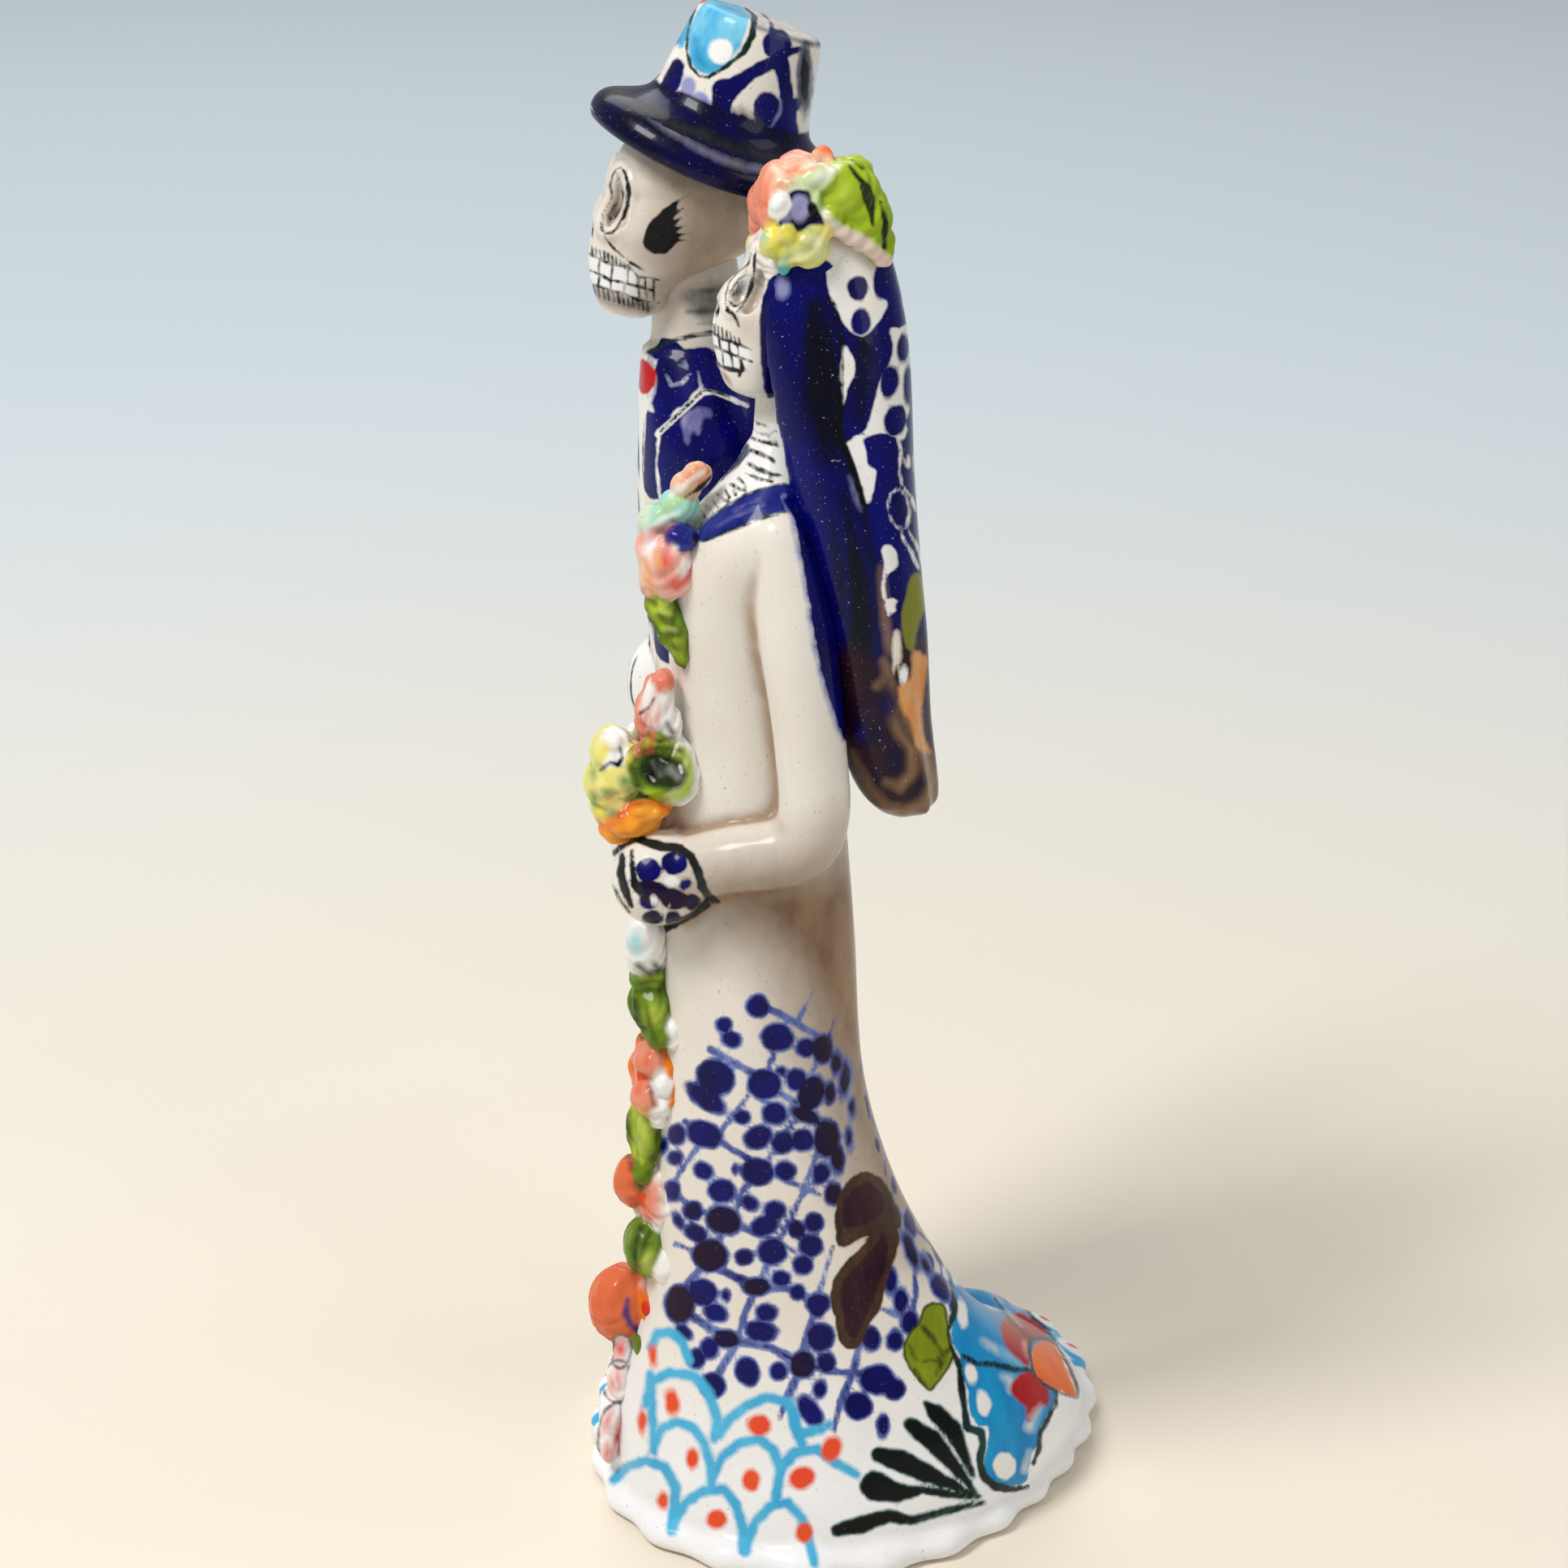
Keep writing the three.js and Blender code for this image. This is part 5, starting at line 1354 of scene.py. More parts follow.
def paint_veil():
    surface = Surface(make_veil())
    ground(surface, 0.6)
    x, y, _ = surface.points.T
    back = only(y > 2)
    inner = only((np.abs(x - BRIDE_X) < 15) & (y < 4))
    lining = inner - AWAY + np.abs(inner) * 2
    surface.lay(COBALT, NAVY, np.minimum(paint_blots(surface, 10.5, back), lining), 0.5)
    upper = Easel(surface, HEADS, -0.05, BRIDE_X)
    middle = Easel(surface, CHESTS, -0.05, BRIDE_X)
    whole = Easel(surface, WHOLE, -0.05, BRIDE_X)
    veil_side = [
        (925, 300), (1018, 300), (1100, 330), (1120, 480), (1128, 600), (1150, 780), (1165, 1010),
        (1100, 1030), (1010, 1000), (985, 760), (960, 560), (925, 400)]
    surface.lay(COBALT, NAVY, whole.patch(*veil_side), 0.6)
    # painted dark reflections: dark and black streaks down the veil's cobalt
    dark_reflections = [
        [(1006, 380, 14), (1012, 440, 26), (1014, 500, 28), (1024, 560, 17)],
        [(1040, 610, 8), (1052, 680, 12), (1064, 760, 19), (1056, 850, 22)],
        [(1060, 398, 8), (1066, 440, 13), (1060, 480, 13), (1058, 520, 6)],
        [(1024, 640, 4), (1034, 700, 9), (1040, 760, 5)],
        [(1022, 372, 5), (1034, 440, 6), (1036, 500, 6), (1032, 545, 5), (1050, 590, 5), (1063, 640, 6),
         (1076, 700, 7), (1086, 760, 4)]]
    surface.lay(INK, NAVY, whole.strokes(*dark_reflections), 3.0)
    black_reflections = [
        [(1004, 400, 6), (1010, 440, 14), (1012, 500, 16), (1018, 540, 8)],
        [(1054, 690, 5), (1064, 760, 9), (1056, 840, 9)]]
    surface.lay(INK, NIGHT, whole.strokes(*black_reflections), 2.0)
    # painted reflection of the warm floor at the lower back corner: a dark brown patch, with brown curls
    # where the folds catch it
    reflected_corner = [
        (1050, 800), (1088, 820), (1100, 790), (1130, 780), (1160, 800), (1160, 1010), (1080, 1015),
        (1026, 970), (1004, 890), (1012, 830)]
    surface.lay(AUBERGINE, OXBLOOD, whole.patch(*reflected_corner), 4.0, 0.95)
    reflected_curls = [
        [(1090, 815, 2), (1099, 846, 3.4), (1101, 887, 4), (1108, 905, 4), (1123, 922, 4.6),
         (1125, 952, 4.6), (1108, 969, 4), (1092, 964, 1.4)],
        [(1109, 868, 2), (1126, 903, 5), (1142, 936, 6), (1150, 965, 6), (1140, 990, 6), (1117, 1002, 5),
         (1093, 994, 3), (1071, 969, 1.6), (1051, 928, 1)],
        [(1080, 846, 2), (1089, 840, 2.4), (1096, 824, 1.4)],
        [(1086, 700, 1), (1090, 760, 2.4), (1096, 800, 2)]]
    surface.lay(UMBER, SIENNA, whole.strokes(*reflected_curls), 2.4, 0.85)
    corner_spots = [(1071, 903, 14, 15), (1094, 866, 11, 22), (1105, 935, 10, 17), (1134, 965, 5, 9)]
    surface.lay(NAVY, INK, whole.ovals(*corner_spots), 2.0, 0.9)
    corner_blues = [(1062, 904, 6, 8), (1096, 868, 4, 8)]
    surface.lay(COBALT, NAVY, whole.ovals(*corner_blues), 2.0, 0.8)
    top_white = [
        (748, 1010), (750, 860), (860, 850), (935, 960), (930, 1080), (972, 1122), (950, 1180),
        (905, 1238), (870, 1250), (822, 1214), (806, 1192), (788, 1150), (766, 1110)]
    side_white = [
        (1062, -10), (1085, 5), (1108, 45), (1108, 95), (1085, 140), (1062, 215), (1048, 150), (1052, 60)]
    edge_white = [
        (1097, 406), (1108, 404), (1121, 403), (1124, 440), (1120, 480), (1121, 520), (1112, 541),
        (1092, 534), (1076, 536), (1060, 542), (1042, 549), (1052, 538), (1067, 529), (1073, 510),
        (1079, 490), (1084, 470), (1094, 452), (1101, 430)]
    joint_white = [
        (1042, 547), (1062, 540), (1070, 572), (1079, 580), (1078, 596), (1072, 618), (1066, 616),
        (1056, 580), (1046, 556)]
    drop_white = [
        (1086, 677), (1092, 671), (1100, 673), (1106, 685), (1105, 700), (1096, 706), (1091, 716),
        (1090, 728), (1093, 739), (1087, 737), (1086, 714), (1090, 698), (1088, 685)]
    drop_tip = [(1093, 739), (1108, 738), (1102, 745), (1104, 751), (1094, 760), (1091, 748)]
    white_threads = [
        [(1090, 531, 1.6), (1104, 536, 1.6), (1110, 552, 1.4), (1113, 566, 1.4), (1120, 574, 2.8),
         (1119, 562, 1.4)],
        [(1110, 556, 1.2), (1108, 580, 1.4), (1112, 598, 1.4), (1124, 614, 1.6), (1129, 630, 1.2)],
        [(1106, 602, 1.6), (1096, 610, 1.4), (1094, 624, 1.4), (1098, 640, 1.6), (1106, 651, 1.6),
         (1117, 649, 1.6), (1121, 632, 1.6), (1117, 616, 1.4), (1110, 604, 1.4), (1106, 602, 1.6)],
        [(1119, 290, 1), (1116, 330, 1.4), (1120, 372, 1.2)],
        [(1112, 660, 1.4), (1122, 680, 2), (1132, 700, 1.4)],
        [(1120, 655, 1), (1130, 672, 1.6), (1138, 700, 1.4)]]
    white = np.minimum.reduce([
        upper.patch(*top_white),
        middle.patch(*side_white),
        whole.patch(*edge_white),
        whole.patch(*joint_white),
        whole.patch(*drop_white),
        whole.patch(*drop_tip),
        whole.strokes(*white_threads)])
    surface.lay(WHITE, IVORY, white, 0.45)
    # painted highlights: thin pale streaks of light on the veil's edge
    highlight_threads = [
        [(1048, 588, 1), (1055, 612, 3), (1061, 628, 1)],
        [(1133, 640, 1), (1141, 680, 3), (1147, 740, 4), (1149, 780, 1)]]
    surface.lay(SKY, LILAC, whole.strokes(*highlight_threads), 1.4, 0.7)
    top_spots = [(865, 1070, 39, 47), (876, 1196, 38, 52), (948, 1050, 28, 66)]
    surface.lay(COBALT, NAVY, upper.ovals(*top_spots), 0.5)
    edge_spots = [
        (1113, 429, 8, 19, 4), (1096, 470, 11, 21, 8), (1103, 518, 14, 20, 10), (1120, 474, 7, 26),
        (1124, 520, 8, 14), (1108, 627, 9, 20, 4)]
    surface.lay(NAVY, COBALT, whole.ovals(*edge_spots), 0.5)
    light_spot = [(585, 1068, 27, 38)]
    surface.lay(LILAC, SKY, upper.ovals(*light_spot), 1.2, 0.8)
    front_edge = [
        [(758, 1100, 4), (780, 1140, 7), (800, 1230, 8), (806, 1330, 7), (798, 1440, 7), (800, 1560, 6)]]
    back_fold = [
        [(1056, 40, 8), (1050, 200, 14), (1040, 330, 18), (1090, 430, 12), (1130, 560, 12), (1150, 640, 9)]]
    surface.lay(INK, INK, np.minimum(upper.strokes(*front_edge), middle.strokes(*back_fold)), 0.5)
    whole = Easel(surface, WHOLE, 0.08, BRIDE_X)
    olive_mark = [
        (1127, 706), (1139, 714), (1140, 747), (1131, 776), (1125, 800), (1115, 796), (1110, 767),
        (1115, 739), (1119, 718)]
    surface.lay(KHAKI, OLIVE, whole.patch(*olive_mark), 0.6)
    tan_mark = [(1102, 780), (1108, 776), (1111, 796), (1109, 821), (1102, 833), (1099, 804)]
    surface.lay(BISCUIT, IVORY, whole.patch(*tan_mark), 0.8)
    orange_mark = [
        (1125, 802), (1142, 811), (1140, 837), (1136, 870), (1138, 907), (1148, 928), (1130, 921),
        (1121, 889), (1110, 872), (1108, 846), (1122, 834)]
    surface.lay(BURNT_ORANGE, AMBER, whole.patch(*orange_mark), 0.8)
    mark_light = [(1113, 831, 5.5, 12, 8)]
    surface.lay(WHITE, WHITE, whole.ovals(*mark_light), 0.5)
    mark_line = [[(1114, 814, 1.2), (1106, 821, 2), (1104, 834, 2.2), (1108, 844, 1)]]
    surface.lay(INK, INK, whole.strokes(*mark_line), 0.5)
    hem_light = [
        [(868, 610, 3), (895, 680, 5), (925, 800, 6), (935, 930, 5), (960, 1090, 5), (1000, 1240, 5),
         (1050, 1360, 5)]]
    surface.lay(WHITE, SKY, middle.strokes(*hem_light), 0.9, 0.9)
    surface.finish("veil_glaze", stars=0.8)


def face_place(surface, middle, size, lean):
    """Each point's place on a skull's face: across, up and back, in millimetres at the groom's size."""
    rise = (surface.points[:, 2] - middle[2]) / size
    depth = (surface.points[:, 1] - middle[1]) / size - lean * (rise + 17)
    side = np.arctan2(surface.points[:, 0] - middle[0], -depth)
    return np.abs(side) * 14, rise, depth


def raise_rim(surface, line):
    """Lifts the clay along a painted line, as the modelled rim round an eye."""
    surface.press(0.8 * np.exp(-(np.maximum(line, 0) / 0.9) ** 2))


def hidden_teeth(surface, u, h, reach, unseen):
    """Upper and lower teeth on the side that the photograph doesn't show."""
    levels = ((-10.3, 0.26), (-13.7, 0.18), (-17, 0.12))
    rows = np.minimum.reduce([np.abs(h - level + slope * u) for level, slope in levels]) - 0.26
    gaps = np.abs((u + 1.15) % 2.3 - 1.15) - 0.26
    columns = np.maximum(gaps, np.maximum(h + 9.9 + 0.26 * u, -17.6 - 0.12 * u - h))
    root_ends = np.minimum(np.abs(h + 9.2 + 0.26 * u), np.abs(h + 18.4 + 0.12 * u)) - 1.1
    roots = np.maximum(np.abs((u + 0.4) % 1.15 - 0.575) - 0.16, root_ends)
    marks = np.minimum.reduce([rows, columns, roots])
    surface.lay(INK, SOOT, marks + np.maximum(u - reach, 0) * 3 + unseen, 0.35)


def paint_groom_skull():
    surface = Surface(make_skull("groom_skull", GROOM_HEAD, 1.0, 0.0, 1.0, 0))
    eye = [(765, 206, 1.6), (770, 213, 2), (773.6, 226, 2.4), (774.9, 239, 2.8), (773, 254, 2.5),
           (768, 268, 2.1), (762, 278, 1.9), (755, 286.6, 2), (747, 288, 2), (742, 283, 1.9),
           (741, 274, 1.8), (743, 264, 1.7), (747.5, 255, 1.6), (752.5, 246, 1.5), (753.7, 240, 1.4),
           (752.7, 229, 1.4), (755, 216, 1.4), (759, 209, 1.4), (765, 206, 1.6)]
    raise_rim(surface, Easel(surface, WHOLE, -0.3, GROOM_X).strokes(eye))
    ground(surface, 1.2)
    u, h, depth = face_place(surface, GROOM_HEAD, 1.0, 0.0)
    front = only(depth < 4)
    face = Easel(surface, WHOLE, -0.08, GROOM_X)
    shade_spots = [(772, 300, 24, 11, 20), (757, 246, 8, 14, 10)]
    surface.lay(UMBER, TAN, face.ovals(*shade_spots), 5.0, 0.40)
    # painted shadow of the hat's brim over the side of the skull
    brim_shadow = [
        (812, 222), (850, 212), (900, 240), (940, 268), (945, 345), (905, 380), (850, 372), (812, 352),
        (822, 300), (828, 255)]
    surface.lay(UMBER, THIN_UMBER, face.patch(*brim_shadow) * 0.5 - 0.5, 6.0, 0.75)
    brow_shade = [[(806, 198, 3), (850, 214, 8), (900, 238, 12), (940, 262, 10)]]
    surface.lay(COCOA, UMBER, face.strokes(*brow_shade) * 0.5, 4.0, 0.8)
    socket_shade = [(757, 262, 4.4, 9, 28), (761, 226, 2.6, 7, 10)]
    surface.lay(SOOT, PEWTER, face.ovals(*socket_shade), 1.6, 0.75)
    inner_ring = [(758, 224, 0.7), (763, 219, 0.9), (767, 230, 0.9), (767.5, 242, 0.9), (765, 255, 0.9),
                  (759, 267, 0.9), (752, 271, 0.9), (750, 266, 0.8), (754, 258, 0.8), (760, 249, 0.8),
                  (763, 243, 0.5)]
    nose_line = [(744.7, 291, 0.8), (754, 304, 0.9), (774, 322, 1.0), (798, 336, 0.6)]
    surface.lay(INK, SOOT, face.strokes(eye, inner_ring, nose_line), 0.35)
    # two rows of teeth between three lines, with the ticks of their roots
    lines = [
        [(725, 312, 1.3), (738, 319, 1.3), (754, 326, 1.3), (767, 327, 1.2), (777, 331, 1.2),
         (786, 341, 1.2), (800, 342, 1), (812, 345, 0.7)],
        [(726, 333, 1.3), (738, 337.5, 1.4), (751, 345, 1.4), (767, 348, 1.4), (782, 352, 1.4),
         (805, 358, 1)],
        [(727, 350, 1.5), (741, 354, 1.5), (754, 358, 1.5), (770, 362, 1.5), (787, 370, 1.5),
         (813, 373.5, 0.7)]]
    gums = [[(738.5, 319, 1.2), (737.5, 337, 1.2)], [(755, 326, 1.2), (753, 344, 1.3)],
            [(775, 331, 1.2), (773, 348, 1.3)], [(786, 341, 1.2), (786, 352, 1.2), (788.5, 370, 1.3)],
            [(805, 343, 1), (806, 373, 1)], [(739.5, 338, 1.2), (737, 352, 1.2)],
            [(753, 345, 1.3), (752, 358, 1.3)], [(770, 348, 1.3), (769, 362, 1.3)],
            [(795, 343, 0.8), (797, 371, 0.8)]]
    teeth_edge = [
        (725, 312), (738, 319), (754, 326), (777, 331), (786, 341), (786, 368), (770, 362), (741, 354),
        (727, 350)]
    surface.lay(WHITE, WHITE, face.patch(*teeth_edge), 0.5)
    chin_shade = [
        (728, 352), (754, 360), (787, 372), (806, 375), (802, 384), (779, 383), (754, 379), (736, 371)]
    surface.lay(SOOT, UMBER, face.patch(*chin_shade), 1.2, 0.6)
    upper_roots = [[(x, 303 + 0.5 * (x - 729), 0.7), (x + 1, 313 + 0.42 * (x - 729), 1.2)]
                   for x in range(729, 776, 5)]
    lower_roots = [[(x, 353 + 0.27 * (x - 731), 1.6), (x + 2, 364 + 0.3 * (x - 731), 1)]
                   for x in range(731, 803, 6)]
    surface.lay(INK, SOOT, face.strokes(*lines, *gums, *upper_roots, *lower_roots), 0.4)
    hidden_teeth(surface, u, h, 13.0, front + only(face.off >= 1))
    surface.lay(INK, TEAL, oval(u, h, 0.95, -6.2, 0.8, 1.9, -10) + front, 0.4)
    look = Easel(surface, HEADS, 0.0, GROOM_X)
    temple_edge = [
        (68, 885), (80, 842), (118, 802), (150, 775), (188, 748), (192, 790), (182, 812), (186, 850),
        (200, 880), (190, 908), (150, 942), (104, 942), (76, 918)]
    temple_wisps = [
        [(170, 775, 12), (200, 745, 6), (232, 728, 1)], [(175, 800, 10), (215, 776, 1)],
        [(175, 830, 10), (226, 800, 1)], [(180, 855, 11), (230, 836, 1)], [(185, 875, 11), (246, 866, 1)],
        [(180, 895, 10), (232, 892, 1)]]
    surface.lay(INK, INK, np.minimum(look.patch(*temple_edge), look.strokes(*temple_wisps)), 0.4)
    jaw_hatching = [
        [(255, 1086, 3), (310, 1076, 8), (372, 1058, 4), (420, 1030, 2)], [(300, 1040, 1), (380, 1030, 4)]]
    surface.lay(SOOT, PEWTER, look.strokes(*jaw_hatching), 1.2, 0.65)
    surface.finish("groom_skull_glaze")


def paint_bride_skull():
    surface = Surface(make_skull("bride_skull", BRIDE_HEAD, BRIDE_SIZE, BRIDE_LEAN, 0.5, 1, 0.27))
    eye = [(931.5, 304, 1.2), (929.5, 320, 1.5), (929, 334.5, 1.8), (926.7, 351, 1.8), (921, 365, 1.7),
           (915, 376.7, 1.4), (908, 384, 1.2), (898.5, 384, 1.3), (893.5, 374.4, 1.3), (894.6, 360.3, 1.2),
           (898.5, 347.4, 1.2), (909, 335.7, 1.1), (922, 325, 1.1), (926, 312, 0.8)]
    raise_rim(surface, Easel(surface, WHOLE, -0.3, BRIDE_X).strokes(eye))
    ground(surface, 1.2)
    u, h, depth = face_place(surface, BRIDE_HEAD, BRIDE_SIZE, BRIDE_LEAN)
    front = only(depth < 4)
    face = Easel(surface, WHOLE, -0.08, BRIDE_X)
    cheek_shade = [(920, 400, 12, 12)]
    surface.lay(UMBER, TAN, face.ovals(*cheek_shade), 4.0, 0.35)
    socket_shade = [(911, 356, 6.5, 15, 28)]
    surface.lay(SOOT, STEEL, face.ovals(*socket_shade), 1.6, 0.85)
    brow_hatching = [
        [(932, 321, 1.8), (940, 328, 1.4), (952, 331, 0.8)],
        [(931, 333, 1.8), (945, 335, 1.6), (953, 338, 0.8)], [(930, 345, 1.2), (939, 352, 1.4)],
        [(935, 340, 1.4), (948, 346, 0.8)], [(934, 310, 1.0), (946, 318, 0.8)]]
    surface.lay(SOOT, GREY, face.strokes(*brow_hatching), 0.8, 0.85)
    inner_ring = [(924, 337, 0.8), (910, 344, 0.9), (901, 358, 0.9), (898.5, 371, 0.9), (905.6, 378, 0.9),
                  (917, 371, 0.9), (923, 356, 0.9), (925.5, 342, 0.8), (924, 337, 0.8)]
    socket_lines = [[(904, 352, 1.2), (903, 366, 1)], [(909, 348, 1.2), (907, 364, 1)],
                    [(914, 346, 1), (912, 360, 0.8)]]
    surface.lay(INK, SOOT, face.strokes(eye, inner_ring, *socket_lines), 0.35)
    nose_mark = [[(896, 382, 2.4), (904, 388, 3.2), (908, 395, 2), (911, 403, 0.6)]]
    surface.lay(INK, PLUM, face.strokes(*nose_mark), 0.4)
    teeth_edge = [
        (879, 409), (889, 418), (901, 421), (921, 429), (924, 443), (916, 457), (901, 455), (890, 451),
        (881, 445)]
    surface.lay(WHITE, WHITE, face.patch(*teeth_edge), 0.5)
    teeth_lines = [
        [(878, 409, 1.8), (889, 417.7, 1.9), (901, 421, 2), (910, 425, 1.8), (926, 431, 0.8)],
        [(879, 426, 1.2), (889, 430.6, 1.4), (898.5, 435, 1.5), (910, 440, 1.6), (927, 446, 0.8)],
        [(881, 445, 1.8), (890, 451.7, 2.4), (901, 455, 2.8), (912.6, 457.6, 2.6), (919, 457, 1.4)],
        [(912.6, 444, 2.4), (915, 454, 3.2), (911, 463, 2.4)], [(886, 417, 1.2), (887.3, 431, 1.2)],
        [(898.5, 420, 1.2), (899, 435, 1.4)], [(909, 425, 1.4), (910.3, 440, 1.4)],
        [(889.6, 432, 1.2), (891.5, 452, 1.3)], [(901, 436, 1.3), (903, 454, 1.5)],
        [(880, 398, 0.8), (881, 409, 1.3)], [(884.5, 402, 0.8), (885.2, 414, 1.3)],
        [(889.6, 403.7, 0.8), (890.3, 417, 1.3)], [(895, 407, 0.8), (896, 420, 1.3)],
        [(899.7, 410, 0.8), (901.3, 421, 1.3)], [(904.4, 414, 0.8), (906.7, 423, 1.3)],
        [(910, 417, 0.7), (912, 426, 1.2)]]
    surface.lay(INK, SOOT, face.strokes(*teeth_lines), 0.35)
    chin_line = [[(889, 457, 1.4), (898, 470, 2), (902, 475, 1)]]
    surface.lay(INK, UMBER, face.strokes(*chin_line), 0.8, 0.8)
    hidden_teeth(surface, u, h, 9.0, front + only(face.off >= 1))
    surface.lay(INK, TEAL, oval(u, h, 0.95, -6.4, 0.8, 1.9, -10) + front, 0.4)
    # the veil's cobalt runs onto the side of the face
    veil_edge = [
        (955, 339), (1020, 322), (1060, 400), (1050, 500), (970, 500), (946, 490), (939, 455), (936, 420),
        (937, 385), (943, 358)]
    surface.lay(COBALT, NAVY, face.patch(*veil_edge), 0.5)
    surface.finish("bride_skull_glaze")


def paint_hat():
    surface = Surface(make_hat())
    ground(surface, 0.8)
    cosine, sine = math.cos(HAT_TILT), math.sin(HAT_TILT)
    x, y, z = (surface.points - HAT_SEAT).T
    y, z = y * cosine - z * sine, y * sine + z * cosine
    up = surface.normals[:, 1] * sine + surface.normals[:, 2] * cosine
    reach = np.hypot(x, y * 46 / 52)
    brim = np.minimum(z - 6.0 + 0.3 * np.sin(3 * np.arctan2(y, x)), 15.2 - reach + np.maximum(z - 9, 0))
    under = only((up < -0.1) & (z < 1))

    look = Easel(surface, HEADS, 0.0, GROOM_X)
    side_petal = [
        (238, 185), (246, 100), (285, 18), (350, -25), (440, -20), (466, 30), (456, 90), (436, 145),
        (405, 198), (372, 242), (325, 275), (288, 272), (252, 240)]
    front_petal = [(188, 172), (214, 96), (252, 42), (258, 60), (240, 128), (214, 176)]
    surface.lay(AQUA, PALE_AQUA, np.minimum(look.patch(*side_petal), look.patch(*front_petal)), 0.4)
    petal_shades = [
        [(262, 150, 14), (268, 215, 20), (312, 255, 18), (372, 228, 8), (420, 170, 8)],
        [(205, 160, 8), (232, 105, 6)]]
    surface.lay(CERULEAN, AQUA, look.strokes(*petal_shades), 1.8, 0.9)
    petal_spots = [(356, 190, 44, 48), (172, 205, 18, 40, 35)]
    surface.lay(WHITE, WHITE, look.ovals(*petal_spots), 0.7)
    petal_tip = [(292, 0, 22, 12, -20)]
    surface.lay(ORANGE, UMBER, look.ovals(*petal_tip), 0.5)
    petal_outline = [
        [(268, 10, 4), (245, 70, 5), (230, 130, 5), (230, 195, 5), (246, 250, 6), (278, 284, 5),
         (310, 286, 8), (372, 250, 7), (440, 196, 10), (474, 130, 14), (482, 60, 12), (470, 10, 9)],
        [(262, 40, 3), (220, 80, 3), (188, 160, 3), (168, 190, 3)], [(150, 222, 4), (100, 330, 4)]]
    surface.lay(INK, TEAL, look.strokes(*petal_outline), 0.4)
    front_blot = [(182, 222), (214, 226), (216, 280), (182, 350), (134, 345), (142, 290)]
    side_blot = [
        (332, 305), (400, 292), (446, 300), (432, 340), (396, 400), (392, 480), (335, 452), (322, 400)]
    blots = np.minimum(look.patch(*front_blot), look.patch(*side_blot))
    net_strokes = [
        [(400, 325, 34), (470, 272, 24), (560, 226, 26)], [(540, 78, 2), (546, 110, 14), (556, 140, 30)],
        [(600, 196, 20), (648, 182, 11)], [(578, 220, 30), (592, 300, 26), (606, 400, 28), (604, 520, 44)]]
    blots = np.minimum(blots, look.strokes(*net_strokes))
    net_knots = [(566, 166, 54, 60), (528, 408, 52, 68, 8), (636, 386, 17, 27)]
    blots = np.minimum(blots, look.ovals(*net_knots))
    low_blot = [(444, 470), (480, 440), (560, 430), (628, 440), (634, 580), (560, 620), (470, 560)]
    blots = np.minimum(blots, look.patch(*low_blot))
    surface.lay(COBALT, NAVY, blots, 0.5)
    knot_centres = [(526, 402, 44, 56, 8), (562, 168, 42, 46)]
    surface.lay(NAVY, COBALT, look.ovals(*knot_centres), 0.8, 0.9)
    lilac_spots = [(236, 322, 26, 36), (276, 392, 44, 52)]
    lilac_line = [[(470, 500, 3), (545, 470, 4), (575, 420, 4), (580, 370, 2)]]
    surface.lay(LILAC, SKY, np.minimum(look.ovals(*lilac_spots), look.strokes(*lilac_line)), 0.7)
    drop_rim = [(668, 298, 20, 84)]
    surface.lay(SOOT, LILAC, np.abs(look.ovals(*drop_rim)) - 0.6, 0.6)
    dark_drop = [(668, 298, 17, 80)]
    surface.lay(INK, INK, look.ovals(*dark_drop), 0.4)
    # the far side of the crown carries plain blots, and its top a dark rim
    behind = only((look.off > 1) & (z > 7))
    surface.lay(COBALT, NAVY, paint_blots(surface, 7.5, behind), 0.5)
    surface.lay(BLUE_BLACK, SLATE, np.abs(z - 22.4) - 0.45 + np.where(y > -3, 0, 3.0), 0.9, 0.9)

    surface.lay(NAVY, INK, brim + only(under >= 1), 0.6)
    inky = np.maximum(np.abs(reach - 19.6) - 1.7, -z)
    surface.lay(INK, SOOT, inky + only(up > 0.2) + np.maximum(z - 8, 0), 1.5, 0.9)
    # painted highlight along the rolled edge of the brim
    sag = 5.1 * (reach / 23) ** 2 * (0.5 + 0.5 * np.cos(2 * np.arctan2(y, x)))
    surface.lay(LILAC, PALE_LILAC, np.abs(z - 2.6 + sag) - 0.35 + only(reach > 20.6), 1.1, 0.4)
    # painted reflection: the warm floor shows brown on the underside of the brim
    surface.lay(UMBER, CLAY_BROWN, np.abs(reach - 17.5) - 1.0 + under, 2.4, 0.5)
    arc = np.maximum(np.abs(reach - 19.2) - 0.5, np.abs(x - 14) - 6)
    surface.lay(NAVY, INK, np.minimum(np.abs(reach - 15.2) - 0.5, arc) + under, 0.8)
    surface.finish("hat_glaze", stars=0.45)


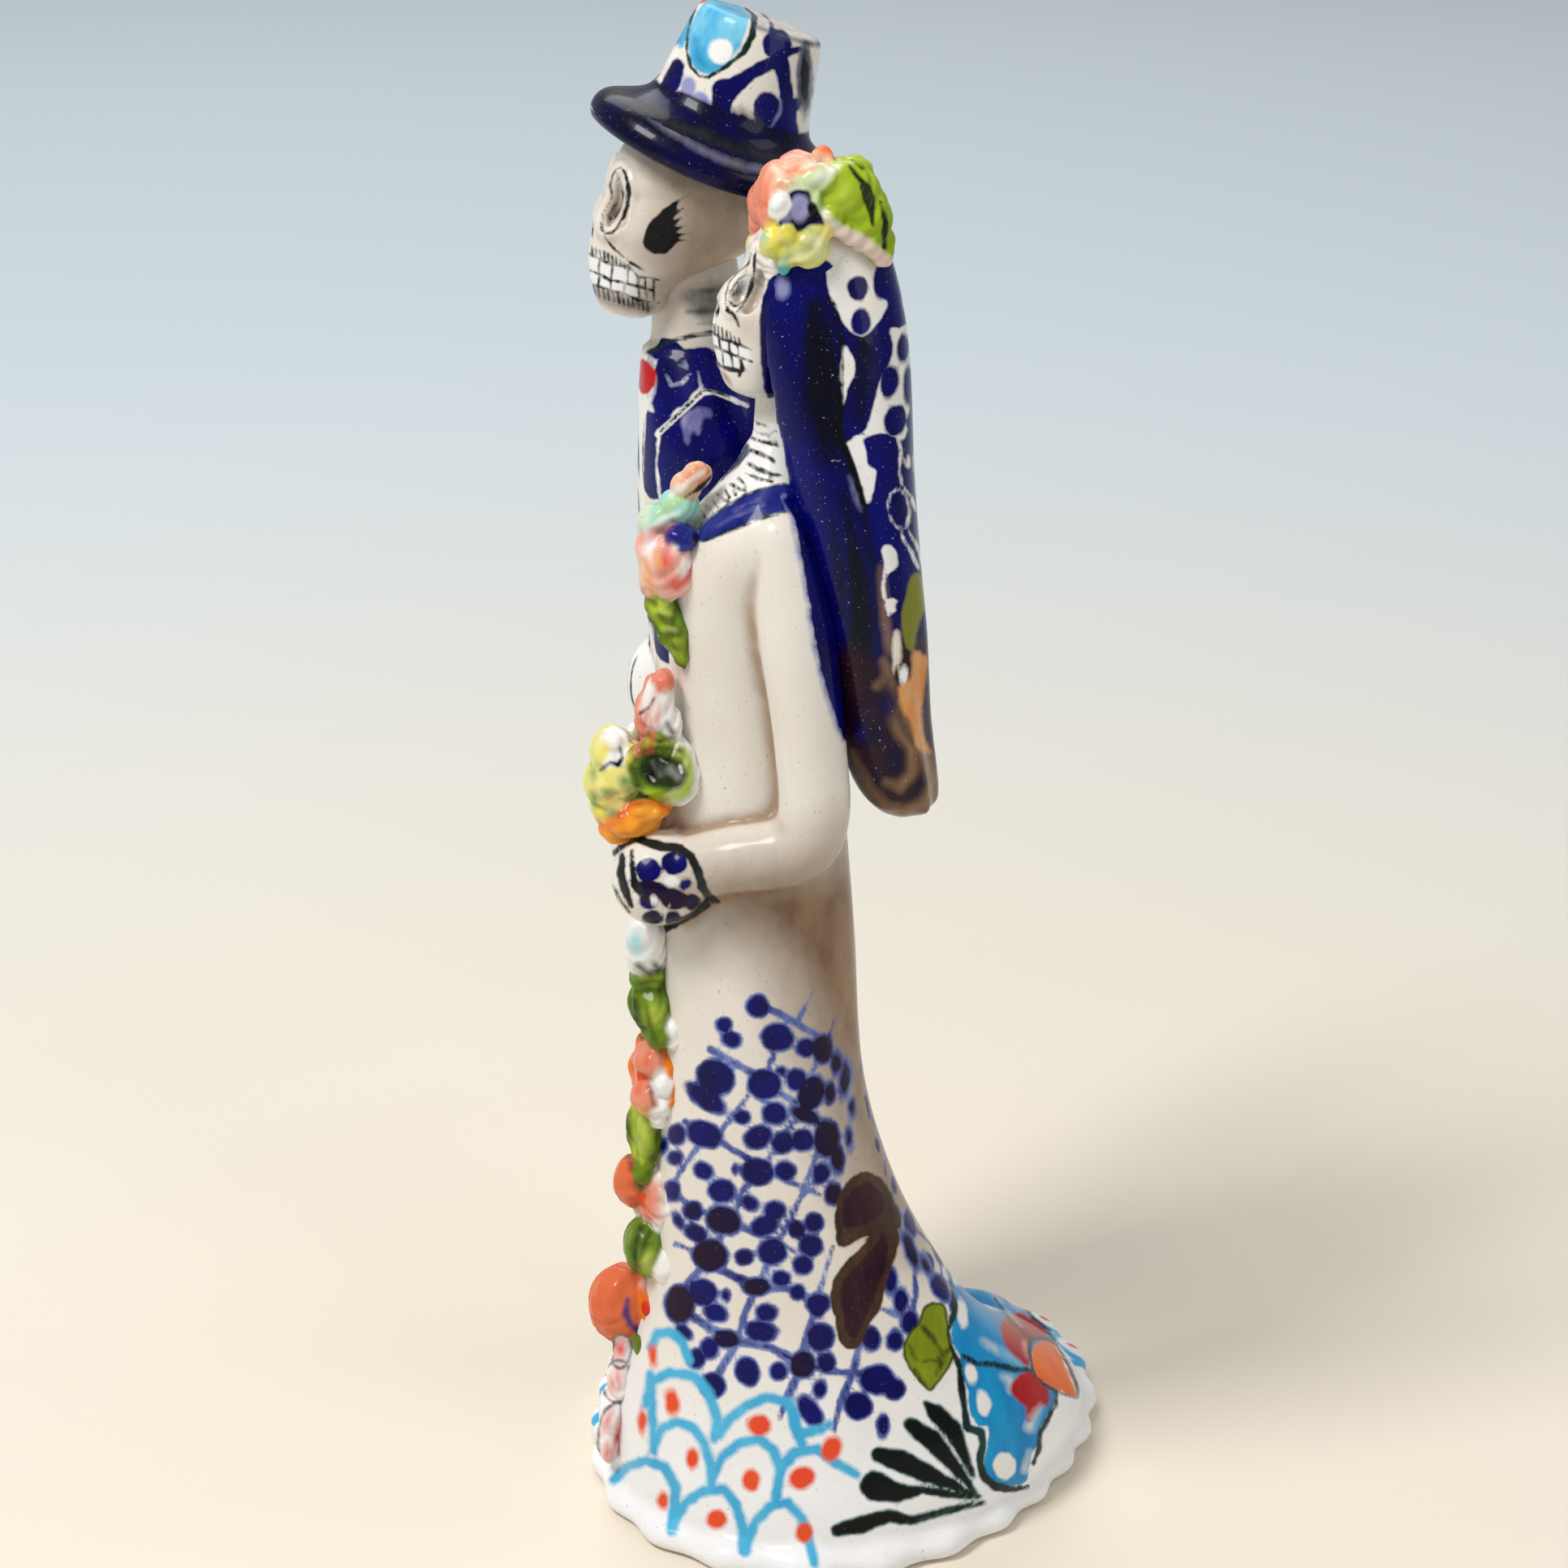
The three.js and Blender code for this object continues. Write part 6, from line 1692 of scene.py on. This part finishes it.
def make_garland():
    """The string of flowers, leaves and balls down the front of the skirt."""
    garland = Posy()
    green = leaf_brush(LEAF, LIME)
    pale, leafy, salmon = bud_brush(WHITE), bud_brush(LEAF), bud_brush(SALMON)
    garland.bud((25, -43.6, 124.6), (4.8, 4.4, 6.6), pale)
    garland.cluster(leafy, (24.5, -43, 118.4, 4.4, 3.8, 4.4), (25, -42.8, 112.6, 6.4, 4.4, 5.2),
                    (26.5, -40.6, 108.2, 5.6, 4.4, 4.4), (20.6, -42.4, 113, 4.4, 3.4, 4.2))
    garland.leaf((22, -41.8, 119), (16, -41.6, 107.5), 8.5, (-0.5, -1, 0), green)
    garland.cluster(pale, (29, -38.4, 107.6, 3.2, 3, 3.6), (29, -40.6, 97, 2.8, 2.4, 2.7),
                    (28.6, -41, 92.4, 2.5, 2.3, 2.4), (28, -41.4, 88.8, 2.0, 2.0, 2.1))
    garland.flower((24.6, -43.2, 97), (0.5, -1, 0.1), 17, 15, petal_brush(SALMON, ORANGE, PINK, RUST),
                   bud_brush(RED), seed=3)
    garland.cluster(salmon, (25.6, -42.8, 101, 5, 3.6, 3.4), (26, -43.2, 93, 5, 3.8, 4))
    garland.leaf((22.6, -43.8, 92), (25, -44.6, 74.6), 10.4, (0.5, -1, 0.1), green, bend=0.2)
    garland.flower((25, -43.8, 70.2), (0.5, -1, 0.1), 14.6, 40, petal_brush(PINK, WHITE, SALMON, RUST),
                   bud_brush(RED), seed=5)
    garland.bud((20.4, -46, 71.8), (4.6, 4.6, 5.6), bud_brush(RUST))
    garland.bud((25.4, -45, 76), (2.2, 1.8, 2.4), leafy)
    garland.cluster(leafy, (25, -44.2, 59.4, 5.8, 4.8, 6.2), (21.4, -43.6, 57, 4, 3.6, 4))
    garland.bud((28, -40, 56.8), (4.6, 4, 4.8), pale)
    garland.bud((19, -48.4, 43.4), (6.4, 7.6, 8.6), bud_brush(RUST))
    garland.flower((26.2, -43.6, 46), (0.8, -1, 0.1), 13, 65, petal_brush(SALMON, PINK, ORANGE, RUST),
                   bud_brush(RED), seed=9)
    garland.bud((25.2, -45.2, 37.4), (3, 2.4, 3), leafy)
    garland.cluster(bud_brush(BRIGHT_WHITE), (21, -48.6, 33.6, 4.4, 2.6, 4.6), (20, -49.8, 27, 5.2, 2.8, 5),
                    (20.4, -51.8, 19.6, 5.2, 2.6, 5.2), (20.2, -52.6, 12.6, 4.8, 2.4, 4.6))
    surface = garland.fuse("garland")
    look = Easel(surface, WHOLE, 0.0)
    turquoise_spot = [(783, 1162, 9, 15, -10)]
    surface.lay(TURQUOISE, PALE_TURQUOISE, look.ovals(*turquoise_spot), 2.0, 0.8)
    # painted highlights on the green leaves and the green ball
    lime_highlights = [(806, 1250, 12, 13), (806, 1206, 9, 6), (797, 1555, 9, 13), (793, 1395, 9, 22)]
    surface.lay(LIME, PALE_LIME, look.ovals(*lime_highlights), 2.2, 0.95)
    leaf_veins = [
        [(786, 1190, 4), (800, 1200, 5), (812, 1194, 4), (806, 1188, 3)],
        [(786, 1213, 2.4), (802, 1208, 2.6), (820, 1212, 2.4)],
        [(784, 1222, 2), (802, 1219, 3), (822, 1225, 3)], [(781, 1232, 4), (784, 1256, 5), (790, 1278, 4)],
        [(796, 1240, 1.4), (800, 1262, 2), (806, 1280, 3)],
        [(790, 1512, 4), (782, 1535, 4), (784, 1565, 4)], [(800, 1518, 2), (794, 1534, 3), (788, 1550, 2)],
        [(774, 1370, 2), (773, 1410, 3), (778, 1440, 2)], [(802, 1340, 2), (806, 1360, 2)]]
    surface.lay(MOSS, INK, look.strokes(*leaf_veins), 1.4, 0.9)
    white_spots = [
        (813, 1330, 8, 13, 10), (816, 1352, 8, 10, -20), (808, 1374, 7, 8), (833, 1262, 11, 15, 10),
        (838, 1550, 14, 16)]
    surface.lay(WHITE, WHITE, look.ovals(*white_spots), 1.4)
    petal_lines = [
        [(782, 1310, 2), (790, 1325, 3), (786, 1345, 3)], [(800, 1298, 2), (794, 1312, 3)],
        [(790, 1470, 2), (796, 1490, 3)], [(788, 1592, 2), (800, 1604, 3), (806, 1625, 3)]]
    surface.lay(RED, ORANGE, look.strokes(*petal_lines), 1.8, 0.7)
    ball_line = [[(773, 1602, 3), (771, 1618, 4), (777, 1632, 4), (790, 1642, 5), (806, 1640, 4)]]
    surface.lay(BLUE, INK, look.strokes(*ball_line), 1.0, 0.9)
    olive_spots = [(789, 1462, 6, 8), (786, 1655, 9, 6)]
    surface.lay(OLIVE, MOSS, look.ovals(*olive_spots), 1.6, 0.9)
    paint_hem_petals(surface)
    surface.finish("garland_glaze")


def make_bouquet():
    """The bouquet over the bride's gloves and the spray that climbs to her shoulder."""
    posy = Posy()
    lemon, orange = bud_brush(PRIMROSE), bud_brush(TANGERINE)
    salmon, cream, leafy = bud_brush(SALMON), bud_brush(WHITE), bud_brush(LEAF)
    posy.cluster(lemon, (24, -49.2, 164.4, 6.4, 4.4, 4.8), (24.6, -50.4, 158.6, 7, 4.6, 5),
                 (24, -49.4, 153.8, 6.4, 4.4, 4), (28.6, -47.6, 161, 4, 4, 4.4),
                 (19.6, -48.2, 160, 4.4, 4.2, 5), (28.2, -48.2, 155, 3.8, 3.6, 3.4),
                 (29, -46.2, 165, 3, 3, 3))
    posy.flower((20, -47.6, 160), (-0.3, -1, 0.2), 17, 20, petal_brush(LEMON, WHITE, YELLOW, OLIVE),
                bud_brush(ORANGE), seed=11)
    posy.bud((26.8, -48.8, 167.6), (4, 2.8, 2.4), cream)
    posy.cup((31.4, -41.4, 163.6), (1, -0.35, 0.15), (6.2, 5.6, 4.6), leafy, 0.75)
    posy.cluster(cream, (31.6, -37.6, 161.8, 3.8, 4.6, 5.8), (31, -37.8, 166.4, 3.4, 3.4, 3.2))
    posy.cluster(leafy, (33.6, -42, 169, 2.6, 2.8, 1.8), (30.4, -40.2, 170.2, 3, 3, 2.2),
                 (33.4, -45, 166.4, 2.2, 2.2, 2.4))
    posy.cluster(cream, (30, -40.8, 175, 3.4, 3, 6.4), (31, -38.8, 171.6, 2.6, 2.4, 4))
    posy.cluster(salmon, (28, -42.8, 172.6, 2.6, 2.4, 5.4), (30.2, -40, 180.2, 3.2, 2.2, 2.2),
                 (27, -41.6, 178.6, 2, 1.8, 2.2))
    posy.cluster(orange, (27.6, -46, 152.8, 7.2, 5.6, 4), (25, -48.6, 149.8, 5, 3.6, 3.4),
                 (18, -46, 152.6, 5, 4.4, 3.6), (31.4, -43, 155.4, 4.4, 4.2, 2.2))
    # the spray on the breast
    posy.cluster(bud_brush(APRICOT), (28.6, -33, 219.4, 3.2, 2.6, 2.4), (28.4, -35.2, 217, 3.6, 2.8, 2.8),
                 (25.6, -34.2, 216.8, 3, 2.4, 2.6))
    posy.cluster(bud_brush(JADE), (29.2, -36.4, 213.6, 3.6, 3.6, 2.8), (28.2, -39.4, 211.4, 3.6, 3.2, 2.8),
                 (24.4, -37, 212.6, 3.4, 2.8, 3))
    posy.cluster(bud_brush(CELADON), (27.4, -41.6, 210, 3.2, 2.6, 3.8))
    posy.bud((32, -36.4, 208.4), (3.2, 3.2, 2.6), bud_brush(BLUE))
    posy.cluster(bud_brush(ROSE), (31.2, -38.4, 202.8, 4.2, 4.8, 6.2), (28.4, -42, 205.6, 3.4, 2.6, 4.6),
                 (28.8, -41.6, 200.4, 3.2, 2.6, 4.4), (31.8, -35.4, 200.6, 2.4, 2.4, 3.2))
    posy.flower((26.6, -40.4, 203.6), (0.05, -1, 0.1), 14, 20, petal_brush(SALMON, PINK, ORANGE, RUST),
                bud_brush(RED), seed=13)
    posy.leaf((29, -42, 198.4), (32, -35.4, 182.6), 6.6, (1, -0.55, 0), leaf_brush(LEAF, LIME), 5.0, -0.35)
    surface = posy.fuse("bouquet")
    look = Easel(surface, WHOLE, 0.0)
    # the yellow flower, with green shadows and an outlined white petal
    lemon_spots = [
        (736, 970, 10, 10), (772, 935, 8, 7), (760, 958, 9, 7), (745, 925, 9, 10), (738, 1000, 8, 9)]
    surface.lay(GOLD, LEMON, look.ovals(*lemon_spots), 2.2, 0.9)
    green_shadows = [
        (732, 984, 5, 8), (747, 976, 6, 4), (770, 962, 7, 7), (756, 1003, 8, 5), (731, 952, 3, 6),
        (786, 982, 8, 4), (777, 978, 5, 8)]
    surface.lay(EMERALD, LEAF, look.ovals(*green_shadows), 1.8, 0.92)
    brown_spot = [(757, 988, 8, 5)]
    surface.lay(UMBER, ORANGE, look.ovals(*brown_spot), 3.0, 0.6)
    orange_edge = [[(728, 1010, 3), (745, 1019, 5), (762, 1012, 4), (772, 1000, 3)]]
    surface.lay(ORANGE, RUST, look.strokes(*orange_edge), 1.4, 0.9)
    white_petal = [(742, 946), (750, 928), (764, 918), (773, 924), (768, 941), (755, 944)]
    surface.lay(WHITE, WHITE, look.patch(*white_petal), 0.8)
    petal_outline = [[(740, 949, 1.8), (752, 939, 2.2), (762, 942, 2.6), (767, 934, 2), (764, 922, 1)]]
    surface.lay(NAVY, INK, look.strokes(*petal_outline), 0.6)
    # the green cup with its black heart
    cup_greens = [(846, 970, 8, 16, 10), (838, 935, 10, 6), (800, 985, 12, 6), (846, 945, 6, 14)]
    surface.lay(LIME, OLIVE, look.ovals(*cup_greens), 3.0, 0.85)
    cup_lip = [
        [(800, 914, 5), (824, 916, 6), (842, 926, 6), (851, 948, 5), (846, 972, 6), (824, 984, 6),
         (800, 978, 5)]]
    surface.lay(SPRING_GREEN, LIME, look.strokes(*cup_lip), 2.0, 0.9)
    cup_heart = [
        (788, 938), (800, 928), (822, 930), (838, 938), (846, 955), (838, 970), (818, 972), (800, 966),
        (788, 952)]
    surface.lay(INK, MOSS, look.patch(*cup_heart), 1.2, 0.95)
    # painted glints: grey reflections on the cup's black heart
    heart_glints = [[(804, 938, 1.5), (812, 955, 2)], [(826, 948, 5), (836, 958, 4)]]
    surface.lay(LEAD, PALE_LEAD, look.strokes(*heart_glints), 1.2, 0.9)
    heart_lights = [
        [(814, 936, 1.4), (822, 940, 1.2)], [(838, 944, 1.6), (840, 952, 1)],
        [(800, 956, 1), (806, 962, 1)]]
    surface.lay(WHITE, WHITE, look.strokes(*heart_lights), 0.5)
    cup_lines = [
        [(800, 906, 3), (812, 914, 4), (828, 908, 3)], [(790, 928, 3), (812, 921, 4), (838, 924, 3)],
        [(822, 890, 2), (828, 902, 4)], [(784, 935, 3), (778, 945, 3), (786, 965, 3)]]
    surface.lay(MOSS, INK, look.strokes(*cup_lines), 1.2, 0.9)
    cup_rim = [[(848, 910, 5), (863, 936, 7), (867, 962, 8), (858, 986, 7), (838, 999, 6)]]
    surface.lay(BRIGHT_WHITE, WHITE, look.strokes(*cup_rim), 1.2)
    # the upright flower
    bud_reds = [
        [(785, 925, 4), (792, 900, 5), (796, 880, 4), (806, 855, 3), (824, 838, 3)],
        [(800, 925, 2), (804, 905, 3), (802, 890, 3)], [(815, 870, 2), (808, 890, 3)]]
    surface.lay(SALMON, RED, look.strokes(*bud_reds), 1.8, 0.9)
    bud_whites = [(797, 862, 6, 14, 25), (822, 868, 8, 16)]
    surface.lay(WHITE, IVORY, look.ovals(*bud_whites), 1.4)
    bud_line = [[(789, 879, 2.2), (799, 872, 1.6), (806, 860, 1)]]
    surface.lay(INK, NAVY, look.strokes(*bud_line), 0.6)
    bud_tip = [[(813, 842, 1.6), (826, 838, 2.2), (832, 848, 2)]]
    surface.lay(RED, SALMON, look.strokes(*bud_tip), 1.2, 0.8)
    # the orange cup
    orange_lights = [(800, 1010, 20, 8, -10), (770, 1026, 8, 9, 20)]
    surface.lay(MARIGOLD, ORANGE, look.ovals(*orange_lights), 2.2, 0.9)
    orange_lip = [[(762, 1004, 2), (776, 992, 3), (796, 988, 3), (814, 993, 3), (830, 1000, 2)]]
    surface.lay(RED, SCARLET, look.strokes(*orange_lip), 1.4, 0.9)
    # the spray
    spray_line = [[(844, 613, 2), (862, 601, 3), (880, 584, 2)]]
    surface.lay(INK, NAVY, look.strokes(*spray_line), 0.5)
    peach_shades = [[(840, 598, 2), (856, 580, 3), (868, 573, 2)]]
    surface.lay(RUST, SALMON, look.strokes(*peach_shades), 2.0, 0.8)
    peach_whites = [[(838, 606, 2), (850, 592, 2.4), (866, 582, 2)]]
    surface.lay(WHITE, IVORY, look.strokes(*peach_whites), 0.8, 0.9)
    peach_oranges = [[(846, 588, 1.4), (858, 576, 1.6)], [(862, 594, 1.4), (876, 578, 1.4)]]
    surface.lay(ORANGE, RUST, look.strokes(*peach_oranges), 0.8, 0.9)
    lime_strokes = [[(812, 634, 4), (826, 622, 4), (840, 612, 3)]]
    surface.lay(LIME, PALE_LEAF, look.strokes(*lime_strokes), 2.4, 0.8)
    white_strokes = [[(800, 655, 4), (815, 640, 3), (835, 632, 2)], [(836, 600, 3), (828, 610, 3)]]
    surface.lay(WHITE, FROST, look.strokes(*white_strokes), 1.2, 0.85)
    white_spots = [(800, 672, 7, 17, 12), (846, 700, 7, 15, 10), (830, 676, 5, 6)]
    surface.lay(BRIGHT_WHITE, IVORY, look.ovals(*white_spots), 1.2, 0.95)
    red_spots = [(820, 692, 8, 15, 8), (830, 718, 8, 7), (810, 655, 10, 3, -30)]
    surface.lay(RED, SCARLET, look.ovals(*red_spots), 2.6, 0.9)
    orange_strokes = [[(795, 690, 3), (799, 712, 4), (804, 732, 3)], [(808, 680, 2), (810, 700, 3)]]
    surface.lay(ORANGE, YELLOW, look.strokes(*orange_strokes), 1.8, 0.85)
    blue_bud = [(824, 656), (838, 648), (853, 654), (853, 668), (840, 671), (828, 667)]
    surface.lay(COBALT, BLUE, look.patch(*blue_bud), 1.0)
    bud_shadow = [[(857, 660, 2), (861, 682, 3.4), (853, 704, 2.6)]]
    surface.lay(INK, INK, look.strokes(*bud_shadow), 0.7)
    red_edge = [[(852, 704, 3), (844, 716, 3.4), (834, 724, 2.4)]]
    surface.lay(RED, SCARLET, look.strokes(*red_edge), 1.0, 0.9)
    leaf_strokes = [
        [(788, 730, 3), (796, 762, 4), (812, 796, 4), (832, 818, 4), (847, 824, 3)],
        [(812, 758, 2), (824, 768, 4), (834, 782, 3)], [(822, 790, 3), (836, 800, 4)]]
    surface.lay(MOSS, INK, look.strokes(*leaf_strokes), 2.0, 0.85)
    leaf_shine = [
        [(806, 736, 2.2), (820, 742, 2.4)], [(810, 752, 2), (826, 756, 1.4)],
        [(818, 775, 2.4), (832, 776, 1.4)]]
    surface.lay(LIGHT_LIME, LIME, look.strokes(*leaf_shine), 1.4, 0.85)
    surface.finish("bouquet_glaze")


def make_crown():
    """The bride's crown: a salmon rose, a blue star flower, yellow petals and a great green leaf, alike on
    both sides."""
    crown = Posy()
    lime, salmon, cream = bud_brush(LIME), bud_brush(SALMON), bud_brush(BLUSH)
    lemon = bud_brush(MUSTARD)
    crown.bud((24, -6.6, 268), (10.6, 7.4, 8.4), lime, (-24, 0, 0))
    crown.cluster(salmon, (32, -19.4, 271.8, 4.4, 3, 4.4), (31, -18.2, 274.2, 5, 3.4, 3),
                  (29, -14.4, 275.8, 5.4, 3.8, 2.6), (24, -16.6, 272, 5, 3, 2.4),
                  (33.6, -19.8, 268, 3, 2.4, 3.4), mirror=BRIDE_X)
    crown.cluster(bud_brush(PALE_MOSS), (34.4, -16.4, 273.8, 3.4, 4.2, 2.2),
                  (34.6, -11.4, 274.6, 3.4, 4.2, 2.6), mirror=BRIDE_X)
    crown.cluster(bud_brush(WHITE), (37.2, -18.5, 270.2, 1.6, 2.2, 2.9), (37.6, -9.2, 268.2, 1.8, 1.8, 1.8),
                  mirror=BRIDE_X)
    crown.cluster(bud_brush(SAGE), (37, -14.7, 269.6, 1.8, 4, 4.2), mirror=BRIDE_X)
    crown.cluster(lemon, (36, -19.8, 263.4, 2.6, 2.4, 2.8), (37, -17.2, 265.4, 2.6, 2.6, 2.4),
                  (37.2, -13.6, 262.6, 2.8, 3.8, 3.6), (36.4, -17.2, 261.6, 2.4, 2.4, 2.4),
                  (34, -14, 265, 4, 5, 5), (37, -11.6, 265.4, 2.2, 2.2, 2.2), mirror=BRIDE_X)
    crown.cluster(bud_brush(TURQUOISE), (36, -18, 259.6, 1.7, 1.3, 1.9), mirror=BRIDE_X)
    crown.cluster(lime, (33, -6.4, 271.4, 5.4, 6.4, 5.8), (34.4, -2.6, 267, 4, 4.4, 6),
                  (34.8, -0.4, 262.6, 2.8, 2.6, 4), (30, -4.6, 274.6, 5, 3.4, 3), (24, -13, 272, 9, 6, 3),
                  mirror=BRIDE_X)
    crown.cluster(cream, (37, -7.4, 265.6, 1.9, 2.2, 1.7), (37, -5.4, 264.6, 1.9, 2.4, 1.7),
                  (37, -3.4, 263.4, 1.8, 2.4, 1.8), (36.8, -1.6, 262, 1.8, 2.2, 1.8),
                  (36.6, 0, 260.6, 1.7, 1.9, 1.9), mirror=BRIDE_X)
    crown.flower((24, -17.6, 264.6), (0, -1, 0.35), 14, 10, petal_brush(SALMON, ORANGE, RED, RUST),
                 bud_brush(YELLOW), seed=17)
    crown.bud((24, -9.6, 276.4), (2.4, 2.2, 2.0), bud_brush(CORAL))
    surface = crown.fuse("crown_flowers")
    look = Easel(surface, WHOLE, -0.1, BRIDE_X)
    leaf_edge = [
        (1034, 203), (1056, 192), (1076, 215), (1094, 250), (1106, 290), (1106, 320), (1090, 312),
        (1070, 294), (1040, 279), (1026, 270), (1010, 246), (1020, 224)]
    surface.lay(DEEP_LIME, FRESH_LIME, look.patch(*leaf_edge), 1.6)
    leaf_lights = [(1046, 193, 10, 5, -10), (1030, 205, 8, 5), (1036, 240, 12, 18, 20)]
    surface.lay(CHARTREUSE, LIME, look.ovals(*leaf_lights), 3.0, 0.6)
    pale_petal = [
        (950, 243), (965, 229), (985, 217), (1015, 206), (1036, 203), (1022, 222), (1008, 232), (990, 235),
        (968, 238), (957, 248)]
    surface.lay(SAGE, WHITE, look.patch(*pale_petal), 1.4, 0.9)
    rose_petal = [
        (941, 243), (947, 213), (961, 200), (985, 189), (1006, 186), (1030, 196), (1012, 204), (985, 213),
        (962, 226), (950, 245)]
    surface.lay(PEACH, PALE_PEACH, look.patch(*rose_petal), 1.6, 0.95)
    rose_lips = [
        [(943, 250, 3), (945, 232, 4), (951, 216, 2)], [(972, 212, 5), (982, 208, 4)],
        [(1010, 180, 5), (1022, 184, 6)], [(962, 205, 1.4), (985, 194, 1.8), (1008, 190, 1.2)],
        [(958, 236, 1.4), (975, 224, 1.6)]]
    surface.lay(SCARLET, ORANGE, look.strokes(*rose_lips), 2.0, 0.9)
    rose_creases = [[(952, 232, 0.8), (975, 218, 1.2), (1005, 206, 0.8)]]
    surface.lay(RUST, UMBER, look.strokes(*rose_creases), 1.2, 0.6)
    pale_yellows = [(1004, 302, 13, 15), (988, 314, 10, 8)]
    surface.lay(STRAW, PALE_STRAW, look.ovals(*pale_yellows), 2.4, 0.9)
    bright_yellows = [(951, 284, 8, 12), (974, 289, 10, 8), (1018, 280, 5, 8), (957, 303, 7, 8)]
    surface.lay(SUN_YELLOW, YELLOW, look.ovals(*bright_yellows), 2.0, 0.95)
    petal_greens = [
        [(985, 300, 4), (1000, 305, 3)], [(955, 312, 4), (964, 304, 3)], [(975, 282, 2), (1000, 284, 2)]]
    surface.lay(OLIVE, LIME, look.strokes(*petal_greens), 2.6, 0.6)
    star_edge = [
        (972, 238), (985, 233), (998, 236), (1001, 248), (1010, 262), (1016, 277), (1000, 277), (984, 285),
        (973, 276), (957, 278), (968, 262), (973, 250)]
    surface.lay(NAVY, INK, look.patch(*star_edge), 0.7)
    star_heart = [(985, 257, 13, 17, 8), (970, 268, 7, 5, -30)]
    surface.lay(LILAC, DUSTY_BLUE, look.ovals(*star_heart), 0.9)
    star_eye = [(1001, 257, 6, 9, -10)]
    surface.lay(INK, INK, look.ovals(*star_eye), 0.6)
    white_ball = [(962, 253, 12, 17, 12)]
    surface.lay(WHITE, WHITE, look.ovals(*white_ball), 0.6)
    turquoise_tips = [(966, 326, 5, 9, 15), (940, 292, 4, 6)]
    surface.lay(TURQUOISE, MINT, look.ovals(*turquoise_tips), 1.6, 0.9)
    leaf_veins = [
        [(1047, 205, 1.8), (1057, 218, 3), (1066, 228, 3)],
        [(1066, 231, 6.4), (1071, 246, 7.6), (1074, 262, 4), (1075, 277, 2.2)],
        [(1085, 249, 2), (1091, 275, 3.6), (1089, 305, 3)], [(1050, 197, 1.4), (1063, 208, 2)]]
    surface.lay(INK, MOSS, look.strokes(*leaf_veins), 0.5)
    band_line = [[(1030, 281, 3), (1046, 288, 5), (1064, 300, 6), (1080, 312, 6), (1096, 324, 5)]]
    surface.lay(DUSTY_ROSE, PALE_ROSE, look.strokes(*band_line), 1.4, 0.9)
    surface.finish("crown_glaze")


# Stage, light and camera

def make_stage():
    """A broad level sheet of pale paper."""
    angle = circle(96)
    mesh = bpy.data.meshes.new("floor")
    rim = np.stack([np.cos(angle) * FLOOR_REACH, np.sin(angle) * FLOOR_REACH, 0 * angle], -1)
    mesh.from_pydata(rim.tolist(), [], [list(range(len(angle)))])
    floor = bpy.data.objects.new("floor", mesh)
    bpy.context.scene.collection.objects.link(floor)
    recipe = Recipe("studio_paper")
    # beige where the couple stands, paling to a cool grey blue farther away
    place = recipe.node("ShaderNodeTexCoord", out=3)
    away = recipe.node("ShaderNodeVectorMath", {"operation": "LENGTH"}, {0: place}, 1)
    smooth = {"interpolation_type": "SMOOTHSTEP"}
    share = recipe.node("ShaderNodeMapRange", smooth, {0: away, 1: 0.0, 2: 1.1})
    tone = recipe.mixed(share, PAPER_BEIGE, PAPER_BLUE)
    tone = recipe.mixed(recipe.noise(90, 2) * 0.06, tone, PAPER_GREY)
    sockets = {"Base Color": tone, "Roughness": 0.9, "Specular IOR Level": 0.1}
    shader = recipe.node("ShaderNodeBsdfPrincipled", {}, sockets)
    recipe.node("ShaderNodeOutputMaterial", {}, {"Surface": shader})
    mesh.materials.append(recipe.material)


def sight_back():
    """The direction from the target to the camera."""
    rise = math.cos(SIGHT_RISE)
    return np.array([math.sin(SIGHT_TURN) * rise, -math.cos(SIGHT_TURN) * rise, math.sin(SIGHT_RISE)])


def make_camera():
    camera = bpy.data.objects.new("camera", bpy.data.cameras.new("camera"))
    bpy.context.scene.collection.objects.link(camera)
    camera.data.sensor_width = SENSOR
    camera.data.lens = PHOTO_FOCAL / PHOTO_SIDE * SENSOR
    camera.data.clip_start, camera.data.clip_end = 0.01, 20
    back = sight_back()
    camera.location = Vector((SIGHT_TARGET + back * SIGHT_REACH) * MM)
    camera.rotation_euler = Vector(back).to_track_quat("Z", "Y").to_euler()
    bpy.context.scene.camera = camera


def soft_light(name, azimuth, elevation, distance, size, watts, colour):
    """A soft box that looks at the middle of the couple, from an azimuth and elevation in degrees."""
    lamp = bpy.data.lights.new(name, "AREA")
    lamp.shape, lamp.size, lamp.energy, lamp.color = "SQUARE", size, watts, colour
    box = bpy.data.objects.new(name, lamp)
    bpy.context.scene.collection.objects.link(box)
    turn, rise = math.radians(azimuth), math.radians(elevation)
    way = Vector((math.sin(turn) * math.cos(rise), -math.cos(turn) * math.cos(rise), math.sin(rise)))
    box.location = way * distance + Vector((0, 0, 0.14))
    box.rotation_euler = way.to_track_quat("Z", "Y").to_euler()


def make_light():
    soft_light("key", 28, 54, 1.4, 0.42, 14.2, (1.0, 0.975, 0.94))
    soft_light("side", 128, 22, 1.6, 0.7, 3.4, (1.0, 0.99, 0.97))
    soft_light("rim", 172, 45, 1.5, 0.5, 1.8, (1.0, 0.93, 0.84))
    soft_light("backdrop", 284, 50, 3.2, 1.8, 33, (0.96, 0.98, 1.0))
    world = bpy.data.worlds.new("studio")
    bpy.context.scene.world = world
    world.use_nodes = True
    backdrop = world.node_tree.nodes["Background"]
    backdrop.inputs["Color"].default_value = (0.90, 0.91, 0.94, 1)
    backdrop.inputs["Strength"].default_value = 0.36
    bpy.context.scene.view_settings.view_transform = "Standard"


make_camera()
make_stage()
make_light()
paint_gown()
paint_groom()
paint_veil()
paint_groom_skull()
paint_bride_skull()
paint_hat()
make_garland()
make_bouquet()
make_crown()
